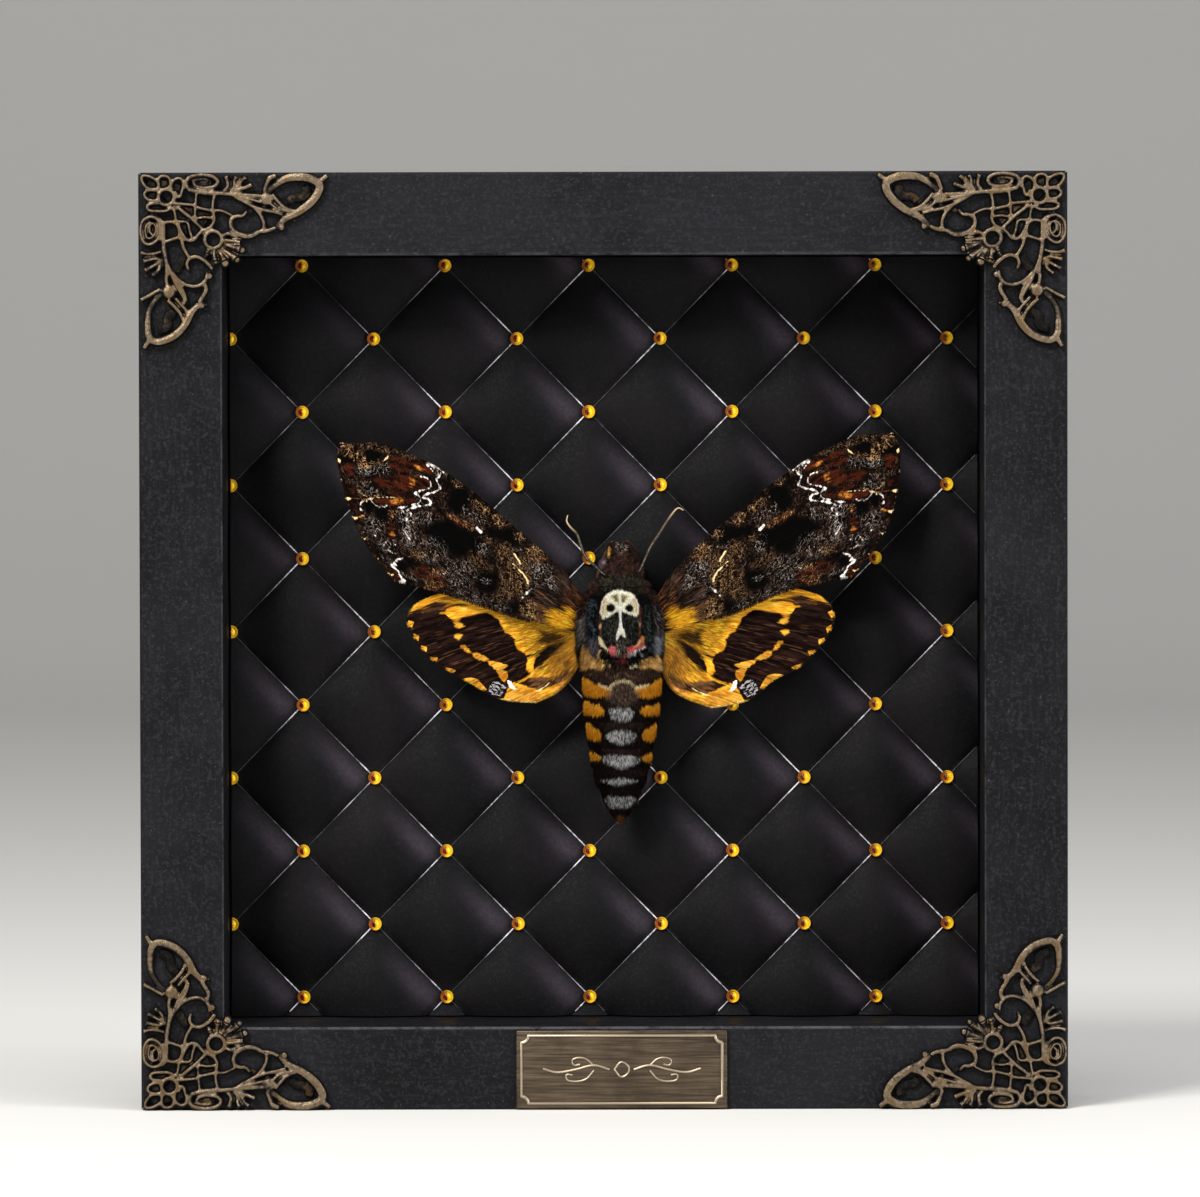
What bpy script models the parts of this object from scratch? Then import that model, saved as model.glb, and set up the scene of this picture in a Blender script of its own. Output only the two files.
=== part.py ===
"""A death's-head hawkmoth, spread and mounted in an open-fronted black shadow box.

The box stands on its bottom rail, with its open front towards -Y and +Z up.
X = 0 is the middle of the box, Z = 0 is the surface that it stands on, and
Y = 0 is half way through its depth, corner ornaments included.

The moth is laid out in its own flat coordinates: x to the right of its middle
line, z up from the middle of its thorax, and h the height above the seams of
the quilted backing, towards the viewer.
"""
import math

import bmesh
import bpy
from mathutils import Vector

MM = 0.001
GAP = 0.3 * MM
CUT_GROWTH = 0.36 * MM

# The box: four mitred rails, a board let into their back and a quilted pad.
BOX_WIDTH = 200.0 * MM
BOX_HEIGHT = 202.2 * MM
BOX_DEPTH = 40.0 * MM
RAIL_WIDTH = 17.9 * MM
EDGE_BEVEL = 0.5 * MM
GROOVE_DEPTH = 0.9 * MM
GROOVE_TOP = 2.2 * MM
GROOVE_BOTTOM = 3.2 * MM
RABBET_WIDTH = 5.0 * MM
RABBET_DEPTH = 7.0 * MM
BOARD_THICKNESS = 5.0 * MM
SEAM_DEPTH = 30.0 * MM

# Metal trim on the face of the rails.
TRIM_THICKNESS = 1.6 * MM
STRAP_BREADTH = 1.25
PLAQUE_WIDTH = 45.6 * MM
PLAQUE_HEIGHT = 16.9 * MM
PLAQUE_X = 3.7 * MM
PLAQUE_Z = 8.75 * MM

RELIEF = GAP + TRIM_THICKNESS
FRONT_Y = (RELIEF - BOX_DEPTH) / 2
BACK_Y = FRONT_Y + BOX_DEPTH
SEAM_Y = FRONT_Y + SEAM_DEPTH
BOX_MIDDLE_Z = BOX_HEIGHT / 2
OPENING_HALF_X = BOX_WIDTH / 2 - RAIL_WIDTH
OPENING_HALF_Z = BOX_HEIGHT / 2 - RAIL_WIDTH

# The quilt's diamonds: a button at every other crossing of these columns and rows.
BUTTON_X0 = -81.54 * MM
BUTTON_Z0 = 182.3 * MM
COLUMN_STEP = 15.65 * MM
ROW_STEP = 16.0 * MM
PUFF_HEIGHT = 3.5 * MM
BUTTON_RADIUS = 1.4 * MM
BUTTON_HEIGHT = 1.5 * MM
BUTTON_SIDES = 5

# The moth's middle, and the pin that carries it on the backing.
MOTH_X = 3.5 * MM
MOTH_Z = 105.1 * MM
PIN_RADIUS = 0.7 * MM
PIN_X = 0.0
PIN_Z = -1.0
PIN_REACH = 12.0 * MM

# Body sections, in millimetres: z, half width, lowest h, highest h.
THORAX_SECTIONS = [
    (9.3, 2.6, 12.0, 16.4),
    (8.9, 4.9, 10.6, 17.7),
    (7.6, 7.0, 9.2, 19.4),
    (5.0, 8.7, 8.0, 20.8),
    (1.5, 9.8, 7.3, 21.5),
    (-2.5, 10.1, 7.0, 21.5),
    (-6.0, 9.9, 7.1, 21.0),
    (-8.6, 9.3, 7.7, 20.0),
    (-10.0, 8.2, 8.8, 18.6),
    (-10.5, 6.4, 10.4, 17.0),
]
HEAD_SECTIONS = [
    (6.5, 3.6, 11.0, 16.4),
    (9.0, 4.9, 9.9, 17.4),
    (11.2, 4.8, 9.5, 17.4),
    (13.0, 4.2, 9.8, 16.7),
    (14.3, 3.3, 10.6, 15.7),
    (14.9, 1.9, 11.6, 14.7),
]
ABDOMEN_HALF_WIDTHS = [
    (-8.0, 8.6), (-12.0, 9.1), (-15.2, 8.9), (-18.7, 8.7), (-22.2, 8.35), (-25.2, 7.8),
    (-28.2, 7.4), (-31.9, 6.8), (-34.8, 6.1), (-37.6, 5.0), (-40.0, 4.0), (-41.9, 2.8),
    (-43.5, 1.3), (-44.4, 0.3),
]
ABDOMEN_RINGS = [-8.5, -16.9, -21.5, -27.2, -31.7, -36.3, -40.6]
ABDOMEN_TIP = -44.4
ABDOMEN_STEP = 0.45
ABDOMEN_ROUNDNESS = 0.8
ABDOMEN_SIDES = 18

# The skull mark, right half, in x and z: brow, cheek, nose and forked chin.
SKULL_HALF = [
    (1.9, 6.45), (3.4, 5.4), (4.2, 3.8), (4.3, 2.2), (4.0, 0.8), (3.0, 0.8),
    (1.6, 1.5), (0.7, 1.1), (0.5, -1.2), (0.9, -2.6), (1.6, -4.3),
]
SKULL_TOP_Z = 6.75
SKULL_CHIN_Z = -3.4
SKULL_RAISE = 0.35 * MM
SKULL_EYE_X = 2.17
SKULL_EYE_Z = 2.93
SKULL_EYE_RADIUS = 0.85

# Wing outlines, in millimetres along and across the wing from its hinge.
WING_THICKNESS = 0.6 * MM
VEIN_HEIGHT = 0.25 * MM
VEIN_HALF_WIDTH = 0.017
FOREWINGS = {
    "left": {
        "hinge": (-8.7, 4.8), "set": 32.5,
        "costa": [(-3.0, 0.0), (1.0, 1.2), (7.3, 3.4), (18.3, 5.3), (30.0, 7.0), (40.3, 7.6),
                  (49.4, 6.6), (56.1, 4.6), (61.8, 0.8)],
        "outer": [(61.8, 0.8), (60.4, -2.7), (57.2, -6.0), (52.6, -10.1), (48.9, -12.7),
                  (44.8, -15.0), (36.2, -18.0)],
        "inner": [(-6.0, -5.5), (5.8, -9.5), (15.7, -12.2), (27.9, -15.3), (36.2, -18.0)],
    },
    "right": {
        "hinge": (8.7, 4.8), "set": 34.8,
        "costa": [(-3.0, 0.0), (1.1, 1.2), (6.0, 3.1), (14.6, 4.9), (25.0, 5.9), (35.5, 6.6),
                  (45.4, 6.3), (55.2, 4.5), (61.9, 0.5)],
        "outer": [(61.9, 0.5), (61.0, -3.2), (58.6, -6.6), (55.6, -10.0), (50.7, -14.4),
                  (45.5, -17.2), (37.0, -19.7)],
        "inner": [(-6.0, -5.5), (6.1, -9.8), (12.2, -11.8), (21.4, -13.6), (29.2, -16.3),
                  (37.0, -19.7)],
    },
}
HINDWINGS = {
    "left": {
        "hinge": (-9.6, 0.0), "set": 0.0,
        "costa": [(-4.0, 3.2), (12.0, 7.6), (22.0, 7.8), (31.0, 5.4)],
        "outer": [(31.0, 5.4), (34.8, 3.4), (36.4, 0.3), (35.1, -3.2), (31.7, -7.8), (27.1, -11.0),
                  (21.7, -14.0), (16.2, -16.9), (9.0, -17.7)],
        "inner": [(-4.0, -4.0), (-0.7, -8.8), (1.8, -12.8), (4.6, -15.5), (9.0, -17.7)],
    },
    "right": {
        "hinge": (9.3, 0.0), "set": 0.0,
        "costa": [(-4.0, 3.2), (12.0, 7.8), (22.0, 8.0), (30.0, 6.5)],
        "outer": [(30.0, 6.5), (34.2, 5.0), (37.0, 1.5), (36.0, -2.6), (33.0, -6.6), (29.5, -10.1),
                  (23.7, -13.0), (18.4, -17.2), (10.8, -18.9)],
        "inner": [(-4.0, -4.0), (-0.3, -8.0), (0.5, -11.8), (3.2, -15.6), (10.8, -18.9)],
    },
}
FOREWING_VEINS = (0.12, 0.24, 0.36, 0.49, 0.62, 0.75, 0.88)
HINDWING_VEINS = (0.13, 0.27, 0.40, 0.53, 0.66, 0.80, 0.91)
FOREWING_H = 15.2
HINDWING_H = 13.7
WING_ROWS = 10

# Feelers, in x, z and h, from the head outwards.
ANTENNA_POINTS = {
    "left": [(-2.2, 9.6, 16.0), (-3.4, 10.1, 17.9), (-5.2, 11.7, 17.4), (-7.5, 14.0, 16.6),
             (-8.5, 16.5, 16.2), (-9.3, 18.8, 16.0), (-10.8, 20.4, 15.8), (-11.5, 21.6, 15.6),
             (-11.3, 22.9, 15.5)],
    "right": [(3.0, 9.9, 16.0), (4.2, 10.8, 17.6), (5.4, 13.3, 17.2), (6.6, 15.9, 16.6),
              (8.5, 18.8, 16.2), (10.0, 21.2, 15.9), (11.2, 22.9, 15.7), (12.2, 24.1, 15.6),
              (12.9, 24.4, 15.5), (13.8, 23.9, 15.4)],
}
EYE_RADIUS = 1.9
EYE_PLACE = (3.5, 12.1, 12.9)
PALP_PLACE = (1.72, 12.6, 12.6)
PALP_TIP_Z = 17.2
TONGUE_MIDDLE = (13.6, 7.3)
LEG_POINTS = {
    "fore": [(2.6, 5.0, 9.4), (4.6, 9.0, 6.6), (3.4, 13.4, 5.9), (1.6, 17.0, 5.4)],
    "mid": [(4.6, 0.5, 9.2), (7.6, -3.0, 6.2), (6.4, -10.5, 5.4), (4.6, -17.0, 5.1)],
    "hind": [(3.0, -4.0, 9.2), (4.3, -8.0, 6.1), (2.9, -16.0, 5.3), (1.6, -24.0, 5.0)],
}
LEG_RADII = (0.85, 0.8, 0.55, 0.3)


def clear_scene():
    """Start from an empty file."""
    for item in list(bpy.data.objects):
        bpy.data.objects.remove(item, do_unlink=True)


def finish_material(name, colour, roughness, metallic=0.0):
    """A plain finish with the colour and gloss of one material."""
    made = bpy.data.materials.new(name)
    made.use_nodes = True
    shader = made.node_tree.nodes["Principled BSDF"]
    shader.inputs["Base Color"].default_value = (*colour, 1.0)
    shader.inputs["Roughness"].default_value = roughness
    shader.inputs["Metallic"].default_value = metallic
    return made


def moth_point(x, z, h):
    """A place on the moth, from its own flat coordinates in millimetres."""
    return Vector((MOTH_X + x * MM, SEAM_Y - h * MM, MOTH_Z + z * MM))


def pin_point(y):
    """A place on the axis of the pin."""
    return Vector((MOTH_X + PIN_X * MM, y, MOTH_Z + PIN_Z * MM))


def mesh_object(name, points, faces, finish=None):
    """A closed body from points and faces, with its faces turned outwards."""
    mesh = bpy.data.meshes.new(name)
    mesh.from_pydata([tuple(p) for p in points], [], faces)
    shape = bmesh.new()
    shape.from_mesh(mesh)
    bmesh.ops.recalc_face_normals(shape, faces=shape.faces)
    shape.to_mesh(mesh)
    shape.free()
    made = bpy.data.objects.new(name, mesh)
    bpy.context.scene.collection.objects.link(made)
    if finish:
        mesh.materials.append(finish)
    return made


def loft(name, rings, finish=None):
    """Skin a row of rings that have the same count of points, with both ends closed."""
    count = len(rings[0])
    points = [point for ring in rings for point in ring]
    faces = []
    for row in range(len(rings) - 1):
        for i in range(count):
            j = (i + 1) % count
            faces.append((row * count + i, row * count + j, (row + 1) * count + j, (row + 1) * count + i))
    faces.append(tuple(range(count)))
    faces.append(tuple(range(len(points) - count, len(points))))
    return mesh_object(name, points, faces, finish)


def box_object(name, low, high, finish=None):
    """A block between two opposite corners."""
    ring = [(low[0], low[2]), (high[0], low[2]), (high[0], high[2]), (low[0], high[2])]
    return loft(name, [[Vector((x, y, z)) for x, z in ring] for y in (low[1], high[1])], finish)


def settle(item):
    """Apply the modifiers of a body."""
    bpy.context.view_layer.update()
    evaluated = item.evaluated_get(bpy.context.evaluated_depsgraph_get())
    mesh = bpy.data.meshes.new_from_object(evaluated)
    item.modifiers.clear()
    old = item.data
    item.data = mesh
    bpy.data.meshes.remove(old)


def keep_largest(item):
    """Drop every loose scrap and sealed hollow of a body."""
    shape = bmesh.new()
    shape.from_mesh(item.data)
    left = set(shape.faces)
    groups = []
    while left:
        group = set()
        edge = [left.pop()]
        while edge:
            face = edge.pop()
            group.add(face)
            for side in face.edges:
                for other in side.link_faces:
                    if other in left:
                        left.discard(other)
                        edge.append(other)
        groups.append(group)
    largest = max(groups, key=lambda group: sum(face.calc_area() for face in group))
    spare = [face for group in groups if group is not largest for face in group]
    bmesh.ops.delete(shape, geom=spare, context="FACES")
    shape.to_mesh(item.data)
    shape.free()


def merge_flats(item):
    """Join the faces that lie in one plane, so that a flat side is a few faces."""
    shape = bmesh.new()
    shape.from_mesh(item.data)
    bmesh.ops.dissolve_limit(shape, angle_limit=math.radians(0.5), verts=shape.verts, edges=shape.edges)
    bmesh.ops.triangulate(shape, faces=shape.faces)
    shape.to_mesh(item.data)
    shape.free()


def combine(item, others, operation="UNION", solver="EXACT"):
    """One Boolean of a body with a collection of other bodies, which are used up."""
    group = bpy.data.collections.new("tools")
    for other in others:
        bpy.context.scene.collection.objects.unlink(other)
        group.objects.link(other)
    bpy.context.scene.collection.children.link(group)
    boolean = item.modifiers.new("join", "BOOLEAN")
    boolean.operand_type = "COLLECTION"
    boolean.collection = group
    boolean.operation = operation
    boolean.solver = solver
    settle(item)
    for other in others:
        bpy.data.objects.remove(other, do_unlink=True)
    bpy.data.collections.remove(group)
    keep_largest(item)


def grown_copy(item, amount=CUT_GROWTH):
    """The same body, made a little larger all round."""
    mesh = item.data.copy()
    normals = [vertex.normal.copy() for vertex in mesh.vertices]
    for vertex, normal in zip(mesh.vertices, normals):
        vertex.co += normal * amount
    made = bpy.data.objects.new(item.name + "_grown", mesh)
    bpy.context.scene.collection.objects.link(made)
    return made


def cut_clear(item, *neighbours):
    """Trim a body so that it meets its neighbours face to face."""
    combine(item, [grown_copy(other) for other in neighbours], "DIFFERENCE")


def smooth_path(points, count):
    """Evenly spaced points on a smooth curve through the given ones."""
    points = [Vector(point) for point in points]
    before = [2 * points[0] - points[1]] + points[:-1]
    after = points[1:] + [2 * points[-1] - points[-2]]
    dense = [points[0]]
    for i in range(len(points) - 1):
        start, end = points[i], points[i + 1]
        reach = (end - start).length
        lead = (end - before[i]).normalized() * reach
        trail = (after[i + 1] - start).normalized() * reach
        for k in range(1, 17):
            t = k / 16
            dense.append(
                start * (2 * t**3 - 3 * t**2 + 1) + lead * (t**3 - 2 * t**2 + t)
                + end * (3 * t**2 - 2 * t**3) + trail * (t**3 - t**2)
            )
    lengths = [0.0]
    for a, b in zip(dense, dense[1:]):
        lengths.append(lengths[-1] + (b - a).length)
    picked = []
    for k in range(count):
        wanted = lengths[-1] * k / (count - 1)
        i = min(max(next(n for n, length in enumerate(lengths) if length >= wanted - 1e-12), 1), len(dense) - 1)
        share = (wanted - lengths[i - 1]) / (lengths[i] - lengths[i - 1])
        picked.append(dense[i - 1].lerp(dense[i], min(max(share, 0.0), 1.0)))
    return picked


def table_value(table, z, column):
    """Smoothly read one column of a table of sections at z."""
    rows = sorted(table)
    z = min(max(z, rows[0][0]), rows[-1][0])
    for low, high in zip(rows, rows[1:]):
        if z <= high[0]:
            share = (z - low[0]) / (high[0] - low[0])
            return low[column] + (high[column] - low[column]) * share
    return rows[-1][column]


def tube(name, path, radii, sides, finish=None):
    """A round rod along a path, with a radius at every point."""
    rings = []
    side_way = None
    for i, point in enumerate(path):
        along = (path[min(i + 1, len(path) - 1)] - path[max(i - 1, 0)]).normalized()
        if side_way is None:
            side_way = along.orthogonal().normalized()
        side_way = (side_way - along * side_way.dot(along)).normalized()
        other_way = along.cross(side_way)
        rings.append([
            point + radii[i] * (math.cos(2 * math.pi * k / sides) * side_way
                                + math.sin(2 * math.pi * k / sides) * other_way)
            for k in range(sides)
        ])
    return loft(name, rings, finish)


# The box

def rail(name, finish, place, length):
    """One mitred rail: its profile runs from the outer face inwards and front to back."""
    groove_floor = RAIL_WIDTH - GROOVE_DEPTH
    rabbet = RAIL_WIDTH - RABBET_WIDTH
    rabbet_top = BOX_DEPTH - RABBET_DEPTH
    profile = [
        (0.0, EDGE_BEVEL), (EDGE_BEVEL, 0.0), (RAIL_WIDTH - EDGE_BEVEL, 0.0),
        (RAIL_WIDTH, EDGE_BEVEL), (RAIL_WIDTH, GROOVE_TOP), (groove_floor, GROOVE_TOP),
        (groove_floor, GROOVE_BOTTOM), (RAIL_WIDTH, GROOVE_BOTTOM), (RAIL_WIDTH, rabbet_top),
        (rabbet, rabbet_top), (rabbet, BOX_DEPTH), (EDGE_BEVEL, BOX_DEPTH),
        (0.0, BOX_DEPTH - EDGE_BEVEL),
    ]
    mitre_room = GAP / math.sqrt(2)
    rings = []
    for end in (-1, 1):
        rings.append([
            place(end * (length / 2 - inward - mitre_room), inward, FRONT_Y + depth)
            for inward, depth in profile
        ])
    return loft(name, rings, finish)


def make_rails(finish):
    """The four rails of the box."""
    half, middle = BOX_WIDTH / 2, BOX_MIDDLE_Z
    rail("rail_top", finish, lambda run, inward, y: Vector((run, y, BOX_HEIGHT - inward)), BOX_WIDTH)
    rail("rail_bottom", finish, lambda run, inward, y: Vector((run, y, inward)), BOX_WIDTH)
    rail("rail_left", finish, lambda run, inward, y: Vector((inward - half, y, middle + run)), BOX_HEIGHT)
    rail("rail_right", finish, lambda run, inward, y: Vector((half - inward, y, middle + run)), BOX_HEIGHT)


def make_backboard(finish):
    """The board that closes the back, in the rabbet of the rails."""
    half_x = OPENING_HALF_X + RABBET_WIDTH - GAP
    half_z = OPENING_HALF_Z + RABBET_WIDTH - GAP
    front = BACK_Y - RABBET_DEPTH + GAP
    box_object("backboard", (-half_x, front, BOX_MIDDLE_Z - half_z),
               (half_x, front + BOARD_THICKNESS, BOX_MIDDLE_Z + half_z), finish)


def puff(x, z):
    """Height of the quilt over its seams."""
    across = (x - BUTTON_X0) / COLUMN_STEP
    down = (BUTTON_Z0 - z) / ROW_STEP
    one = abs(math.sin(math.pi * (across + down + 1) / 2))
    two = abs(math.sin(math.pi * (across - down + 1) / 2))
    return PUFF_HEIGHT * (one * two) ** 0.7


def quilt_lines(low, high, start, step):
    """The grid lines that fall between two edges, with the edges themselves."""
    first = math.ceil((low + 0.4 * MM - start) / step)
    last = math.floor((high - 0.4 * MM - start) / step)
    return [low] + [start + step * i for i in range(first, last + 1)] + [high]


def make_quilt(finish):
    """The tufted pad: puffed diamonds between seams, with its buttons fused on."""
    half_x = OPENING_HALF_X - GAP
    half_z = OPENING_HALF_Z - GAP
    back = BACK_Y - RABBET_DEPTH
    columns = quilt_lines(-half_x, half_x, BUTTON_X0, COLUMN_STEP / 2)
    rows = quilt_lines(BOX_MIDDLE_Z - half_z, BOX_MIDDLE_Z + half_z, BUTTON_Z0, ROW_STEP / 2)
    points = [Vector((x, SEAM_Y - puff(x, z), z)) for z in rows for x in columns]
    width = len(columns)
    faces = []
    for r in range(len(rows) - 1):
        for c in range(width - 1):
            a, b = r * width + c, r * width + c + 1
            d, e = a + width, b + width
            if points[a].y + points[e].y > points[b].y + points[d].y:
                faces += [(a, b, e), (a, e, d)]
            else:
                faces += [(a, b, d), (b, e, d)]
    rim = [c for c in range(width)]
    rim += [r * width + width - 1 for r in range(1, len(rows))]
    rim += [(len(rows) - 1) * width + c for c in range(width - 2, -1, -1)]
    rim += [r * width for r in range(len(rows) - 2, 0, -1)]
    under = len(points)
    points += [Vector((points[i].x, back, points[i].z)) for i in rim]
    for k, i in enumerate(rim):
        j = (k + 1) % len(rim)
        faces.append((i, rim[j], under + j, under + k))
    faces.append(tuple(range(under, under + len(rim))))
    quilt = mesh_object("quilt", points, faces, finish)

    through = [pin_point(SEAM_Y - 2 * PUFF_HEIGHT), pin_point(back + PUFF_HEIGHT)]
    combine(quilt, [tube("pin_hole", through, [PIN_RADIUS + GAP] * 2, 10)], "DIFFERENCE")
    combine(quilt, button_bodies(half_x), "UNION", "MANIFOLD")
    merge_flats(quilt)


def button_bodies(half_x):
    """A low dome at every crossing of the seams; those at the left wall are cut by it."""
    made = []
    columns = int((half_x - BUTTON_X0) / COLUMN_STEP) + 1
    rows = int((BUTTON_Z0 - (BOX_MIDDLE_Z - OPENING_HALF_Z)) / ROW_STEP) + 1
    for row in range(rows):
        for column in range(columns):
            if (row + column) % 2 == 0:
                continue
            x = BUTTON_X0 + column * COLUMN_STEP
            z = BUTTON_Z0 - row * ROW_STEP
            rings = []
            for radius, height in ((1.1, -0.5), (0.75, 1.0)):
                ring = []
                for k in range(BUTTON_SIDES):
                    angle = 2 * math.pi * (k + 0.5) / BUTTON_SIDES
                    px = x + BUTTON_RADIUS * radius * math.cos(angle)
                    px = max(px, -half_x)
                    ring.append(Vector((px, SEAM_Y - BUTTON_HEIGHT * height,
                                        z + BUTTON_RADIUS * radius * math.sin(angle))))
                rings.append(ring)
            made.append(loft("button", rings))
    return made


# The body

def body_sections(table, ends_z, count, name, finish, roundness=2.3, relief=None, sides=(22, 10)):
    """A body lofted along z through a table of sections, finer on its upper side."""
    angles = [math.pi * k / sides[0] for k in range(sides[0])]
    angles += [math.pi + math.pi * k / sides[1] for k in range(sides[1])]
    rings = []
    for row in range(count):
        share = row / (count - 1)
        eased = (1 - math.cos(math.pi * share)) / 2
        z = ends_z[0] + (ends_z[1] - ends_z[0]) * (0.5 * share + 0.5 * eased)
        half = table_value(table, z, 1)
        low = table_value(table, z, 2)
        high = table_value(table, z, 3)
        ring = []
        for angle in angles:
            c, s = math.cos(angle), math.sin(angle)
            x = half * math.copysign(abs(c) ** (2 / roundness), c)
            h = (low + high) / 2 + (high - low) / 2 * math.copysign(abs(s) ** (2 / roundness), s)
            if relief and s > 0.05:
                lift = relief(x, z)
                x += lift * c * 0.6
                h += lift * s
            ring.append(moth_point(x, z, h))
        rings.append(ring)
    return loft(name, rings, finish)


def thorax_relief(x, z):
    """The collar arch round the skull mark and the shoulder lobes beside it."""
    arch_z = 2.3
    reach = abs(x) if z < arch_z else math.hypot(x, z - arch_z)
    fade = min(max((z + 8.0) / 3.0, 0.0), 1.0)
    collar = 0.55 * math.exp(-(((reach - 5.9) / 0.9) ** 2))
    shoulder = 0.6 * math.exp(-(((abs(x) - 8.7) / 0.9) ** 2)) * min(max((6.0 - z) / 2.0, 0.0), 1.0)
    groove = 0.35 * math.exp(-(((reach - 7.4) / 0.5) ** 2))
    return (collar + shoulder - groove) * fade


def make_thorax(finish):
    """The thorax, with the skull mark raised on its back."""
    thorax = body_sections(THORAX_SECTIONS, (9.3, -10.5), 18, "thorax", finish, 2.3, thorax_relief, (22, 8))
    half = SKULL_HALF
    outline = [(0.0, SKULL_TOP_Z)] + half + [(0.0, SKULL_CHIN_Z)] + [(-x, z) for x, z in reversed(half)]
    prism = loft("skull_prism", [[moth_point(x, z, h) for x, z in outline] for h in (16.0, 30.0)])
    skull = grown_copy(thorax, SKULL_RAISE)
    combine(skull, [prism], "INTERSECT")
    combine(thorax, [skull])
    sockets = []
    for side in (-1, 1):
        rings = []
        for h in (20.6, 30.0):
            rings.append([
                moth_point(side * SKULL_EYE_X + SKULL_EYE_RADIUS * math.cos(2 * math.pi * k / 8),
                           SKULL_EYE_Z + SKULL_EYE_RADIUS * math.sin(2 * math.pi * k / 8), h)
                for k in range(8)
            ])
        sockets.append(loft("socket", rings))
    combine(thorax, sockets, "DIFFERENCE")
    return thorax


def make_abdomen(finish, thorax):
    """The abdomen: telescoped rings that step in towards the tip."""
    rings = []
    ends = ABDOMEN_RINGS + [ABDOMEN_TIP]
    for i in range(len(ABDOMEN_RINGS)):
        start, end = ends[i], ends[i + 1]
        stations = [(0.0, -1.0), (0.3, -0.25), (0.96, 0.0)]
        if i == len(ABDOMEN_RINGS) - 1:
            stations = [(0.0, -1.0), (0.3, -0.25), (0.7, 0.0), (1.0, 0.0)]
        for share, step in stations:
            z = start + (end - start) * share
            half = table_value(ABDOMEN_HALF_WIDTHS, z, 1) + step * ABDOMEN_STEP
            middle_x = 0.5 + 0.6 * (z - ABDOMEN_RINGS[0]) / (ABDOMEN_RINGS[0] - ABDOMEN_TIP)
            middle_h = 14.0 + 1.4 * (z - ABDOMEN_RINGS[0]) / (ABDOMEN_RINGS[0] - ABDOMEN_TIP)
            rings.append([
                moth_point(middle_x + half * math.cos(2 * math.pi * k / ABDOMEN_SIDES), z,
                           middle_h + half * ABDOMEN_ROUNDNESS * math.sin(2 * math.pi * k / ABDOMEN_SIDES))
                for k in range(ABDOMEN_SIDES)
            ])
    abdomen = loft("abdomen", rings, finish)
    cut_clear(abdomen, thorax)
    return abdomen


def make_eyes(finish):
    """Two round eyes."""
    eyes = []
    for side, sign in (("left", -1), ("right", 1)):
        x, z, h = EYE_PLACE
        rings = []
        for row in range(1, 7):
            polar = math.pi * row / 7
            ring_radius = EYE_RADIUS * math.sin(polar)
            rings.append([
                moth_point(sign * (x + EYE_RADIUS * math.cos(polar)),
                           z + ring_radius * math.cos(2 * math.pi * k / 10),
                           h + ring_radius * math.sin(2 * math.pi * k / 10))
                for k in range(10)
            ])
        eyes.append(loft("eye_" + side, rings, finish))
    return eyes


def make_head(finish, thorax, eyes):
    """The head, hollowed where the eyes sit and trimmed to the collar."""
    head = body_sections(HEAD_SECTIONS, (6.5, 14.9), 8, "head", finish, 2.2, None, (10, 6))
    cut_clear(head, thorax, *eyes)
    return head


def make_palps(finish, head):
    """The two thick palps in front of the face, which curve up beside each other."""
    for side, sign in (("left", -1), ("right", 1)):
        x, z, h = PALP_PLACE
        path = [moth_point(sign * x, z, h), moth_point(sign * x, z + 1.9, h + 0.5),
                moth_point(sign * x, z + 3.3, h + 1.3), moth_point(sign * x * 0.94, PALP_TIP_Z - 0.5, h + 2.1),
                moth_point(sign * x * 0.9, PALP_TIP_Z, h + 2.5)]
        palp = tube("palp_" + side, path, [r * MM for r in (1.3, 1.5, 1.5, 1.25, 0.6)], 9, finish)
        cut_clear(palp, head)


def make_tongue(finish, head):
    """The short, thick tongue, coiled once under the face."""
    z0, h0 = TONGUE_MIDDLE
    turns, steps = 1.3, 14
    path = []
    for k in range(steps + 1):
        share = k / steps
        angle = math.radians(75) + 2 * math.pi * turns * share
        reach = 2.0 - 1.35 * share
        path.append(moth_point(0.0, z0 + reach * math.cos(angle), h0 + reach * math.sin(angle)))
    path.insert(0, moth_point(0.0, z0 - 0.6, h0 + 3.4))
    radii = [0.42 * MM - 0.14 * MM * k / steps for k in range(len(path))]
    tongue = tube("tongue", path, radii, 5, finish)
    cut_clear(tongue, head)


def make_antennae(finish, head):
    """The feelers: stout rods that thin into a hooked tip."""
    for side, points in ANTENNA_POINTS.items():
        path = smooth_path([moth_point(*p) for p in points], 15)
        radii = []
        for k in range(len(path)):
            share = k / (len(path) - 1)
            radii.append(MM * (0.42 + 0.1 * math.sin(math.pi * share) - 0.24 * share**3))
        feeler = tube("antenna_" + side, path, radii, 6, finish)
        cut_clear(feeler, head)


def make_legs(finish, thorax):
    """Six legs folded under the body."""
    for pair, points in LEG_POINTS.items():
        for side, sign in (("left", -1), ("right", 1)):
            corners = [moth_point(sign * x, z, h) for x, z, h in points]
            path, radii = [corners[0]], [LEG_RADII[0] * MM]
            for i in range(1, len(corners)):
                start, end = corners[i - 1], corners[i]
                for share, swell in ((0.12, 0.85), (0.5, 1.0), (0.88, 0.8)):
                    path.append(start.lerp(end, share))
                    radii.append(MM * swell * (LEG_RADII[i - 1] * (1 - share) + LEG_RADII[i] * share))
            path.append(corners[-1])
            radii.append(LEG_RADII[-1] * 0.6 * MM)
            leg = tube("leg_" + pair + "_" + side, path, radii, 6, finish)
            cut_clear(leg, thorax)


def make_pin(finish, thorax):
    """The pin that holds the moth: from the backboard to the underside of the thorax."""
    inside_thorax = SEAM_Y - PIN_REACH
    path = [pin_point(BACK_Y - RABBET_DEPTH), pin_point(inside_thorax)]
    pin = tube("mount_pin", path, [PIN_RADIUS] * 2, 10, finish)
    cut_clear(pin, thorax)


# The wings

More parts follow.
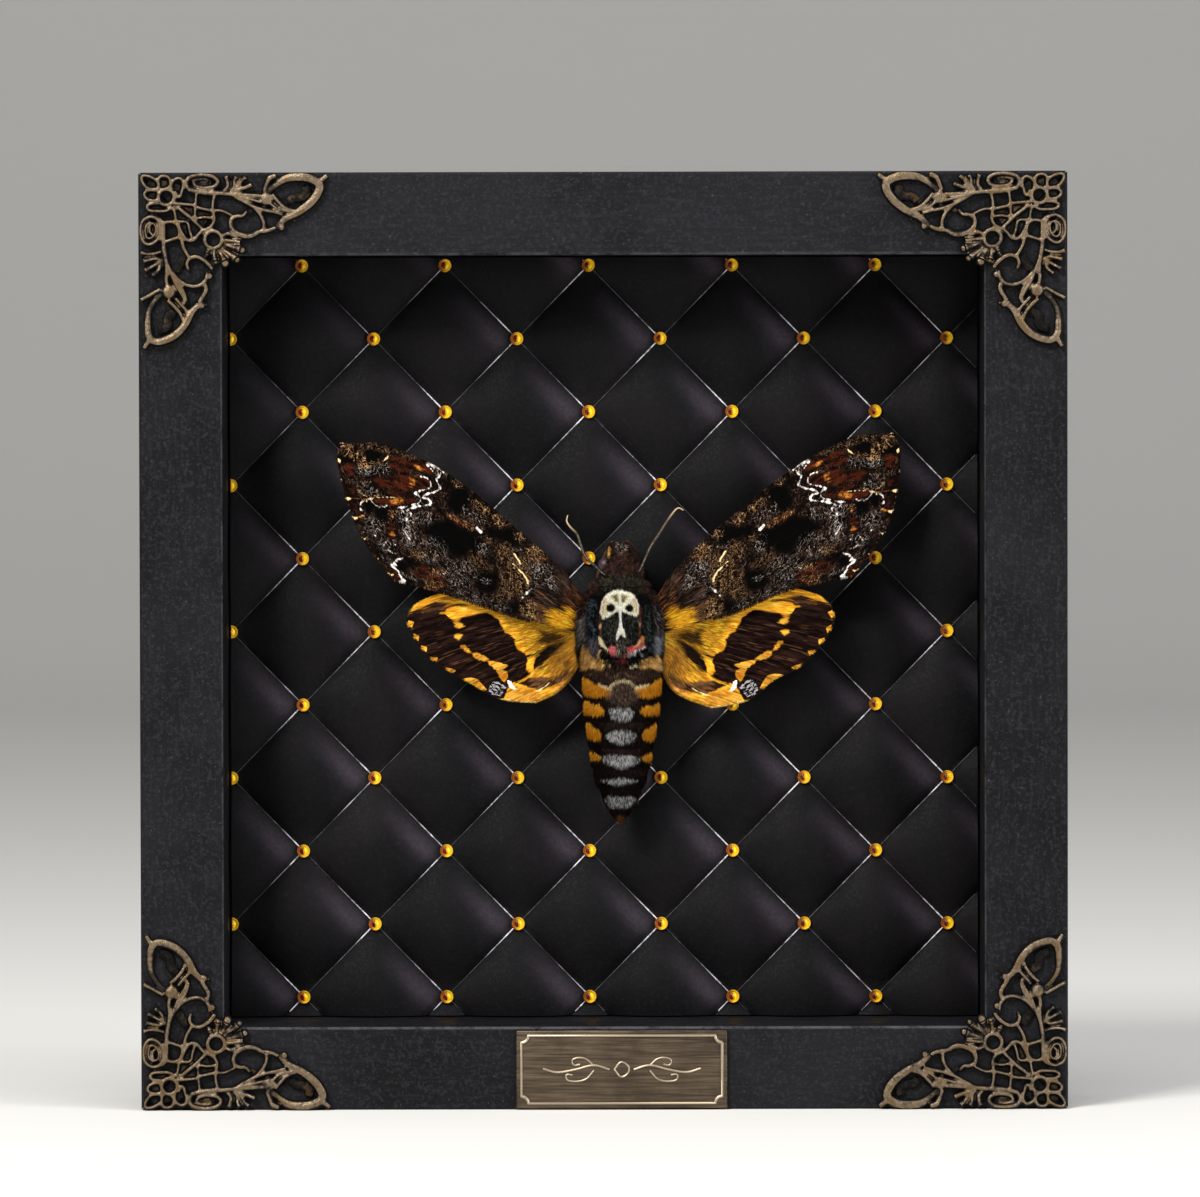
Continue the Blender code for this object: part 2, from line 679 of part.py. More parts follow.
def wing_lines(veins):
    """Lines across the wing: a foot, a crest and a foot for each raised vein."""
    lines = [(0.0, 0.0)]
    for vein in veins:
        lines += [(vein - VEIN_HALF_WIDTH, 0.0), (vein, 1.0), (vein + VEIN_HALF_WIDTH, 0.0)]
    return lines + [(1.0, 0.0)]


def wing_point(edges, u, v):
    """A place on the wing, u along it and v across it, blended from its four edges."""
    def read(edge, share):
        spot = share * (len(edge) - 1)
        i = min(int(spot), len(edge) - 2)
        return edge[i].lerp(edge[i + 1], spot - i)
    costa, outer, inner = edges
    root_a, root_b, apex, tornus = costa[0], inner[0], costa[-1], inner[-1]
    across = read(costa, u) * (1 - v) + read(inner, u) * v
    along = root_a.lerp(root_b, v) * (1 - u) + read(outer, v) * u
    corners = (root_a * (1 - v) + root_b * v) * (1 - u) + (apex * (1 - v) + tornus * v) * u
    return across + along - corners


def make_wing(name, finish, plan, veins, base_h, lift, camber):
    """A thin wing whose main veins are ridges in its upper face."""
    sign = -1 if name.endswith("left") else 1
    turn = math.radians(plan["set"])
    edges = [smooth_path([(x, z, 0.0) for x, z in plan[key]], 33) for key in ("costa", "outer", "inner")]
    lines = wing_lines(veins)
    count = len(lines)
    upper, lower = [], []
    for row in range(WING_ROWS):
        u = row / (WING_ROWS - 1)
        for v, crest in lines:
            flat = wing_point(edges, u, v)
            x = flat.x * math.cos(turn) - flat.y * math.sin(turn)
            z = flat.x * math.sin(turn) + flat.y * math.cos(turn)
            h = base_h + lift * u + camber * math.sin(math.pi * v)
            place = moth_point(plan["hinge"][0] + sign * x, plan["hinge"][1] + z, h)
            half = WING_THICKNESS / 2
            upper.append(place + Vector((0.0, -half - crest * VEIN_HEIGHT * (1 - 0.5 * u), 0.0)))
            lower.append(place + Vector((0.0, half, 0.0)))
    under = len(upper)
    faces = []
    for row in range(WING_ROWS - 1):
        for k in range(count - 1):
            a, b = row * count + k, row * count + k + 1
            c, d = a + count, b + count
            for p, q, r in ((a, b, d), (a, d, c)):
                faces += [(p, q, r), (under + p, under + r, under + q)]
    rim = list(range(count))
    rim += [row * count + count - 1 for row in range(1, WING_ROWS)]
    rim += [(WING_ROWS - 1) * count + k for k in range(count - 2, -1, -1)]
    rim += [row * count for row in range(WING_ROWS - 2, 0, -1)]
    for k, i in enumerate(rim):
        j = rim[(k + 1) % len(rim)]
        faces.append((i, j, under + j, under + i))
    return mesh_object(name, upper + lower, faces, finish)


def make_wings(fore_finish, hind_finish, thorax, abdomen, head):
    """Both pairs of wings, trimmed to the body."""
    for side, plan in FOREWINGS.items():
        wing = make_wing("forewing_" + side, fore_finish, plan, FOREWING_VEINS, FOREWING_H, 0.8, 0.4)
        cut_clear(wing, thorax, head)
    for side, plan in HINDWINGS.items():
        wing = make_wing("hindwing_" + side, hind_finish, plan, HINDWING_VEINS, HINDWING_H, -0.4, 0.1)
        cut_clear(wing, thorax, abdomen)


# Metal trim

def trim_strap(path, half_width, height, closed=False):
    """A ridged strap along flat points (along, down), with its flat side to the rail."""
    points = [Vector((p[0], p[1])) for p in path]
    count = len(points)
    rings = []
    for i, point in enumerate(points):
        if closed:
            way = points[(i + 1) % count] - points[i - 1]
        else:
            way = points[min(i + 1, count - 1)] - points[max(i - 1, 0)]
        side = Vector((-way.y, way.x)).normalized()
        width = half_width[i] if isinstance(half_width, (list, tuple)) else half_width
        left, right = point + side * width, point - side * width
        rings.append([(left.x, left.y, 0.0), (right.x, right.y, 0.0), (point.x, point.y, height)])
    return rings


def strap_faces(count, closed):
    """Faces that skin a strap's rings of three points."""
    faces = []
    for i in range(count if closed else count - 1):
        j = (i + 1) % count
        for k in range(3):
            m = (k + 1) % 3
            faces.append((i * 3 + k, i * 3 + m, j * 3 + m, j * 3 + k))
    if not closed:
        faces += [(0, 1, 2), (count * 3 - 3, count * 3 - 2, count * 3 - 1)]
    return faces


def corner_place(along, down, out):
    """A place on the top left ornament, in millimetres from the box's corner."""
    return Vector((-BOX_WIDTH / 2 + along * MM, FRONT_Y - GAP - out * MM, BOX_HEIGHT - down * MM))


def strap_body(path, half_width, height=1.35, closed=False):
    """One strap of the ornament as a body."""
    if isinstance(half_width, (int, float)):
        half_width = [half_width] * len(path)
    rings = trim_strap(path, [STRAP_BREADTH * width for width in half_width], height, closed)
    points = [corner_place(*p) for ring in rings for p in ring]
    return mesh_object("strap", points, strap_faces(len(rings), closed))


def bead_body(along, down, radius, height=1.6, sides=6):
    """One round bead of the ornament."""
    rings = []
    for share, out in ((1.0, 0.0), (0.6, height)):
        rings.append([
            corner_place(along + radius * share * math.cos(2 * math.pi * k / sides),
                         down + radius * share * math.sin(2 * math.pi * k / sides), out)
            for k in range(sides)
        ])
    return loft("bead", rings)


def arc(middle, radii, start, end, count):
    """Points on part of an ellipse, angles in degrees."""
    made = []
    for k in range(count):
        angle = math.radians(start + (end - start) * k / (count - 1))
        made.append((middle[0] + radii[0] * math.cos(angle), middle[1] + radii[1] * math.sin(angle)))
    return made


def swapped(path):
    """The same path on the other arm of the corner."""
    return [(down, along) for along, down in path]


def ornament_pieces():
    """The straps and beads of one pierced corner, drawn on one arm and repeated on the other."""
    pieces = []

    def both(path, half_width, height=1.35, closed=False):
        pieces.append(strap_body(path, half_width, height, closed))
        pieces.append(strap_body(swapped(path), half_width, height, closed))

    def both_beads(along, down, radius, height=1.6):
        pieces.append(bead_body(along, down, radius, height))
        pieces.append(bead_body(down, along, radius, height))

    ring = arc((5.4, 5.4), (1.55, 1.55), 0, 315, 8)
    pieces.append(strap_body(ring, 0.5, 1.35, True))
    pieces.append(strap_body([(0.5, 0.5), (1.9, 1.7), (3.2, 3.1), (4.4, 4.2)], [0.35, 1.1, 1.0, 0.5]))
    both([(6.6, 0.7), (6.2, 2.0), (5.8, 3.9)], [0.5, 1.1, 0.6])
    both([(9.6, 1.9), (8.6, 2.9), (6.7, 4.3)], [0.4, 1.0, 0.6])
    both(arc((13.4, 2.3), (3.4, 1.55), 0, 315, 8), 0.45, 1.2, True)
    both([(11.6, 2.3), (13.4, 2.0), (15.0, 2.5)], 0.45, 1.1)
    for tip in ((18.4, 0.5), (20.7, 0.5), (22.9, 1.0), (24.8, 2.7)):
        both([tip, (19.4, 4.3)], [0.55, 0.4], 1.2)
    both([(6.8, 6.1), (10.2, 4.1), (19.4, 4.5), (27.0, 5.2)], 0.5)
    both_beads(27.4, 5.4, 1.35)
    loop = [(28.0, 4.2), (30.2, 2.0), (34.0, 1.1), (38.6, 1.8), (38.6, 4.2), (35.6, 7.9),
            (32.0, 9.4), (29.0, 6.9)]
    both(loop, [0.6, 0.65, 0.7, 0.8, 0.85, 0.85, 0.7, 0.5], 1.45, True)
    both([(38.4, 2.0), (40.6, 0.6)], [0.7, 0.45], 1.3)
    both([(28.2, 4.2), (28.6, 2.2), (30.2, 0.6)], [0.4, 0.5, 0.5], 1.2)
    both([(20.0, 4.8), (24.2, 6.4), (27.5, 8.6), (28.6, 11.6)], [0.4, 0.45, 0.45, 0.5], 1.2)
    both([(33.0, 9.2), (30.6, 11.6), (27.8, 13.0), (25.6, 13.6)], [0.8, 0.7, 0.6, 0.5], 1.35)
    both(arc((23.8, 10.9), (2.5, 2.5), 60, 300, 7), [0.5, 0.55, 0.6, 0.6, 0.6, 0.55, 0.5], 1.35)
    both_beads(31.0, 12.0, 0.9)
    both_beads(24.4, 13.8, 0.8)
    both([(10.6, 4.4), (11.2, 7.8), (13.4, 9.2)], 0.45, 1.1)
    both([(15.6, 4.6), (15.8, 8.6), (13.2, 9.4)], 0.45, 1.1)
    both([(8.6, 7.6), (13.0, 8.4), (17.4, 8.6), (21.6, 10.0)], 0.42, 1.1)
    pieces.append(strap_body([(6.4, 6.4), (8.2, 8.2), (11.2, 11.2), (14.2, 14.2)], [0.5, 1.7, 1.9, 0.5], 1.2))
    pieces.append(strap_body(arc((15.9, 15.9), (2.0, 2.0), 0, 320, 9), 0.55, 1.4, True))
    for k in range(7):
        angle = math.radians(-18 + 21 * k)
        near = (15.9 + 2.2 * math.cos(angle), 15.9 + 2.2 * math.sin(angle))
        reach = 5.3 + 0.9 * math.sin(math.pi * k / 6)
        far = (15.9 + reach * math.cos(angle), 15.9 + reach * math.sin(angle))
        end = (15.9 + (reach + 0.8) * math.cos(angle), 15.9 + (reach + 0.8) * math.sin(angle))
        pieces.append(strap_body([near, far, end], [0.35, 0.85, 0.5], 1.4))
    return pieces


def make_corners(finish):
    """Four pierced corner ornaments, each the mirror of its neighbours."""
    pieces = ornament_pieces()
    first = pieces[0]
    combine(first, pieces[1:], "UNION", "MANIFOLD")
    first.name = "corner_top_left"
    merge_flats(first)
    first.data.materials.clear()
    first.data.materials.append(finish)
    for name, flip_x, flip_z in (("corner_top_right", True, False), ("corner_bottom_left", False, True),
                                 ("corner_bottom_right", True, True)):
        mesh = first.data.copy()
        for vertex in mesh.vertices:
            if flip_x:
                vertex.co.x = -vertex.co.x
            if flip_z:
                vertex.co.z = BOX_HEIGHT - vertex.co.z
        if flip_x != flip_z:
            mesh.flip_normals()
        made = bpy.data.objects.new(name, mesh)
        bpy.context.scene.collection.objects.link(made)


def make_plaque(finish):
    """The bare name plate: a thin slab with a raised line that notches in at its corners."""
    half_x, half_z = PLAQUE_WIDTH / 2, PLAQUE_HEIGHT / 2
    edge = 0.35 * MM
    rings = []
    for inset, out in ((0.0, 0.0), (0.0, 0.65), (edge, 0.9)):
        ring = [(-half_x + inset, -half_z + inset), (half_x - inset, -half_z + inset),
                (half_x - inset, half_z - inset), (-half_x + inset, half_z - inset)]
        rings.append([Vector((PLAQUE_X + x, FRONT_Y - GAP - out * MM, PLAQUE_Z + z)) for x, z in ring])
    plaque = loft("plaque", rings, finish)
    border_x, border_z, notch = half_x / MM - 1.1, half_z / MM - 1.1, 1.5
    path = []
    for sx, sz, first in ((1, 1, 270), (-1, 1, 360), (-1, -1, 90), (1, -1, 180)):
        path += arc((sx * border_x, sz * border_z), (notch, notch), first, first - 90, 4)
    rings = trim_strap(path, 0.4, 0.7, True)
    points = [Vector((PLAQUE_X + x * MM, FRONT_Y - GAP - (0.6 + out) * MM, PLAQUE_Z + z * MM))
              for ring in rings for x, z, out in ring]
    border = mesh_object("border", points, strap_faces(len(rings), True))
    combine(plaque, [border], "UNION", "MANIFOLD")


def main():
    """Build every piece."""
    clear_scene()
    black_wood = finish_material("black_wood", (0.012, 0.012, 0.013), 0.5)
    board = finish_material("board", (0.02, 0.019, 0.018), 0.8)
    quilting = finish_material("quilting", (0.016, 0.014, 0.018), 0.45)
    bronze = finish_material("bronze", (0.33, 0.25, 0.15), 0.38, 1.0)
    fur = finish_material("fur", (0.035, 0.027, 0.02), 0.85)
    abdomen_fur = finish_material("abdomen_fur", (0.35, 0.19, 0.03), 0.8)
    fore_scales = finish_material("fore_scales", (0.06, 0.038, 0.025), 0.6)
    hind_scales = finish_material("hind_scales", (0.55, 0.29, 0.035), 0.6)
    horn = finish_material("horn", (0.16, 0.12, 0.08), 0.5)
    eye = finish_material("eye", (0.11, 0.07, 0.06), 0.2)
    steel = finish_material("steel", (0.5, 0.5, 0.5), 0.3, 1.0)

    make_rails(black_wood)
    make_backboard(board)
    make_quilt(quilting)
    make_corners(bronze)
    make_plaque(bronze)
    thorax = make_thorax(fur)
    abdomen = make_abdomen(abdomen_fur, thorax)
    eyes = make_eyes(eye)
    head = make_head(fur, thorax, eyes)
    make_palps(fur, head)
    make_tongue(horn, head)
    make_antennae(horn, head)
    make_legs(horn, thorax)
    make_pin(steel, thorax)
    make_wings(fore_scales, hind_scales, thorax, abdomen, head)


main()
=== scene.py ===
"""Looks of a death's-head hawkmoth mounted in an open black shadow box.

Metres, +Z up, the box's open front towards -Y. The moth is laid out in its own
flat millimetres: x to the right, z up from the middle of its thorax, and h the
height above the seams of the quilted pad, towards the viewer.
"""
import math

import bpy
import numpy as np
from mathutils import Matrix, Vector


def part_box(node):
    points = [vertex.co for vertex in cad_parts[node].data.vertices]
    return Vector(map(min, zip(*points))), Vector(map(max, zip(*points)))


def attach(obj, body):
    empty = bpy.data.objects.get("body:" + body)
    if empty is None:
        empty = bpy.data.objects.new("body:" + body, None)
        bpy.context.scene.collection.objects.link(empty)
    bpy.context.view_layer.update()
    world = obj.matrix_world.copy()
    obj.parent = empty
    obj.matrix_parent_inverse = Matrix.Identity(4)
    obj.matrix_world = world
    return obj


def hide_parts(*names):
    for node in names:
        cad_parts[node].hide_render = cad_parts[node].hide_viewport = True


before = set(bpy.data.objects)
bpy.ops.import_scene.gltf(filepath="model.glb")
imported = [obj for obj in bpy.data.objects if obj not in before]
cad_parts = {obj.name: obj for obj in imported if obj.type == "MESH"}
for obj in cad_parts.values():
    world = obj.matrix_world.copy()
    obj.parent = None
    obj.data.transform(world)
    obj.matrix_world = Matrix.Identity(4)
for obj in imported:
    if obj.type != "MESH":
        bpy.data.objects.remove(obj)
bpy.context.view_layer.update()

MM = 0.001

# Places on the box, read from the frame.
RAIL_LOW, RAIL_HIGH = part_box("rail_top")
QUILT_LOW, QUILT_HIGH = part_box("quilt")
PLAQUE_LOW, PLAQUE_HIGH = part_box("plaque")
BOX_HALF = RAIL_HIGH.x
BOX_HEIGHT = RAIL_HIGH.z
BOX_MIDDLE = BOX_HEIGHT / 2
FRONT = RAIL_LOW.y
RAIL_WIDTH = RAIL_HIGH.z - RAIL_LOW.z
OPENING_X = BOX_HALF - RAIL_WIDTH
OPENING_Z = BOX_MIDDLE - RAIL_WIDTH
SEAM = FRONT + 30.0 * MM
TRIM_GAP = 0.3 * MM

# The pad: buttons stand where the seams cross.
BUTTON_X0 = -81.54 * MM
BUTTON_Z0 = 182.3 * MM
BUTTON_ROWS, BUTTON_COLUMNS = 11, 11
COLUMN_STEP = 15.65 * MM
ROW_STEP = 16.0 * MM
PUFF_HEIGHT = 3.5 * MM
BUTTON_RADIUS = 1.45 * MM
DOME_HEIGHT = 1.47 * MM
SEAM_STEP = 0.04
PAD_CELLS = 11
PAD_STEPS = 22
PAD_FIRST_S, PAD_FIRST_T = -1, -6

# The metal trim.
STROKE_SWELL = 1.36
ORNAMENT_VOXEL = 0.16 * MM
PLATE_THICKNESS = 0.9 * MM
BORDER_INSET, BORDER_NOTCH = 1.15, 1.5

# The moth: its middle on the pad, and its coat and wings.
MOTH_X = 3.5 * MM
MOTH_Z = 105.1 * MM
BODY_TUFTS = 120000
COAT_PIECES = 6
SKIN_VOXEL = 0.24 * MM
WING_THICKNESS = 0.28 * MM
EYE_RADIUS = 1.65 * MM
EYE_PLACES = {"left": (-3.05, 12.0, 12.7), "right": (2.7, 12.0, 12.7)}

# The camera, from the vanishing of the box's edges.
CAMERA_PLACE = (0.00642, -2.01616, 0.16909)
CAMERA_YAW, CAMERA_PITCH, CAMERA_ROLL = -0.0036, -0.02942, -0.00225
CAMERA_LENS = 278.19
CAMERA_SENSOR = 36.0


def moth(x, z, h):
    """A place on the moth, from its flat millimetres."""
    return Vector((MOTH_X + x * MM, SEAM - h * MM, MOTH_Z + z * MM))


# Workshop helpers

def deselect():
    """Let go of everything."""
    bpy.ops.object.select_all(action="DESELECT")


def hold(*items):
    """Select these pieces alone, the first of them active."""
    deselect()
    for item in items:
        item.select_set(True)
    bpy.context.view_layer.objects.active = items[0]
    return items[0]


def take_new(name):
    """Name the piece that was just added, and its mesh."""
    item = bpy.context.active_object
    item.name = name
    item.data.name = name
    return item


def settle(item):
    """Put a piece's place into its mesh, so that its object stands at the origin."""
    hold(item)
    bpy.ops.object.transform_apply(location=True, rotation=True, scale=True)
    return item


def modify(item, kind, **settings):
    """Add one modifier and apply it."""
    hold(item)
    made = item.modifiers.new(kind.lower(), kind)
    for name, value in settings.items():
        setattr(made, name, value)
    bpy.ops.object.modifier_apply(modifier=made.name)
    return item


def join(items, name):
    """Make several pieces one."""
    item = hold(*items)
    if len(items) > 1:
        bpy.ops.object.join()
    item.name = name
    item.data.name = name
    return item


def points_of(item):
    """The corners of a mesh as an array."""
    flat = np.empty(len(item.data.vertices) * 3)
    item.data.vertices.foreach_get("co", flat)
    return flat.reshape(-1, 3)


def move_points(item, places):
    """Put the corners of a mesh at new places."""
    item.data.vertices.foreach_set("co", np.asarray(places, float).ravel())
    item.data.update()


def edit(item, *steps):
    """Work through steps in edit mode with everything selected."""
    hold(item)
    bpy.ops.object.mode_set(mode="EDIT")
    bpy.ops.mesh.select_all(action="SELECT")
    for step in steps:
        step()
    bpy.ops.object.mode_set(mode="OBJECT")
    return item


def face_outwards(item):
    """Merge doubles and turn the faces outwards."""
    return edit(item, lambda: bpy.ops.mesh.remove_doubles(threshold=0.00001),
                lambda: bpy.ops.mesh.normals_make_consistent(inside=False))


def soften(item, angle=40):
    """Shade smooth, with edges sharper than the angle kept crisp."""
    hold(item)
    bpy.ops.object.shade_smooth_by_angle(angle=math.radians(angle))
    return item


def mark(item, name, values, kind="FLOAT"):
    """Keep one number, colour or vector for each corner of a mesh."""
    layer = item.data.attributes.new(name, kind, "POINT")
    key = {"FLOAT": "value", "FLOAT_COLOR": "color", "FLOAT_VECTOR": "vector"}[kind]
    layer.data.foreach_set(key, np.ascontiguousarray(values, dtype=np.float32).ravel())
    return item


def add_grid(name, columns, rows):
    """A flat grid, with its corners in rows from low y to high y."""
    bpy.ops.mesh.primitive_grid_add(x_subdivisions=columns, y_subdivisions=rows, size=1.0)
    return take_new(name)


def show(item, finish, slot, *nodes):
    """Give a finished piece its finish and its place in the frame."""
    item.data.materials.clear()
    item.data.materials.append(finish)
    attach(item, "root")
    if nodes:
        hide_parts(*nodes)
    return item


def smooth_path(points, count):
    """Evenly spaced points on a smooth curve through the given ones."""
    points = [np.array(point, float) for point in points]
    before = [2 * points[0] - points[1]] + points[:-1]
    after = points[1:] + [2 * points[-1] - points[-2]]
    dense = [points[0]]
    for i in range(len(points) - 1):
        start, end = points[i], points[i + 1]
        reach = np.linalg.norm(end - start)
        lead = (end - before[i]) / np.linalg.norm(end - before[i]) * reach
        trail = (after[i + 1] - start) / np.linalg.norm(after[i + 1] - start) * reach
        for k in range(1, 17):
            t = k / 16
            dense.append(
                start * (2 * t**3 - 3 * t**2 + 1) + lead * (t**3 - 2 * t**2 + t)
                + end * (3 * t**2 - 2 * t**3) + trail * (t**3 - t**2)
            )
    dense = np.array(dense)
    lengths = np.concatenate([[0.0], np.cumsum(np.linalg.norm(np.diff(dense, axis=0), axis=1))])
    wanted = np.linspace(0.0, lengths[-1], count)
    return np.stack([np.interp(wanted, lengths, dense[:, k]) for k in range(dense.shape[1])], 1)


def rod(name, path, radii, sides=3):
    """A round bar along points, with a radius at each: a path curve with a bevel, made a mesh."""
    bpy.ops.curve.primitive_nurbs_path_add()
    curve = take_new(name)
    spline_set = curve.data.splines
    spline_set.clear()
    spline = spline_set.new("POLY")
    spline.points.add(len(path) - 1)
    for point, place, radius in zip(spline.points, path, radii):
        point.co = (*place, 1.0)
        point.radius = radius
    curve.data.dimensions = "3D"
    curve.data.bevel_depth = 1.0
    curve.data.bevel_resolution = sides
    curve.data.use_fill_caps = True
    hold(curve)
    bpy.ops.object.convert(target="MESH")
    return bpy.context.active_object


# Finishes

def paint(text):
    """A colour, from six hex digits, as light."""
    parts = [int(text[i:i + 2], 16) / 255 for i in (0, 2, 4)]
    return tuple(p / 12.92 if p <= 0.04045 else ((p + 0.055) / 1.055) ** 2.4 for p in parts) + (1.0,)


class Finish:
    """One procedural material, built node by node."""

    def __init__(self, name, roughness=0.5, metallic=0.0, **sockets):
        self.material = bpy.data.materials.new(name)
        self.material.use_nodes = True
        self.tree = self.material.node_tree
        self.shader = self.tree.nodes["Principled BSDF"]
        self.shader.inputs["Roughness"].default_value = roughness
        self.shader.inputs["Metallic"].default_value = metallic
        for key, value in sockets.items():
            self.shader.inputs[key.replace("_", " ")].default_value = value
        self.last_bump = None

    def put(self, socket, value):
        """Feed a socket from another node, or set it."""
        if isinstance(value, bpy.types.NodeSocket):
            self.tree.links.new(value, socket)
        elif value is not None:
            socket.default_value = value

    def node(self, kind, feeds=(), **settings):
        """Add a node. feeds are (socket, value) pairs."""
        made = self.tree.nodes.new(kind)
        for name, value in settings.items():
            setattr(made, name, value)
        for key, value in feeds:
            self.put(made.inputs[key], value)
        return made

    def place(self):
        """Object coordinates."""
        return self.node("ShaderNodeTexCoord").outputs["Object"]

    def stretch(self, vector, scale, turn=(0.0, 0.0, 0.0)):
        """A pattern's coordinates, scaled and turned."""
        return self.node("ShaderNodeMapping", [("Vector", vector), ("Scale", scale),
            ("Rotation", turn)]).outputs[0]

    def noise(self, vector, scale, detail=2.0, rough=0.5, warp=0.0):
        """Cloudy noise from 0 to 1."""
        return self.node("ShaderNodeTexNoise", [("Vector", vector), ("Scale", scale), ("Detail", detail),
                                                ("Roughness", rough), ("Distortion", warp)]).outputs["Fac"]

    def cells(self, vector, scale):
        """Distance pattern of scattered cells."""
        return self.node("ShaderNodeTexVoronoi", [("Vector", vector), ("Scale", scale)]).outputs["Distance"]

    def sum(self, kind, one, two=None):
        """Arithmetic on two values."""
        feeds = [(0, one)] + ([(1, two)] if two is not None else [])
        return self.node("ShaderNodeMath", feeds, operation=kind).outputs[0]

    def plus(self, one, two):
        return self.sum("ADD", one, two)

    def minus(self, one, two):
        return self.sum("SUBTRACT", one, two)

    def times(self, one, two):
        return self.sum("MULTIPLY", one, two)

    def away(self, one):
        return self.sum("ABSOLUTE", one)

    def step(self, value, low, high, start=0.0, end=1.0, kind="SMOOTHSTEP"):
        """A soft step from start to end between low and high."""
        return self.node("ShaderNodeMapRange", [("Value", value), ("From Min", low), ("From Max", high),
                                                ("To Min", start), ("To Max", end)],
                         interpolation_type=kind).outputs[0]

    def blend(self, mask, one, two):
        """One colour under another, by a mask."""
        return self.node("ShaderNodeMix", [(0, mask), (6, one), (7, two)], data_type="RGBA",
                         clamp_factor=True).outputs[2]

    def cover(self, field, grain, loose, low, high):
        """A field as a mask, its edge broken up by a grain."""
        value = self.plus(field, self.times(self.minus(grain, 0.5), loose))
        return self.step(value, low, high)

    def ramp(self, value, low, high, one, two):
        """From one colour to another between low and high."""
        return self.blend(self.step(value, low, high), paint(one), paint(two))

    def over(self, under, mask, text):
        """A colour laid over another where a mask covers it."""
        return self.blend(mask, under, paint(text))

    def marks(self, name):
        """The four fields kept in one colour attribute."""
        read = self.node("ShaderNodeAttribute", attribute_name=name)
        parts = self.node("ShaderNodeSeparateColor", [(0, read.outputs["Color"])])
        return [parts.outputs[0], parts.outputs[1], parts.outputs[2], read.outputs["Alpha"]]

    def kept(self, name, output="Color"):
        """An attribute as it is."""
        return self.node("ShaderNodeAttribute", attribute_name=name).outputs[output]

    def axis(self, vector, which):
        """One part of a vector."""
        return self.node("ShaderNodeSeparateXYZ", [(0, vector)]).outputs[which]

    def bump(self, height, depth, strength=1.0):
        """Fine relief, on top of any before it."""
        made = self.node("ShaderNodeBump", [("Height", height), ("Distance", depth), ("Strength", strength),
                                            ("Normal", self.last_bump)])
        self.last_bump = made.outputs[0]

    def finish(self, colour, rough=None):
        """Connect the colour, the relief and any varied roughness."""
        self.put(self.shader.inputs["Base Color"], colour)
        if rough is not None:
            self.put(self.shader.inputs["Roughness"], rough)
        if self.last_bump is not None:
            self.put(self.shader.inputs["Normal"], self.last_bump)
        return self.material


def black_wood():
    """Satin black paint over close-grained wood, worn thin along its edges."""
    f = Finish("black_wood", 0.55, Specular_IOR_Level=0.12)
    place = f.place()
    x, y, z = (f.axis(place, k) for k in range(3))
    away_x, away_z = f.away(x), f.away(f.minus(z, BOX_MIDDLE))
    upright = f.step(f.minus(away_x, away_z), -0.002, 0.002)
    pebble = f.noise(place, 1500, 2.0, 0.6)
    flecks = f.noise(place, 1150, 3.0, 0.8)
    along_x = f.noise(f.stretch(place, (150, 1200, 1200)), 1.0, 4.0, 0.65)
    along_z = f.noise(f.stretch(place, (1200, 1200, 150)), 1.0, 4.0, 0.65)
    grain = f.node("ShaderNodeMix", [(0, upright), (2, along_x), (3, along_z)]).outputs[0]
    cloud = f.noise(place, 30, 3.0, 0.6)
    base = f.ramp(cloud, 0.35, 0.68, "0b0b0d", "161619")
    base = f.over(base, f.step(pebble, 0.5, 0.66, 0.0, 0.5), "28282d")
    base = f.over(base, f.step(grain, 0.5, 0.72, 0.0, 0.35), "25252a")
    base = f.over(base, f.step(flecks, 0.62, 0.72, 0.0, 0.65), "45464b")
    inner = f.sum("MAXIMUM", f.minus(away_x, OPENING_X), f.minus(away_z, OPENING_Z))
    rim = f.step(f.away(inner), 0.75 * MM, 0.1 * MM)
    near_face = f.step(f.minus(y, FRONT), 0.8 * MM, 0.1 * MM)
    wear = f.times(f.times(rim, near_face), f.step(f.noise(place, 240, 4.0, 0.7), 0.3, 0.6))
    base = f.over(base, f.times(wear, 0.5), "6a6a6e")
    f.bump(grain, 0.00012, 0.3)
    f.bump(pebble, 0.00016, 0.7)
    return f.finish(base, f.step(grain, 0.3, 0.8, 0.45, 0.62))


def board():
    """Dark fibreboard with its pressed fibres."""
    f = Finish("board", 0.85)
    place = f.place()
    fibres = f.noise(f.stretch(place, (500, 500, 1500), (0, 0.5, 0)), 1.0, 5.0, 0.7)
    colour = f.ramp(fibres, 0.35, 0.7, "1d1916", "3a332c")
    f.bump(fibres, 0.0002, 0.5)
    return f.finish(colour)


def quilting():
    """Black leather-like cover with a faint violet painted sheen and fine grain."""
    f = Finish("quilting", 0.55, Specular_IOR_Level=0.09)
    place = f.place()
    grain = f.cells(place, 1500)
    cloud = f.noise(place, 60, 3.0, 0.6)
    weave = f.noise(place, 1300, 3.0, 0.7)
    painted_sheen = f.kept("painted_sheen", "Fac")
    base = f.ramp(cloud, 0.3, 0.7, "09090b", "110f11")
    base = f.over(base, f.step(weave, 0.5, 0.75, 0.0, 0.4), "211f22")
    # Painted sheen: a violet painted highlight on each puff.
    base = f.over(base, f.times(painted_sheen, f.step(weave, 0.25, 0.7, 0.6, 1.0)), "373138")
    f.bump(grain, 0.00005, 0.4)
    f.bump(f.noise(place, 420, 3.0, 0.6), 0.00010, 0.2)
    return f.finish(base, f.step(grain, 0.0, 0.6, 0.5, 0.65))


def seam_thread():
    """Piping in the seams: dark, with a pale painted highlight that is brightest beside the buttons."""
    f = Finish("seam_thread", 0.4, Specular_IOR_Level=0.4)
    bright = f.kept("bright", "Fac")
    highlight_noise = f.noise(f.place(), 1000, 3.0, 0.6)
    # Painted highlight, broken up by a noise.
    cover = f.times(bright, f.step(highlight_noise, 0.35, 0.58, 0.35, 1.0))
    return f.finish(f.blend(cover, paint("141417"), paint("e4e1e6")))


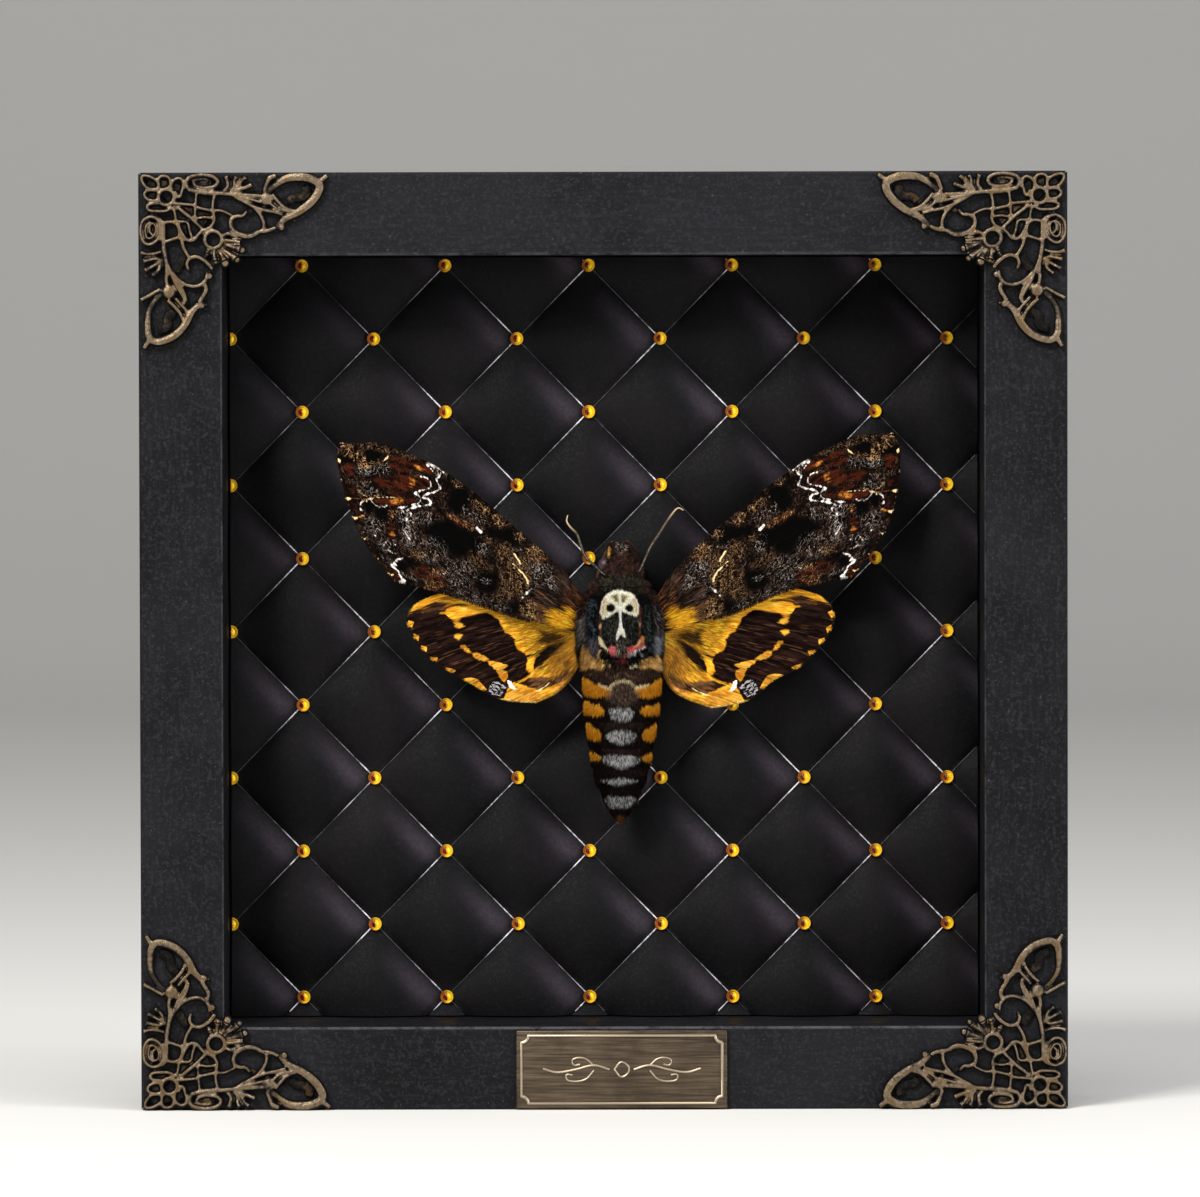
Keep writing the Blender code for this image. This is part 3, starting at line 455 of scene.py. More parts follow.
def amber():
    """Glossy amber dome: dark red on one side and clear yellow on the other as painted shade and light, with
    a painted highlight at its tip.
    """
    f = Finish("amber", 0.3, Specular_IOR_Level=0.2)
    across = f.kept("across", "Fac")
    rise = f.kept("rise", "Fac")
    streaks = f.noise(f.place(), 2600, 2.0, 0.6)
    painted_light_side = f.plus(across, f.times(f.minus(streaks, 0.5), 0.5))
    # Painted shade on one side of the dome, painted light on the other.
    base = f.ramp(streaks, 0.4, 0.6, "2e0802", "6e2406")
    base = f.over(base, f.step(painted_light_side, -0.06, 0.08), "e09a08")
    base = f.over(base, f.step(painted_light_side, 0.1, 0.32), "ffde1c")
    # Painted highlight at the dome's tip.
    base = f.over(base, f.step(rise, 0.9, 0.96), "ffc838")
    return f.finish(base)


def gilt():
    """Gilded rim of a button, dark orange on one side and yellow on the other as painted shade and light."""
    f = Finish("gilt", 0.4, 0.3, Specular_IOR_Level=0.3)
    wear = f.noise(f.place(), 1500, 2.0, 0.5)
    # Painted shade on one side of the rim, painted light on the other.
    base = f.blend(f.step(f.kept("across", "Fac"), -0.6, 0.3), paint("8e4a08"), paint("f0bc1c"))
    return f.finish(f.blend(f.step(wear, 0.55, 0.7, 0.0, 0.4), base, paint("b87a10")))


def bronze():
    """Antique bronze: dark patina in the recesses, rubbed warm and pale on the ridges, with painted shade on
    flanks turned from the front and painted highlight on faces turned to it.
    """
    f = Finish("bronze", 0.38, 0.8)
    place = f.place()
    out = f.minus(FRONT, f.axis(place, 1))
    cloud = f.noise(place, 260, 4.0, 0.6)
    pits = f.noise(place, 1300, 3.0, 0.65)
    wear_and_painted_light = f.plus(f.step(out, 0.5 * MM, 1.5 * MM, kind="LINEAR"),
                f.times(f.minus(cloud, 0.55), 1.0))
    wear_and_painted_light = f.plus(wear_and_painted_light, f.times(f.minus(pits, 0.5), 0.8))
    # Painted light: faces turned to the front are lit, flanks turned away are darkened as painted shade.
    painted_light_facing = f.times(f.axis(f.node("ShaderNodeNewGeometry").outputs["Normal"], 1), -1.0)
    wear_and_painted_light = f.times(wear_and_painted_light, f.step(painted_light_facing, 0.74, 0.995, 0.0, 1.1))
    base = f.ramp(wear_and_painted_light, 0.2, 0.66, "070504", "2b231c")
    base = f.over(base, f.step(wear_and_painted_light, 0.64, 1.08), "7c6b56")
    gold = f.times(f.step(cloud, 0.52, 0.62, 0.0, 0.55), f.step(wear_and_painted_light, 0.3, 0.7))
    base = f.over(base, gold, "56401c")
    f.bump(pits, 0.00022, 0.8)
    return f.finish(base, f.step(wear_and_painted_light, 0.1, 0.9, 0.6, 0.4))


def plate_brass():
    """Antique brushed brass: a brown field and worn, paler raised lines."""
    f = Finish("plate_brass", 0.45, 0.8, Specular_IOR_Level=0.3)
    place = f.place()
    out = f.minus(FRONT, f.axis(place, 1))
    brushed = f.noise(f.stretch(place, (90, 2500, 2500)), 1.0, 4.0, 0.65)
    cloud = f.noise(place, 130, 3.0, 0.6)
    base = f.ramp(brushed, 0.3, 0.75, "3c3128", "6b5c4b")
    base = f.over(base, f.step(cloud, 0.4, 0.75, 0.0, 0.6), "281f18")
    base = f.over(base, f.step(out, 1.15 * MM, 1.5 * MM, 0.0, 0.85), "b3a48c")
    f.bump(brushed, 0.00006, 0.5)
    return f.finish(base, f.step(brushed, 0.3, 0.8, 0.36, 0.5))


def pin_steel():
    """Plain drawn steel."""
    f = Finish("pin_steel", 0.28, 1.0)
    drawn = f.noise(f.stretch(f.place(), (3000, 80, 3000)), 1.0, 3.0, 0.6)
    return f.finish(f.ramp(drawn, 0.3, 0.7, "8c8c8c", "c4c4c4"))


# The quilted pad

def quilt_place(s, t):
    """Where a seam crossing lies, counted along the two ways of the seams."""
    return BUTTON_X0 + COLUMN_STEP * (s + t + 1), BUTTON_Z0 - ROW_STEP * (s - t)


def crossings():
    """Every button's place inside the opening."""
    made = []
    for row in range(BUTTON_ROWS):
        for column in range(BUTTON_COLUMNS):
            if (row + column) % 2 == 1:
                made.append((BUTTON_X0 + column * COLUMN_STEP, BUTTON_Z0 - row * ROW_STEP))
    return made


def puff(s, t):
    """Height of the pad over its seams."""
    swell = np.abs(np.sin(math.pi * s)) * np.abs(np.sin(math.pi * t))
    return PUFF_HEIGHT * swell**0.7


def make_pad():
    """The padded cover: a grid laid along the seams, puffed between them and cut to the opening."""
    count = PAD_CELLS * PAD_STEPS
    pad = add_grid("quilted_pad", count, count)
    places = points_of(pad)
    s = PAD_FIRST_S + (places[:, 0] + 0.5) * PAD_CELLS
    t = PAD_FIRST_T + (places[:, 1] + 0.5) * PAD_CELLS
    x, z = quilt_place(s, t)
    move_points(pad, np.stack([x, SEAM - puff(s, t), z], 1))
    half_x = OPENING_X - TRIM_GAP
    half_z = OPENING_Z - TRIM_GAP
    cuts = [((half_x, 0, 0), (1, 0, 0)), ((-half_x, 0, 0), (-1, 0, 0)),
            ((0, 0, BOX_MIDDLE + half_z), (0, 0, 1)), ((0, 0, BOX_MIDDLE - half_z), (0, 0, -1))]
    for middle, way in cuts:
        edit(pad, lambda: bpy.ops.mesh.bisect(plane_co=middle, plane_no=way, clear_outer=True))
    face_towards_viewer(pad)
    places = points_of(pad)
    across = (places[:, 0] - BUTTON_X0) / COLUMN_STEP
    down = (BUTTON_Z0 - places[:, 2]) / ROW_STEP
    s, t = (across + down - 1) / 2 % 1.0, (across - down - 1) / 2 % 1.0
    # Painted sheen on each puff, beside its upper right seam and at its right corner, dimmed towards the
    # opening's top left corner as painted shadow.
    beside = np.exp(-(((t - 0.86) / 0.09) ** 2)) * np.clip((s - 0.2) / 0.6, 0, 1) * np.clip((1 - s) / 0.1, 0,
        1)
    corner = np.clip(s * t * 1.8 - 0.8, 0, 1) * np.clip(puff(s, t) / PUFF_HEIGHT * 2.0, 0, 1)
    painted_shadow_fade = np.clip((np.hypot(places[:, 0] + OPENING_X, places[:, 2] - BOX_MIDDLE - OPENING_Z) / MM - 15) / 60,
        0.35, 1)
    mark(pad, "painted_sheen", np.clip(0.85 * beside + 0.5 * corner, 0, 1) * painted_shadow_fade)
    close_back(pad, QUILT_HIGH.y)
    soften(pad, 60)
    show(pad, quilting(), "quilting", "quilt")
    return pad


def face_towards_viewer(item):
    """Turn an open sheet's faces towards -Y."""
    edit(item, lambda: bpy.ops.mesh.normals_make_consistent(inside=False))
    total = sum(face.normal.y * face.area for face in item.data.polygons)
    if total > 0:
        edit(item, lambda: bpy.ops.mesh.flip_normals())


def close_back(item, back):
    """Draw the rim of a sheet back to a flat and close it there."""
    hold(item)
    bpy.ops.object.mode_set(mode="EDIT")
    bpy.ops.mesh.select_mode(type="EDGE")
    bpy.ops.mesh.select_all(action="DESELECT")
    bpy.ops.mesh.select_non_manifold()
    bpy.ops.mesh.extrude_edges_move()
    bpy.ops.object.mode_set(mode="OBJECT")
    for corner in item.data.vertices:
        if corner.select:
            corner.co.y = back
    bpy.ops.object.mode_set(mode="EDIT")
    bpy.ops.mesh.edge_face_add()
    bpy.ops.mesh.select_mode(type="VERT")
    bpy.ops.object.mode_set(mode="OBJECT")


def make_seams(rng):
    """The piping in every seam, with a little waver, and the strength of its painted highlight on every
    corner.
    """
    half_x = OPENING_X - 0.6 * MM
    half_z = OPENING_Z - 0.6 * MM
    parts = []
    bright = []
    for way in (0, 1):
        for line in range(-6, 11):
            run = np.arange(-7, 11, SEAM_STEP)
            s, t = (run, np.full_like(run, line)) if way == 0 else (np.full_like(run, line), run)
            x, z = quilt_place(s, t)
            inside = (np.abs(x) < half_x) & (np.abs(z - BOX_MIDDLE) < half_z)
            if inside.sum() < 6:
                continue
            run, x, z = run[inside], x[inside], z[inside]
            near = np.abs(run - np.round(run))
            waver = np.convolve(rng.normal(0, 0.22, len(run)), np.ones(4) / 4, "same") * MM
            x = x + waver * np.clip(near * 12, 0, 1)
            z = z + waver * np.clip(near * 12, 0, 1) * (1 if way else -1)
            path = np.stack([x, np.full_like(x, SEAM - 0.12 * MM), z], 1)
            # Painted highlight: strongest just before each button, in patches, and dimmed as painted shadow
            # towards the opening's top left corner.
            ahead = 1 - run % 1.0
            fade = np.clip((np.hypot(x + OPENING_X, z - BOX_MIDDLE - OPENING_Z) / MM - 12) / 45, 0.25, 1)
            patchy = np.clip(1 + np.convolve(rng.normal(0, 0.9, len(run)), np.ones(3) / 3, "same"), 0.35, 1.3)
            painted_glow = (0.07 + 0.93 * np.clip(1.1 - 1.9 * ahead, 0, 1) ** 1.2) * patchy * fade
            radii = (0.08 + 0.09 * np.clip(painted_glow, 0, 1)) * MM
            piece = rod("seam", path, radii, 1)
            parts.append(piece)
            bright.append((path, painted_glow))
    seams = join(parts, "seam_piping")
    places = points_of(seams)
    painted_glow = np.zeros(len(places))
    best = np.full(len(places), 1.0)
    for path, value in bright:
        low, high = path.min(0) - MM, path.max(0) + MM
        near = np.nonzero(np.all((places > low) & (places < high), axis=1))[0]
        for start in range(0, len(near), 4000):
            some = near[start:start + 4000]
            gaps = np.linalg.norm(places[some, None, :] - path[None, :, :], axis=2)
            pick = gaps.argmin(1)
            gap = gaps[np.arange(len(some)), pick]
            closer = gap < best[some]
            best[some[closer]] = gap[closer]
            painted_glow[some[closer]] = value[pick[closer]]
    mark(seams, "bright", painted_glow)
    soften(seams, 80)
    return show(seams, seam_thread(), "quilting")


def button_profile(points, name):
    """A turned piece: a profile of (radius, rise) in millimetres, spun about its own axis."""
    bpy.ops.mesh.primitive_circle_add(vertices=20, radius=points[0][0] * MM, rotation=(math.pi / 2, 0, 0))
    piece = take_new(name)
    settle(piece)
    hold(piece)
    bpy.ops.object.mode_set(mode="EDIT")
    bpy.ops.mesh.select_all(action="SELECT")
    for (radius, rise), (wider, higher) in zip(points, points[1:]):
        bpy.ops.mesh.extrude_edges_move(TRANSFORM_OT_translate={"value": (0, -(higher - rise) * MM, 0)})
        share = wider / radius
        bpy.ops.transform.resize(value=(share, 1, share), center_override=(0, -higher * MM, 0))
    bpy.ops.mesh.edge_face_add()
    bpy.ops.object.mode_set(mode="OBJECT")
    return piece


def make_buttons():
    """A gilt cup with an amber dome at every crossing."""
    rim = button_profile([(1.05, -0.5), (1.4, 0.05), (1.46, 0.35), (1.36, 0.52), (1.2, 0.5), (1.12, 0.3)],
        "rim")
    dome = button_profile([(1.14, 0.25), (1.13, 0.55), (1.02, 0.82), (0.82, 1.05), (0.56, 1.2), (0.3, 1.27),
                           (0.26, 1.34), (0.16, 1.44), (0.04, 1.47)], "dome")
    places = points_of(dome)
    # From one side of a button to the other, for its painted light and shade; the dome's rise, for the
    # painted highlight at its tip.
    mark(dome, "across", places[:, 0] / BUTTON_RADIUS)
    mark(rim, "across", points_of(rim)[:, 0] / BUTTON_RADIUS)
    mark(dome, "rise", -places[:, 1] / DOME_HEIGHT)
    made = {"rim": [], "dome": []}
    for x, z in crossings():
        for key, model in (("rim", rim), ("dome", dome)):
            hold(model)
            bpy.ops.object.duplicate()
            copy = bpy.context.active_object
            copy.location = (x, SEAM, z)
            settle(copy)
            if x < -OPENING_X + 1.6 * MM:
                edit(copy, lambda: bpy.ops.mesh.bisect(plane_co=(-OPENING_X + TRIM_GAP, 0, 0),
                    plane_no=(-1, 0, 0), clear_outer=True, use_fill=True))
            made[key].append(copy)
    bpy.data.objects.remove(rim)
    bpy.data.objects.remove(dome)
    rims = join(made["rim"], "button_rims")
    domes = join(made["dome"], "button_domes")
    for item, finish in ((rims, gilt()), (domes, amber())):
        soften(item, 50)
        show(item, finish, "buttons")


# Metal trim

def stroke(points, radius, rise=1.4):
    """One line of the ornament, in millimetres (along, down) from the box's corner."""
    count = max(6, 4 * len(points))
    path = smooth_path(points, count)
    radius = np.atleast_1d(radius) * STROKE_SWELL
    radii = np.interp(np.linspace(0, 1, count), np.linspace(0, 1, len(radius)), radius)
    back = FRONT - TRIM_GAP
    line = [(-BOX_HALF + a * MM, back - r * MM, BOX_HEIGHT - d * MM) for (a, d), r in zip(path, radii)]
    bar = rod("stroke", line, radii * MM, 2)
    places = points_of(bar)
    places[:, 1] = back - (back - places[:, 1]) * rise / (2 * radii.mean())
    move_points(bar, places)
    return bar


def bead(along, down, radius, rise):
    """One round bead of the ornament."""
    back = FRONT - TRIM_GAP
    bpy.ops.mesh.primitive_uv_sphere_add(segments=14, ring_count=8, radius=radius * MM)
    ball = take_new("bead")
    ball.scale = (1.0, rise / 2 / radius, 1.0)
    ball.location = (-BOX_HALF + along * MM, back - rise / 2 * MM, BOX_HEIGHT - down * MM)
    return settle(ball)


# The ornament, in millimetres along the box and down from its corner: two rings, lines with their
# radii, beads with their radii and heights, and low fills between the lines.
RING_ONE = (5.9, 5.28)
RING_TWO = (15.99, 14.42)
STROKES = [
    ([(4.3, 3.6), (2.1, 3.4), (0.9, 2.2), (0.6, 0.9), (1.3, 0.6), (2.8, 1), (4.1, 2), (4.3, 3.4)], 0.42),
    ([(4.1, 3.8), (2.1, 3.8), (1.2, 4.5), (1.5, 5.4), (2.8, 6), (4.3, 6)], 0.42),
    ([(4.3, 6.6), (2.6, 6.7), (1.7, 7.3), (2.3, 8.1), (4.1, 8.3), (6, 8.2), (7.1, 7.4)], 0.42),
    ([(7.5, 6.6), (9.9, 6.8), (11.7, 7), (12.7, 7.5), (14.4, 7.9), (15.9, 8.2), (17.7, 8.2), (20, 9.2)],
        [0.42, 0.4, 0.42, 0.38, 0.38]),
    ([(12.4, 4.7), (12.2, 6.6), (12.1, 8.3), (12.3, 9.7), (14, 9.6), (15.9, 9.8)], 0.36),
    ([(16.3, 4.9), (15.9, 6.8), (16, 8.8), (16.2, 10.3), (15.4, 11.7), (14, 12.4)], 0.42),
    ([(8.2, 7.3), (10.1, 8.9), (11.4, 9.9), (12.7, 11.2), (13.8, 12.3)], [0.42, 0.5, 0.46, 0.42]),
    ([(7.4, 7.3), (7.8, 9), (8.2, 10.4), (10.4, 10.7), (10.9, 12.4), (11.5, 14.3)], 0.38),
    ([(8.4, 11.1), (9.3, 13.1), (10.4, 14.5), (11.8, 14.5), (12.8, 13.3), (13.9, 12.3)], 0.44),
    ([(5.3, 10.8), (7.1, 10.6), (8.3, 11.4), (8.6, 13.7), (7.3, 14.3), (5.6, 14.9)], 0.42),
    ([(9, 13.7), (9.5, 15.9), (10.2, 17.3), (10.8, 18.2)], 0.46),
    ([(4.3, 3.2), (4.2, 1.7), (4.6, 0.9), (5.6, 0.7), (6.6, 1.2), (6.8, 2.7), (6.2, 3.4)], 0.42),
    ([(7.1, 3.8), (7, 2.5), (7.9, 1.4), (9.1, 1.3), (9.6, 2.5), (9.3, 3.9), (8.6, 5.3), (7.8, 4)], 0.42),
    ([(11.2, 4), (10.2, 2.7), (10.6, 1.3), (12.3, 0.6), (14.4, 0.5), (16.2, 1), (17, 2), (16.2, 3),
        (14.2, 3.3), (12.5, 3), (11.7, 2.1), (12.2, 1.6), (13.4, 1.4), (14.8, 1.7), (14.2, 2.3),
        (13.2, 2.2)], [0.5, 0.55, 0.5, 0.4, 0.3]),
    ([(18.7, 0.7), (19, 1.7), (19.1, 3), (18.2, 4)], [0.66, 0.5, 0.46, 0.4]),
    ([(21.1, 0.8), (20.6, 1.7), (20.5, 3.2), (19.8, 4)], [0.62, 0.46, 0.42, 0.4]),
    ([(23.1, 0.9), (22, 1.9), (21.3, 3.2), (20.3, 4.1)], [0.64, 0.46, 0.46, 0.4]),
    ([(24.4, 2.6), (22.8, 3.3), (21.3, 3.7), (19.6, 4.3)], [0.6, 0.5, 0.46, 0.4]),
    ([(10.6, 3.6), (13.6, 4.3), (16.8, 4.4), (20, 4.7), (23.1, 4.9), (26.1, 5)], [0.55, 0.55, 0.5, 0.45]),
    ([(19, 4.6), (22.2, 5.4), (24.4, 5.9), (26.3, 6.4)], 0.4),
    ([(20, 4.9), (22.8, 6.4), (24.8, 7.4), (26.9, 8.1), (29.1, 8.5), (31, 9.1)], [0.4, 0.44, 0.48, 0.44]),
    ([(23.9, 6.8), (25.6, 8.4), (26.6, 10), (26.9, 11.4), (26.7, 12.4)], [0.44, 0.46, 0.48, 0.44]),
    ([(26.9, 4.2), (27.5, 2.5), (28.2, 1.2), (29.6, 0.6)], [0.5, 0.5, 0.6, 0.62]),
    (
        [(27.8, 4.2), (29.7, 2.6), (31.5, 1.4), (33.6, 1), (36, 1.1), (37.9, 1.8), (38.9, 2.9), (38.5, 4.5),
            (37.3, 6.2), (35.7, 7.6), (34, 8.7), (32.1, 9.6), (30.8, 10.6), (29.5, 11.8)],
        [0.5, 0.6, 0.8, 0.92, 0.95, 0.92, 0.9, 0.9, 0.88, 0.86, 0.8, 0.7, 0.5],
    ),
    ([(38.6, 2.2), (39.6, 1.4), (40.6, 0.7)], [0.7, 0.6, 0.55]),
    ([(28.7, 4.7), (29.7, 6), (31, 7.3), (32.3, 8), (34, 8.2)], [0.45, 0.5, 0.46, 0.36]),
    ([(28.2, 6.6), (29.7, 7.8), (31.5, 8.3), (33.2, 8.5)], [0.42, 0.42, 0.4]),
    ([(29.5, 11.8), (28.2, 12.4), (26.9, 12.7), (25.9, 12.7)], [0.5, 0.52, 0.48]),
    (
        [(23.3, 8.2), (22.4, 9.3), (21.1, 9.4), (20, 10), (19.7, 11.1), (20.3, 12.4), (21.6, 13.3),
            (23.1, 13.7), (24.6, 13.5), (25.9, 12.7)],
        [0.36, 0.46, 0.5, 0.52, 0.56, 0.6, 0.64, 0.6, 0.5],
    ),
    ([(2.4, 9.4), (0.9, 10.3), (0.3, 12), (0.5, 13.9), (1.5, 15.3), (2.8, 15.3), (4.1, 14.2), (4.6, 12.7),
        (4.5, 11.1), (3.7, 9.8), (2.4, 9.4)], 0.44),
    ([(2.6, 10.6), (1.6, 11.4), (1.4, 12.9), (1.9, 14.1), (2.9, 13.9), (3.6, 12.7), (3.5, 11.3), (2.8, 10.9),
        (2.3, 11.8), (2.4, 12.9), (2.8, 13.2)], [0.34, 0.34, 0.32, 0.3]),
    ([(3.7, 9.6), (5, 10.6), (5.3, 12.7), (5.2, 14.6), (5.4, 16.8), (5.8, 19.1), (6, 21.1), (5.8, 22.8),
        (6, 24.3)], [0.44, 0.5, 0.54, 0.5, 0.44]),
    ([(6, 19.1), (6.8, 21.4), (7.7, 23.7), (8.7, 25.4), (9.6, 27.1), (9.8, 28.3)], [0.4, 0.42, 0.4, 0.36]),
    ([(6.2, 19.8), (7.1, 21.4), (8.2, 22.8), (9.7, 23.9), (11.1, 24.4), (12.6, 24.4), (13.6, 23.9),
        (14.3, 23.1), (14.7, 22.1)], [0.42, 0.44, 0.48, 0.5, 0.5]),
    ([(8, 23.2), (9.4, 25.1), (10, 26.6), (10.2, 27.7)], 0.3),
    ([(0.3, 17.1), (1.7, 17.5), (3.4, 17.4), (4.7, 17)], [0.58, 0.44, 0.4, 0.36]),
    ([(0.9, 19.1), (2.5, 18.7), (3.9, 18.5), (5, 19.1)], [0.6, 0.46, 0.4, 0.36]),
    ([(1.2, 21.1), (2.5, 20.4), (3.7, 19.7), (4.7, 19.1)], [0.62, 0.46, 0.4, 0.36]),
    ([(2.8, 22.2), (3.8, 21.4), (4.4, 20.6), (4.7, 19.1)], [0.64, 0.46, 0.4, 0.36]),
    ([(0.3, 27.4), (1.7, 26.7), (3.1, 25.9), (4.7, 25)], [0.56, 0.48, 0.46, 0.44]),
    (
        [(5, 26), (3.3, 27.6), (2.1, 29.7), (1.8, 32), (1.9, 34.4), (2.4, 35.7), (3.5, 36.4), (5.1, 36.2),
            (7.4, 35.2), (9.1, 33.7), (10.3, 32), (11.2, 30.2), (12.3, 28.9), (13.2, 27.9)],
        [0.46, 0.5, 0.54, 0.6, 0.7, 0.78, 0.82, 0.84, 0.86, 0.86, 0.84, 0.8, 0.7, 0.6],
    ),
    ([(2, 36.1), (1.4, 37.1), (0.9, 37.8)], [0.6, 0.56, 0.54]),
    ([(6.1, 27.5), (7.4, 28.6), (8.6, 30), (9.3, 31.5), (9.2, 32.7)], [0.44, 0.5, 0.46, 0.36]),
    ([(7.8, 27), (9.1, 28.5), (10, 29.5), (10.3, 30.5)], [0.42, 0.44, 0.4]),
    ([(10.7, 21.1), (10.3, 19.7), (10.9, 18.5), (12.3, 18.1), (13.7, 18.7), (14.9, 19.7), (15.8, 20.9)],
        [0.36, 0.44, 0.5, 0.52, 0.54, 0.56, 0.5]),
    ([(14, 23.9), (14.4, 24.9), (14.1, 26), (13.4, 27.1), (12.9, 28)], [0.5, 0.56, 0.54, 0.56]),
    ([(14.6, 21.3), (14.6, 22.3), (14.2, 23.6)], 0.42),
    ([(18, 13.6), (19.2, 13.1), (20.4, 13.6), (21.4, 14.1)], [0.4, 0.5, 0.46, 0.4]),
    ([(18.1, 14.5), (19.8, 14.7), (21.9, 15)], [0.36, 0.42, 0.5]),
    ([(18, 15.2), (19.2, 15.7), (20.7, 16.2), (21.9, 16.6)], [0.38, 0.44, 0.62, 0.86]),
    ([(17.5, 15.8), (18.6, 17), (20, 17.9), (20.8, 18.6)], [0.38, 0.44, 0.6, 0.78]),
    ([(16.9, 16.3), (17.7, 17.7), (18.4, 19.1)], [0.38, 0.48, 0.8]),
    ([(16.1, 16.5), (16.2, 18), (16.4, 19)], [0.4, 0.46, 0.62]),
    ([(15.1, 16.3), (14.7, 17.1), (14.6, 17.4)], [0.42, 0.52, 0.66]),
]
BEADS = [
    ((27.4, 5.7), 1.65, 1.5), ((30.7, 11.9), 0.95, 1.3), ((33.5, 10.5), 0.4, 0.8),
    ((25.1, 13.1), 0.9, 1.3), ((23.5, 13.8), 0.75, 1.2), ((22.2, 13.5), 0.65, 1.2),
    ((6.4, 25.6), 1.7, 1.55), ((15.2, 22.3), 0.92, 1.35), ((13.4, 28.6), 1, 1.35),
    ((14.4, 28.4), 0.5, 1), ((8.9, 34.9), 0.28, 0.7), ((14.9, 29.9), 0.26, 0.6),
    ((18.5, 19.5), 1.12, 1.4), ((22.2, 16.7), 0.95, 1.35), ((21.1, 18.8), 0.85, 1.35),
    ((16.5, 19.2), 0.8, 1.2), ((14.6, 17.5), 0.75, 1.2),
]
WEBS = [
    ([(4.1, 3.2), (2.1, 1.9)], 0.9),
    ([(5.4, 3), (5.6, 1.7)], 0.8),
    ([(7.8, 3.8), (8.6, 2.5)], 0.9),
    ([(4.1, 4.7), (2.1, 4.9)], 0.6),
    ([(5, 7.5), (2.8, 7.5)], 0.6),
    ([(11.2, 2.3), (14, 1.9), (15.7, 1.9)], 1.1),
    ([(8.8, 7.7), (11.4, 9.8), (14, 11.6)], 1.9),
    ([(13.2, 8.6), (14.9, 9.8)], 1.3),
    ([(9.3, 10.7), (11, 12.9)], 1.5),
    ([(29.1, 5.8), (31.5, 7.7)], 0.9),
    ([(19.2, 3.8), (21.8, 3.2)], 0.9),
    ([(17.7, 15.2), (19.4, 16.5)], 1.3),
    ([(16.2, 16.7), (17.7, 17.6)], 1.2),
    ([(5, 11.6), (3.2, 12.2)], 0.4),
    ([(2.4, 11.8), (2.4, 13.3)], 0.9),
    ([(4.3, 18), (4.5, 20.6)], 0.5),
    ([(35.8, 3), (36.1, 4.2), (35, 5.3), (33.2, 5.5), (32.1, 6.5)], 0.8),
    ([(7.7, 30.3), (6.5, 30.6), (6, 31.8), (6.1, 32.9), (5.4, 33.6), (3.9, 33.9)], 0.8),
    ([(9.6, 18.2), (9, 19.3), (8.3, 20.3), (7.8, 21.3)], 0.8),
    ([(7.3, 28.2), (8.8, 30.1)], 0.7),
    ([(25.2, 7.9), (23.5, 8.6), (22.2, 9)], 0.5),
]


def make_ornament():
    """One pierced corner: lines drawn with round bars and beads, fused like a casting."""
    parts = [stroke(points, radius) for points, radius in STROKES]
    parts += [stroke(points, radius, 0.6) for points, radius in WEBS]
    parts += [bead(*place, radius, rise) for place, radius, rise in BEADS]
    for middle, radius, thick in ((RING_ONE, 1.7, 0.48), (RING_TWO, 1.85, 0.5)):
        turns = [math.radians(20 * k) for k in range(19)]
        ring = [(middle[0] + radius * math.cos(a), middle[1] + radius * math.sin(a)) for a in turns]
        parts.append(stroke(ring, thick))
    ornament = join(parts, "ornament_top_left")
    modify(ornament, "REMESH", mode="VOXEL", voxel_size=ORNAMENT_VOXEL)
    modify(ornament, "SMOOTH", factor=0.5, iterations=2)
    places = points_of(ornament)
    places[:, 1] = np.minimum(places[:, 1], FRONT - TRIM_GAP * 0.5)
    places[:, 0] = np.maximum(places[:, 0], -BOX_HALF + 0.1 * MM)
    places[:, 2] = np.minimum(places[:, 2], BOX_HEIGHT - 0.1 * MM)
    move_points(ornament, places)
    modify(ornament, "DECIMATE", ratio=0.4)
    return ornament


def make_corners():
    """The ornament on each corner of the box, mirrored from the first."""
    finish = bronze()
    first = make_ornament()
    for name, turn_x, turn_z in (("top_right", -1, 1), ("bottom_left", 1, -1), ("bottom_right", -1, -1)):
        hold(first)
        bpy.ops.object.duplicate()
        copy = take_new("ornament_" + name)
        edit(copy, lambda: bpy.ops.transform.resize(value=(turn_x, 1, turn_z),
            center_override=(0, 0, BOX_MIDDLE)))
        face_outwards(copy)
        soften(copy, 60)
        show(copy, finish, "bronze", "corner_" + name)
    soften(first, 60)
    show(first, finish, "bronze", "corner_top_left")


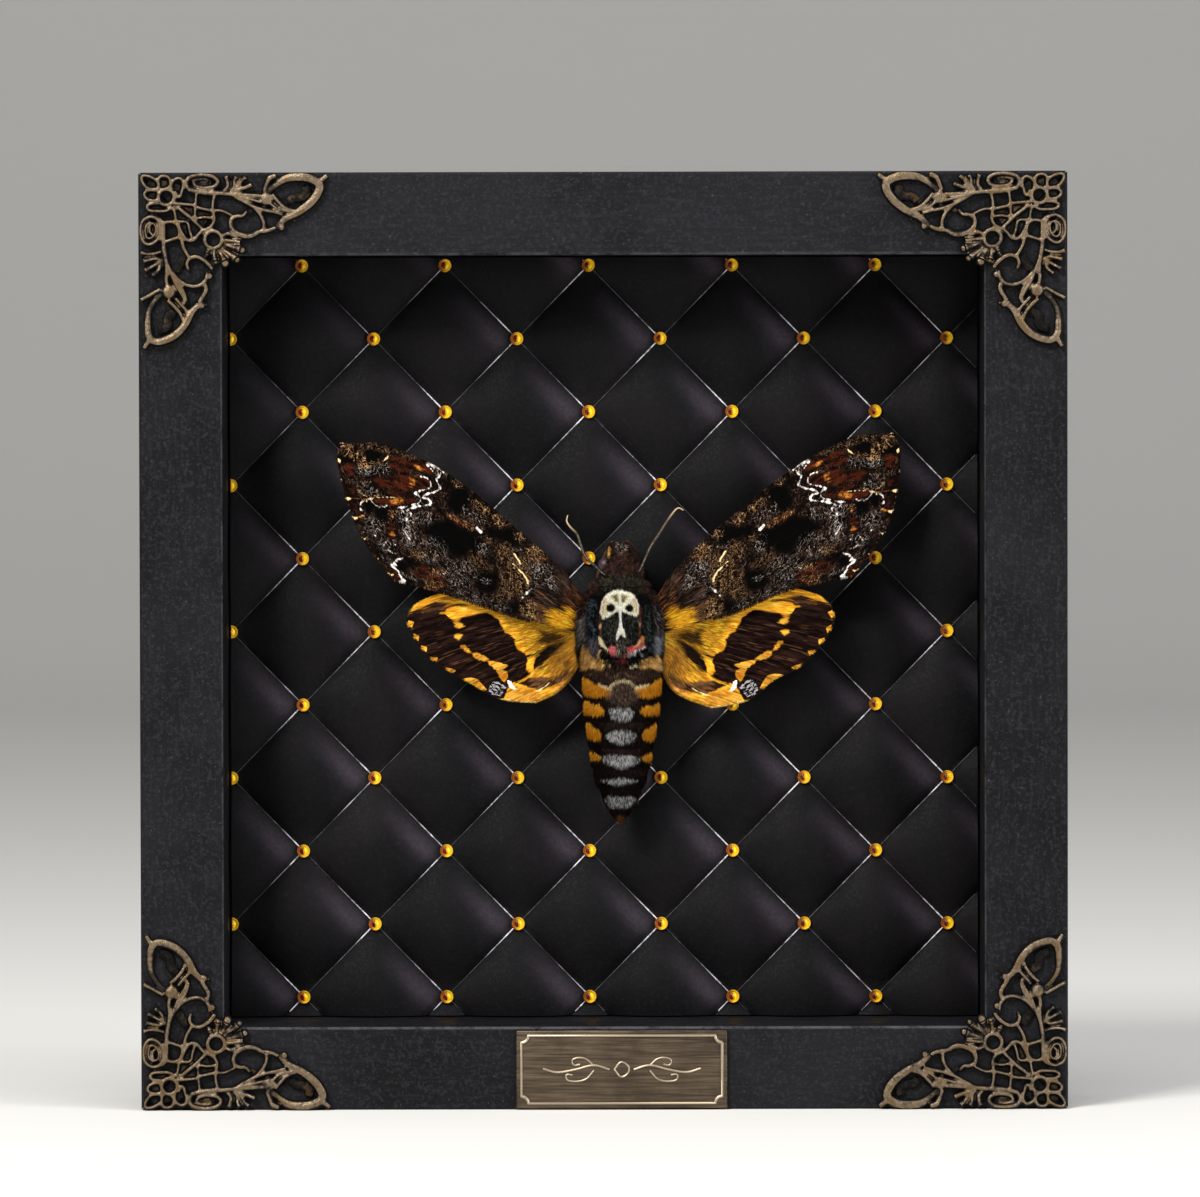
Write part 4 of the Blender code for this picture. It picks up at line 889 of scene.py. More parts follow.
def make_plaque():
    """The bare name plate: a bevelled plate, a raised notched line and a plain flourish."""
    middle = (PLAQUE_LOW + PLAQUE_HIGH) / 2
    width, height = PLAQUE_HIGH.x - PLAQUE_LOW.x, PLAQUE_HIGH.z - PLAQUE_LOW.z
    back = FRONT - TRIM_GAP
    bpy.ops.mesh.primitive_cube_add(size=1.0, location=(middle.x, back - PLATE_THICKNESS / 2, middle.z))
    plate = take_new("name_plate")
    plate.scale = (width, PLATE_THICKNESS, height)
    settle(plate)
    modify(plate, "BEVEL", width=0.35 * MM, segments=3)
    face = back - PLATE_THICKNESS

    def bar(path, radius):
        """A raised line on the plate, in millimetres from its middle."""
        line = [(middle.x + x * MM, face, middle.z + z * MM) for x, z in path]
        return rod("line", line, np.full(len(line), radius * MM), 2)

    def raised(points, radius):
        """The same on a smooth curve."""
        return bar(smooth_path(points, 5 * len(points)), radius)

    border_x, border_z = width / 2 / MM - BORDER_INSET, height / 2 / MM - BORDER_INSET
    parts = [plate]
    corners = []
    for sx, sz, first in ((1, 1, 270), (-1, 1, 360), (-1, -1, 90), (1, -1, 180)):
        for k in range(7):
            angle = math.radians(first - 90 * k / 6)
            corners.append((sx * border_x + BORDER_NOTCH * math.cos(angle),
                            sz * border_z + BORDER_NOTCH * math.sin(angle)))
    corners.append(corners[0])
    parts.append(bar(corners, 0.4))
    for side in (-1, 1):
        for points, radius in (
                ([(2.6, 0), (6, 0.9), (10, 0), (14, -0.6), (17, 0.2)], 0.28),
                ([(6, 0.8), (8, 2.4), (10.5, 2.2), (10.4, 1.0), (9, 1.1)], 0.24),
                ([(6, -0.2), (8, -2.2), (11.5, -2.4), (12, -1.2), (10.6, -1.2)], 0.24)):
            parts.append(raised([(side * x, z) for x, z in points], radius))
    parts.append(raised([(-1.6, 0), (0, 1.6), (1.6, 0), (0, -1.6), (-1.6, 0)], 0.26))
    plaque = join(parts, "name_plate")
    soften(plaque, 40)
    return show(plaque, plate_brass(), "plate_brass", "plaque")


# The moth's pattern

def lay(colour, cover, text):
    """Lay a colour over others where a field covers them."""
    return colour + (np.array(paint(text)[:3]) - colour) * np.clip(cover, 0, 1)[:, None]


def strongest(*fields):
    """The strongest of several fields."""
    return np.clip(np.max(np.stack(fields), 0), 0, 1)


def cloud(x, z, size, seed):
    """Cloudy noise from -1 to 1 over a plane, in patches of about a given size."""
    side = 61
    table = np.random.default_rng(seed).uniform(-1, 1, (side, side))
    x, z = x / size, z / size
    i, j = np.floor(x).astype(int), np.floor(z).astype(int)
    a, b = x - i, z - j
    a, b = a * a * (3 - 2 * a), b * b * (3 - 2 * b)
    i, j, next_i, next_j = i % side, j % side, (i + 1) % side, (j + 1) % side
    low = table[i, j] * (1 - a) + table[next_i, j] * a
    high = table[i, next_j] * (1 - a) + table[next_i, next_j] * a
    return low * (1 - b) + high * b


class Chart:
    """Marks drawn on a flat chart: how strongly each spot is covered, from 0 to 1."""

    def __init__(self, x, y):
        self.spots = np.stack([x, y], 1)

    def gap(self, points, closed=False):
        """Distance to a line."""
        line = np.array(points, float)
        if closed:
            line = np.vstack([line, line[:1]])
        best = np.full(len(self.spots), 1e9)
        for start, end in zip(line[:-1], line[1:]):
            way = end - start
            share = np.clip((self.spots - start) @ way / max(way @ way, 1e-12), 0, 1)
            best = np.minimum(best, np.linalg.norm(self.spots - start - share[:, None] * way, axis=1))
        return best

    def line(self, points, width, soft=0.25):
        """A drawn line."""
        return np.clip(0.5 + (width / 2 - self.gap(points)) / (2 * soft), 0, 1)

    def patch(self, points, soft=0.35):
        """A filled outline."""
        line = np.array(points, float)
        x, y = self.spots.T
        inside = np.zeros(len(x), bool)
        for start, end in zip(line, np.roll(line, -1, 0)):
            crosses = (start[1] > y) != (end[1] > y)
            inside ^= crosses & (x < start[0] + (y - start[1])
                * (end[0] - start[0]) / (end[1] - start[1] + 1e-12))
        gap = self.gap(points, True)
        return np.clip(0.5 + np.where(inside, gap, -gap) / (2 * soft), 0, 1)

    def spot(self, x, y, half_x, half_y, soft):
        """An oval, by its half widths."""
        radii = np.array((half_x, half_y))
        reach = np.linalg.norm((self.spots - np.array((x, y))) / radii, axis=1)
        return np.clip(0.5 + (1 - reach) * radii.min() / (2 * soft), 0, 1)


# Length and breadth of the wings' charts, in millimetres.
FORE_CHART = (62.0, 21.0)
HIND_CHART = (38.0, 23.0)


def left_wing_place(fore, u, v):
    """Where a spot of the left wing lies, in the moth's flat millimetres."""
    plan = (FOREWINGS if fore else HINDWINGS)["left"]
    turn = math.radians(plan["set"])
    flat = wing_flat(plan, u, v)
    return (plan["hinge"][0] - flat[:, 0] * math.cos(turn) + flat[:, 1] * math.sin(turn),
            plan["hinge"][1] + flat[:, 0] * math.sin(turn) + flat[:, 1] * math.cos(turn))


def fore_marks(u, v):
    """The forewing's marks: white, frost, warm, rust, black, tan, cream and yellow."""
    c = Chart(*left_wing_place(True, u, v))
    white = strongest(
        c.line([(-43.2, 31.4), (-41.9, 31.1), (-41.2, 30.4), (-40.9, 29.6), (-41, 28.9), (-41.9, 28.6),
            (-43.5, 28.2), (-44.4, 27.8), (-43.8, 27.4), (-43.2, 26.7), (-43.2, 26), (-43.9, 25.4),
            (-45.6, 25.1), (-47.1, 24.7), (-48.2, 24.6)], 0.42, 0.2) * 0.95,
        c.line([(-48, 24.4), (-47.1, 23.9), (-46.7, 23.2), (-47.4, 22.7), (-47.8, 22.2)], 0.3, 0.2) * 0.7,
        c.line([(-38.7, 32.2), (-39.1, 31.3), (-39.8, 30.8), (-39.5, 30), (-39.1, 29.3), (-38.9, 28.7),
            (-39.8, 28.1), (-41.3, 27.7), (-42.4, 27.3), (-42.6, 26.8), (-41.7, 26.5), (-41, 26),
            (-41.1, 25.4), (-42.2, 25.1), (-44.1, 24.8), (-45.9, 24.3), (-46.1, 24)], 0.5, 0.2),
        c.line([(-46.1, 24.1), (-45.3, 23.7), (-45.2, 23), (-45.7, 22.4), (-46.5, 21.8), (-47.1, 21.5)], 0.5,
            0.25) * 0.85,
        c.line([(-47.4, 21.5), (-46.5, 20.9), (-45.6, 20.4), (-45.2, 19.8)], 0.3, 0.2) * 0.7,
        c.line([(-46.9, 20.2), (-46.5, 19.3), (-46, 18.5), (-45.4, 17.6), (-45.6, 16.5)], 0.36, 0.22) * 0.78,
        c.patch([(-41.9, 34.5), (-40.4, 33.9), (-39.1, 32.8), (-38.2, 32.2), (-38.7, 31.5), (-39.3, 31.1),
            (-40, 31.3), (-40.4, 32.2), (-41.1, 33), (-41.9, 33.9)], 0.3) * 0.5,
        c.line([(-42.4, 34.3), (-41.3, 33.5), (-40.6, 32.6), (-40.2, 31.7)], 0.3, 0.15) * 0.9,
        c.line([(-41.7, 34.5), (-40.4, 33.6), (-39.5, 32.6), (-39.1, 31.5)], 0.3, 0.15),
        c.line([(-40.6, 34), (-39.1, 32.9), (-38.2, 32.2)], 0.45, 0.15),
        c.line([(-56.2, 24.1), (-56.3, 25), (-56, 25.8), (-55.2, 26.3), (-54.1, 26.5)], 0.42, 0.2) * 0.9,
        c.line([(-54.1, 26.5), (-53.6, 25.9), (-53, 25.1), (-52.1, 24.8), (-50.9, 24.9), (-49.8, 25.4)],
            0.42, 0.2) * 0.9,
        c.line([(-56.2, 25), (-55.7, 24.2), (-55.1, 23.7)], 0.3, 0.2) * 0.7,
        c.line([(-47, 13.7), (-48.2, 13.4), (-49.1, 12.7), (-49.2, 11.9), (-48.6, 11.3), (-48, 10.7),
            (-47.6, 9.9), (-46.9, 9.2), (-47, 8.5), (-47.8, 8.4)], 0.62, 0.3) * 0.85,
        c.spot(-49.11, 12.17, 0.7, 0.6, 0.25),
        c.spot(-46.98, 8.91, 0.6, 0.7, 0.25),
        c.line([(-51, 15.7), (-49.8, 15.1), (-48.5, 14.6)], 0.38, 0.2) * 0.75,
        c.line([(-54, 19), (-53, 18.6), (-52.4, 18.7), (-51.9, 19.4), (-52, 20.3)], 0.32, 0.2) * 0.75,
        c.line([(-54.4, 21), (-53.8, 21.6), (-53, 22.1)], 0.32, 0.2) * 0.6,
        c.line([(-51, 20.8), (-50.2, 21.5)], 0.4, 0.2) * 0.6,
        c.line([(-51.4, 16.3), (-50.7, 17.2), (-50.2, 17.7)], 0.32, 0.2) * 0.65,
        c.line([(-49.4, 16.3), (-48.7, 16.7)], 0.36, 0.2) * 0.7,
        c.spot(-51.28, 22.71, 0.35, 0.35, 0.2) * 0.6,
        c.line([(-37.8, 10.4), (-39.1, 10)], 0.4, 0.2) * 0.5,
        c.line([(-31, 20.2), (-30.1, 19.3)], 0.66, 0.12),
        c.line([(-19.3, 6.8), (-20, 6.4), (-20.6, 5.7), (-21.1, 5)], 0.6, 0.25) * 0.85,
        c.line([(-57, 33.8), (-56.3, 33.2), (-56, 32.8)], 0.4, 0.25) * 0.5,
    )
    frost = strongest(
        c.line([(-56.3, 29.6), (-55.2, 30.1), (-53.9, 30.3), (-52.7, 29.8), (-52.4, 28.7), (-53, 27.8),
            (-54.3, 27.2), (-55.9, 27.6), (-56.6, 28.6), (-56.3, 29.6)], 0.5, 0.25) * 0.75,
        c.patch([(-57.1, 33.9), (-54.8, 33.2), (-52.6, 33.9), (-50.4, 34.5), (-49.5, 32.6), (-50.4, 31.7),
            (-53.5, 31.5), (-56.1, 31.5), (-57.4, 32.6)], 0.6) * 0.5,
        c.patch([(-56.5, 29.8), (-52.8, 30), (-52.4, 28), (-55.2, 27.4)], 0.6) * 0.36,
        c.patch([(-56.1, 22.8), (-53.9, 23), (-51.1, 21.7), (-50.9, 18.9), (-53, 18.2), (-55.2, 19.6)],
            0.8) * 0.48,
        c.patch([(-52.1, 18.2), (-48.7, 18.2), (-48.2, 15.9), (-50.9, 14.8), (-52.6, 16.3)], 0.8) * 0.5,
        c.patch([(-48.2, 24.3), (-44.8, 24.3), (-43.9, 21.7), (-44.3, 16.3), (-46.1, 15.7), (-47.6, 17.4),
            (-48.2, 21.3)], 0.8) * 0.56,
        c.patch([(-44.8, 23.5), (-40.9, 24.3), (-39.1, 22.8), (-40.9, 21.1), (-43.9, 20.4)], 0.8) * 0.46,
        c.patch([(-44.3, 18.7), (-39.1, 18.2), (-36.9, 15.7), (-37.4, 12.6), (-41.3, 11.7), (-43.9, 13.9)],
            1.0) * 0.42,
        c.patch([(-39.1, 13), (-34.3, 13.9), (-31.5, 12.6), (-30.4, 9.8), (-32.6, 6.5), (-36.9, 7),
            (-39.1, 9.8)], 1.0) * 0.42,
        c.patch([(-35.9, 7.4), (-30.4, 6.1), (-25, 4.3), (-22.8, 1.7), (-26.1, 2.2), (-31.5, 3.7),
            (-36.9, 5.7)], 0.8) * 0.42,
        c.patch([(-33.9, 25.2), (-31.7, 24.6), (-29.1, 23), (-28.7, 21.5), (-30.4, 20.4), (-32.6, 21.7),
            (-34.3, 23.2)], 0.7) * 0.5,
        c.patch([(-31.3, 18), (-29.6, 18.2), (-28.2, 16.3), (-29.1, 13.9), (-30.9, 14.8)], 0.6) * 0.5,
        c.patch([(-30.6, 9.1), (-29.6, 9.3), (-27.8, 8.9), (-28, 8), (-29.8, 8)], 0.4) * 0.6,
        c.patch([(-19.6, 13), (-16.3, 12.6), (-13.5, 9.8), (-11.7, 4.3), (-15.7, 3), (-18.2, 4.3),
            (-19.6, 8.7)], 1.0) * 0.5,
        c.patch([(-14.8, 11.7), (-12.4, 10.2), (-10.9, 7.6), (-12.6, 7), (-14.8, 9.1)], 0.8) * 0.42,
        c.patch([(-24.3, 15.7), (-21.7, 16.1), (-21.1, 15.2), (-23.5, 15)], 0.4) * 0.55,
        c.patch([(-47.8, 10.9), (-45.6, 10.4), (-43.7, 9.1), (-44.1, 8.3), (-46.1, 9.3), (-47.4, 9.8)],
            0.4) * 0.5,
        c.patch([(-52.1, 14.8), (-49.5, 13.9), (-49.5, 11.7), (-51.3, 12.6)], 0.5) * 0.42,
    )
    warm = strongest(
        c.patch([(-44.8, 33.9), (-43.5, 34), (-42.2, 32.6), (-42.8, 31.8), (-44.3, 32.2)], 0.7) * 0.85,
        c.patch([(-45.6, 31.3), (-43.9, 31.5), (-43.7, 29.6), (-44.8, 28.5), (-46.1, 29.3)], 0.8) * 0.75,
        c.patch([(-42.6, 30.9), (-41.3, 30.2), (-41.3, 28.9), (-42.6, 28.9)], 0.6) * 0.5,
        c.patch([(-50, 26.5), (-47.8, 27.2), (-46.5, 26.3), (-46.9, 25.3), (-49.5, 25.2)], 0.6) * 0.9,
        c.line([(-58.9, 26.7), (-57.4, 26.7), (-55.9, 26.4), (-54.1, 26.7)], 0.5, 0.3) * 0.85,
        c.patch([(-50, 28.7), (-48.2, 28.9), (-46.1, 27.8), (-46.7, 26.9), (-49.1, 27.6)], 0.7) * 0.5,
        c.patch([(-49.8, 23.6), (-48.7, 23.2), (-49, 22.1), (-49.8, 22.4)], 0.4) * 0.75,
        c.patch([(-50, 19.6), (-48.9, 20.2), (-48.2, 18.9), (-49.1, 17.8), (-50, 18.5)], 0.5) * 0.78,
        c.line([(-57.6, 22.4), (-56.7, 22.6), (-55.6, 22.9)], 0.42, 0.2) * 0.9,
        c.line([(-54.8, 18.1), (-53.9, 18.1), (-53, 18.6)], 0.3, 0.2) * 0.6,
        c.line([(-60.2, 30.8), (-57.8, 30.9)], 0.42, 0.25) * 0.6,
        c.patch([(-48.9, 10.4), (-47.8, 10), (-47.6, 9.1), (-48.5, 9.3)], 0.3) * 0.6,
        c.patch([(-20.4, 15.7), (-18.5, 16.5), (-16.7, 15.2), (-15.9, 13.5), (-17.2, 11.7), (-18.7, 12.8),
            (-20, 13.9)], 0.6) * 0.34,
    )
    rust = strongest(
        c.patch([(-50.4, 35.2), (-47.8, 35.6), (-44.5, 35.3), (-42.6, 34.5), (-41.1, 33), (-40.6, 31.6),
            (-42.4, 31.7), (-45.2, 32.4), (-48.2, 32.5), (-50.4, 33)], 0.7) * 0.95,
        c.patch([(-57.1, 31.3), (-53.9, 31.1), (-50, 31.7), (-45.6, 31.6), (-41.7, 30.9), (-40.9, 29.8),
            (-41.5, 28.7), (-45.2, 28.2), (-48.7, 28.7), (-51.7, 28.9), (-53, 30.2), (-56.1, 30.4)],
            0.7) * 0.92,
        c.patch([(-60.6, 34.8), (-57.1, 34.8), (-57.1, 31.1), (-59.8, 30.4)], 0.8) * 0.6,
        c.patch([(-59.8, 30), (-56.9, 29.8), (-56.9, 26.7), (-58.9, 27.2)], 0.8) * 0.5,
        c.patch([(-53.2, 26.5), (-48.9, 26.6), (-45.6, 26.9), (-43.9, 26.7), (-44.1, 25.6), (-46.1, 25.3),
            (-48.9, 25), (-51.7, 25.2), (-53, 25.9)], 0.4) * 0.95,
        c.patch([(-51.3, 28.5), (-47.8, 28.7), (-45.6, 27.6), (-46.7, 26.7), (-50, 26.9)], 0.6) * 0.8,
        c.patch([(-58.2, 26.1), (-56.1, 26.1), (-56.3, 22.8), (-57.6, 23.2)], 0.6) * 0.5,
        c.patch([(-51.3, 21.7), (-48.2, 21.7), (-47.8, 17.4), (-50.4, 17.4)], 0.9) * 0.55,
        c.patch([(-50.4, 11.7), (-48.7, 11.1), (-47.4, 9.3), (-48.7, 8.9), (-50, 10.2)], 0.4) * 0.8,
        c.patch([(-45, 12.6), (-41.1, 12.6), (-40.4, 9.6), (-43, 8.7), (-45.2, 10.4)], 0.8) * 0.6,
        c.patch([(-41.7, 11.7), (-37.4, 11.3), (-36.9, 7), (-41.3, 6.5), (-42.6, 8.7)], 0.8) * 0.6,
        c.patch([(-37.6, 23.7), (-32.6, 21.5), (-31.1, 19.6), (-34.8, 20.4), (-37.6, 22.4)], 0.5) * 0.7,
        c.patch([(-14.1, 8.3), (-8.3, 6.5), (-8.3, 2.2), (-12.6, 3)], 0.9) * 0.6,
    )
    black = strongest(
        c.patch([(-55.6, 36.9), (-53.9, 37.2), (-52.1, 36.5), (-51.7, 35.4), (-53.7, 35.1), (-55, 35.8)],
            0.4),
        c.patch([(-61.1, 37.2), (-60.2, 35.9), (-58.7, 35.2), (-57.1, 34.8), (-58.2, 34.3), (-60.6, 35)],
            0.4) * 0.85,
        c.patch([(-50.4, 35.2), (-47.8, 35.5), (-47.4, 34.3), (-48.2, 32.6), (-50.2, 32.8)], 0.8) * 0.75,
        c.patch([(-55.2, 25.6), (-54.1, 26.1), (-53.2, 25), (-53.5, 23.9), (-54.5, 23.7), (-55.2, 24.6)],
            0.3),
        c.patch([(-52.8, 24.3), (-50, 24.8), (-50.4, 21.7), (-51.9, 21.5), (-53, 23)], 0.4),
        c.patch([(-52.4, 26.3), (-51.3, 26.4), (-51.1, 25.4), (-52.1, 25.4)], 0.3) * 0.8,
        c.patch([(-43.9, 28.1), (-43, 28.2), (-43, 27.4), (-43.7, 27.4)], 0.2),
        c.patch([(-42.6, 26.7), (-41.9, 26.4), (-42.2, 25.6), (-42.8, 25.9)], 0.2),
        c.patch([(-36.5, 28.7), (-34.5, 29.3), (-32.6, 27.8), (-32.6, 25.4), (-33.9, 23.2), (-35.6, 23.2),
            (-37.6, 25), (-36.9, 27.2)], 0.6),
        c.patch([(-41.3, 21.3), (-36.9, 21.9), (-34.3, 20.2), (-31.3, 19.3), (-30, 17.2), (-31.3, 14.8),
            (-34.3, 13.7), (-38, 15), (-40.2, 17.2), (-41.7, 19.3)], 0.8),
        c.patch([(-29.6, 20.9), (-26.1, 19.8), (-23.5, 20.2), (-21.5, 17.8), (-22.8, 16.1), (-25.6, 17.2),
            (-28.5, 18.5)], 0.6) * 0.95,
        c.patch([(-48.5, 12.6), (-46.7, 12.8), (-45.9, 11.7), (-47.1, 10.7), (-48.2, 11.3)], 0.3),
        c.patch([(-46.7, 13.7), (-44.8, 13.8), (-44.8, 12.4), (-46.3, 12.6)], 0.3) * 0.9,
        c.patch([(-46.5, 9.8), (-45, 9.3), (-44.5, 8.3), (-46.1, 8.2)], 0.3) * 0.9,
        c.patch([(-30.9, 10), (-26.7, 10.7), (-25, 8.9), (-26.5, 6.3), (-30, 6.1), (-31.3, 8)], 0.6) * 0.9,
        c.patch([(-25.4, 3.7), (-22.2, 4.1), (-21.7, 1.5), (-24.1, 1.3)], 0.6) * 0.8,
        c.patch([(-17.8, 12.4), (-15.7, 11.7), (-16.3, 10.4), (-17.6, 10.9)], 0.4) * 0.7,
        c.patch([(-16.3, 7.6), (-13, 6.5), (-11.9, 3.9), (-14.8, 3.5)], 0.8) * 0.5,
        c.patch([(-53.5, 17.8), (-51.3, 18), (-51.7, 14.8), (-53.5, 15.7)], 0.6) * 0.6,
        c.patch([(-50, 16.7), (-47.4, 16.3), (-47.8, 15.4), (-49.5, 15.7)], 0.4) * 0.8,
        c.patch([(-39.1, 31.5), (-36.5, 30.4), (-35.9, 28.7), (-37.6, 27.8), (-38.5, 29.3)], 0.6) * 0.6,
        c.patch([(-29.3, 14.1), (-27.2, 14.6), (-26.7, 12.6), (-28.7, 11.9)], 0.6) * 0.6,
        c.patch([(-60, 30), (-58.2, 29.6), (-57.8, 27.4), (-59.3, 28.2)], 0.5) * 0.5,
    )
    tan = strongest(
        c.patch([(-61.1, 38), (-60.4, 38.6), (-58.7, 38.9), (-58, 38.2), (-57.4, 36.9), (-56.1, 37.2),
            (-55, 35.6), (-53.9, 34.9), (-51.9, 34.7), (-51.3, 35), (-50.4, 34.3), (-52.8, 34),
            (-54.3, 33.2), (-56.1, 32.8), (-56.9, 34.1), (-58.2, 35.4), (-59.8, 35.9), (-60.6, 36.9)],
            0.4) * 0.75,
        c.patch([(-57.1, 38.5), (-54.3, 38.9), (-50, 38), (-46.7, 36.7), (-44.1, 35.6), (-45.4, 35.2),
            (-48.2, 35.8), (-50.4, 36.5), (-53.9, 37.2), (-56.1, 37.4)], 0.6) * 0.42,
        c.line([(-56.7, 28.2), (-55.6, 27.4), (-54.1, 26.7), (-52.6, 27.2), (-51.9, 28)], 0.5, 0.3) * 0.8,
        c.patch([(-36.5, 30.4), (-34.5, 30.4), (-33.9, 28.9), (-35.6, 28.7)], 0.5) * 0.5,
        c.patch([(-33.2, 26.7), (-30.4, 26.1), (-27.8, 24.1), (-25.2, 22.2), (-24.8, 20.4), (-26.7, 20.2),
            (-28.7, 22.2), (-31.3, 24.3)], 0.5) * 0.6,
        c.patch([(-37.6, 23.7), (-35.2, 22.8), (-32.8, 21.5), (-31.1, 20), (-32.2, 19.3), (-34.8, 20.6),
            (-37.4, 22.2)], 0.4) * 0.6,
        c.patch([(-29.1, 18.5), (-27.8, 17.8), (-28.2, 16.7), (-29.3, 17.2)], 0.4) * 0.6,
        c.patch([(-27.4, 16.3), (-24.3, 17.4), (-23.2, 15.9), (-25, 12.6), (-26.9, 13)], 0.8) * 0.5,
        c.patch([(-23, 19.3), (-21.3, 19.6), (-20.2, 18), (-21.5, 16.7), (-23, 17.6)], 0.4) * 0.55,
        c.patch([(-20.4, 15.7), (-18.5, 16.5), (-16.7, 15.2), (-15.9, 13.5), (-17.2, 11.7), (-18.7, 12.8),
            (-20, 13.9)], 0.5) * 0.82,
        c.patch([(-24.3, 14.6), (-22.2, 15.4), (-19.6, 13), (-18.9, 9.8), (-19.3, 6.5), (-21.5, 3.9),
            (-23.5, 6.5), (-25, 10.4)], 0.8) * 0.56,
        c.patch([(-32.6, 15.7), (-30.9, 15.2), (-27.8, 11.9), (-28.7, 10.4), (-31.7, 11.3), (-33, 13.5)],
            0.8) * 0.42,
        c.patch([(-21.9, 4.3), (-19.6, 4.8), (-16.3, 3), (-15.4, 1.5), (-16.1, -1.1), (-19.1, 0),
            (-21.3, 1.5)], 0.4) * 0.88,
        c.patch([(-26.1, 10.9), (-22.8, 8.7), (-21.7, 4.8), (-24.3, 4.3), (-26.7, 6.5)], 0.8) * 0.46,
        c.patch([(-28.2, 6.1), (-25, 6.1), (-24.3, 3.9), (-27.2, 3.9)], 0.6) * 0.42,
        c.patch([(-46.7, 15.2), (-43.9, 16.1), (-41.3, 14.8), (-42.6, 12.6), (-45.2, 13.5)], 0.6) * 0.5,
        c.patch([(-50.4, 24.3), (-48.2, 24.1), (-48.2, 22.2), (-50.2, 21.7)], 0.4) * 0.6,
        c.patch([(-41.7, 11.7), (-37.6, 11.3), (-37.2, 10.2), (-39.5, 9.6), (-41.7, 10)], 0.4) * 0.62,
        c.patch([(-42.6, 9.1), (-39.1, 9.3), (-37.6, 8), (-39.8, 6.5), (-42.4, 7.2)], 0.5) * 0.52,
        c.patch([(-13, 7.6), (-9.8, 6.5), (-8.7, 4.3), (-10.9, 3.3), (-13, 4.3)], 0.6) * 0.3,
    )
    cream = strongest(
        *[c.patch(corner, 0.12) for corner in (
            [(-61.2, 35.5), (-60.3, 34.9), (-60.6, 34.3), (-61.2, 34.7)],
            [(-59.5, 27.1), (-58, 26.8), (-58.2, 26.4), (-59.1, 26.1)],
            [(-57.9, 22.7), (-56.5, 22.8), (-56.9, 22.2), (-57.5, 21.9)],
            [(-56.1, 18.1), (-54.8, 18.1), (-55.5, 17.2)],
            [(-53.3, 13.8), (-52.1, 13.7), (-52.9, 12.9)],
            [(-50, 10.2), (-48.9, 10.3), (-49.1, 9.8), (-49.7, 9.7)],
        )],
        c.patch([(-51.3, 34.9), (-50.9, 35.9), (-49.6, 36.3), (-50.2, 35.1), (-51, 34.5)], 0.3) * 0.85,
        c.line([(-55, 26.1), (-54.3, 26.7), (-53.7, 26.5)], 0.4, 0.2),
        c.line([(-53.5, 26.7), (-51.1, 26.9), (-48.7, 26.8)], 0.38, 0.2) * 0.8,
        c.line([(-22.9, 14.6), (-22.4, 13.7), (-21.7, 12.9), (-21.6, 12.3)], 0.45, 0.2),
        c.line([(-23.2, 12.4), (-22.5, 11.8), (-21.9, 11.1)], 0.35, 0.2) * 0.9,
        c.line([(-21.9, 11.1), (-20.9, 10.1), (-20.2, 8.9), (-20, 8.2)], 0.45, 0.2),
        c.line([(-20, 8.3), (-19.8, 7.3)], 0.3, 0.2) * 0.6,
        c.line([(-57.1, 28.2), (-56.3, 27.5), (-55, 27.2)], 0.35, 0.2) * 0.6,
        c.line([(-61.1, 38), (-60.2, 38.7), (-58.9, 38.9)], 0.35, 0.2) * 0.75,
        c.line([(-60.6, 30.8), (-59.5, 30.6), (-58, 30.8)], 0.38, 0.2) * 0.7,
    )
    yellow = c.patch([(-15.9, 2.6), (-13.9, 2.4), (-12.4, 1.7), (-12.4, 3.1), (-11.1, 2.9), (-10.4, 1.7),
        (-10.9, 0.4), (-10.4, -1.3), (-13, -2), (-15.2, -1.7), (-16.3, 0)], 0.5)
    return [white, frost, warm, rust], [black, tan, cream, yellow]


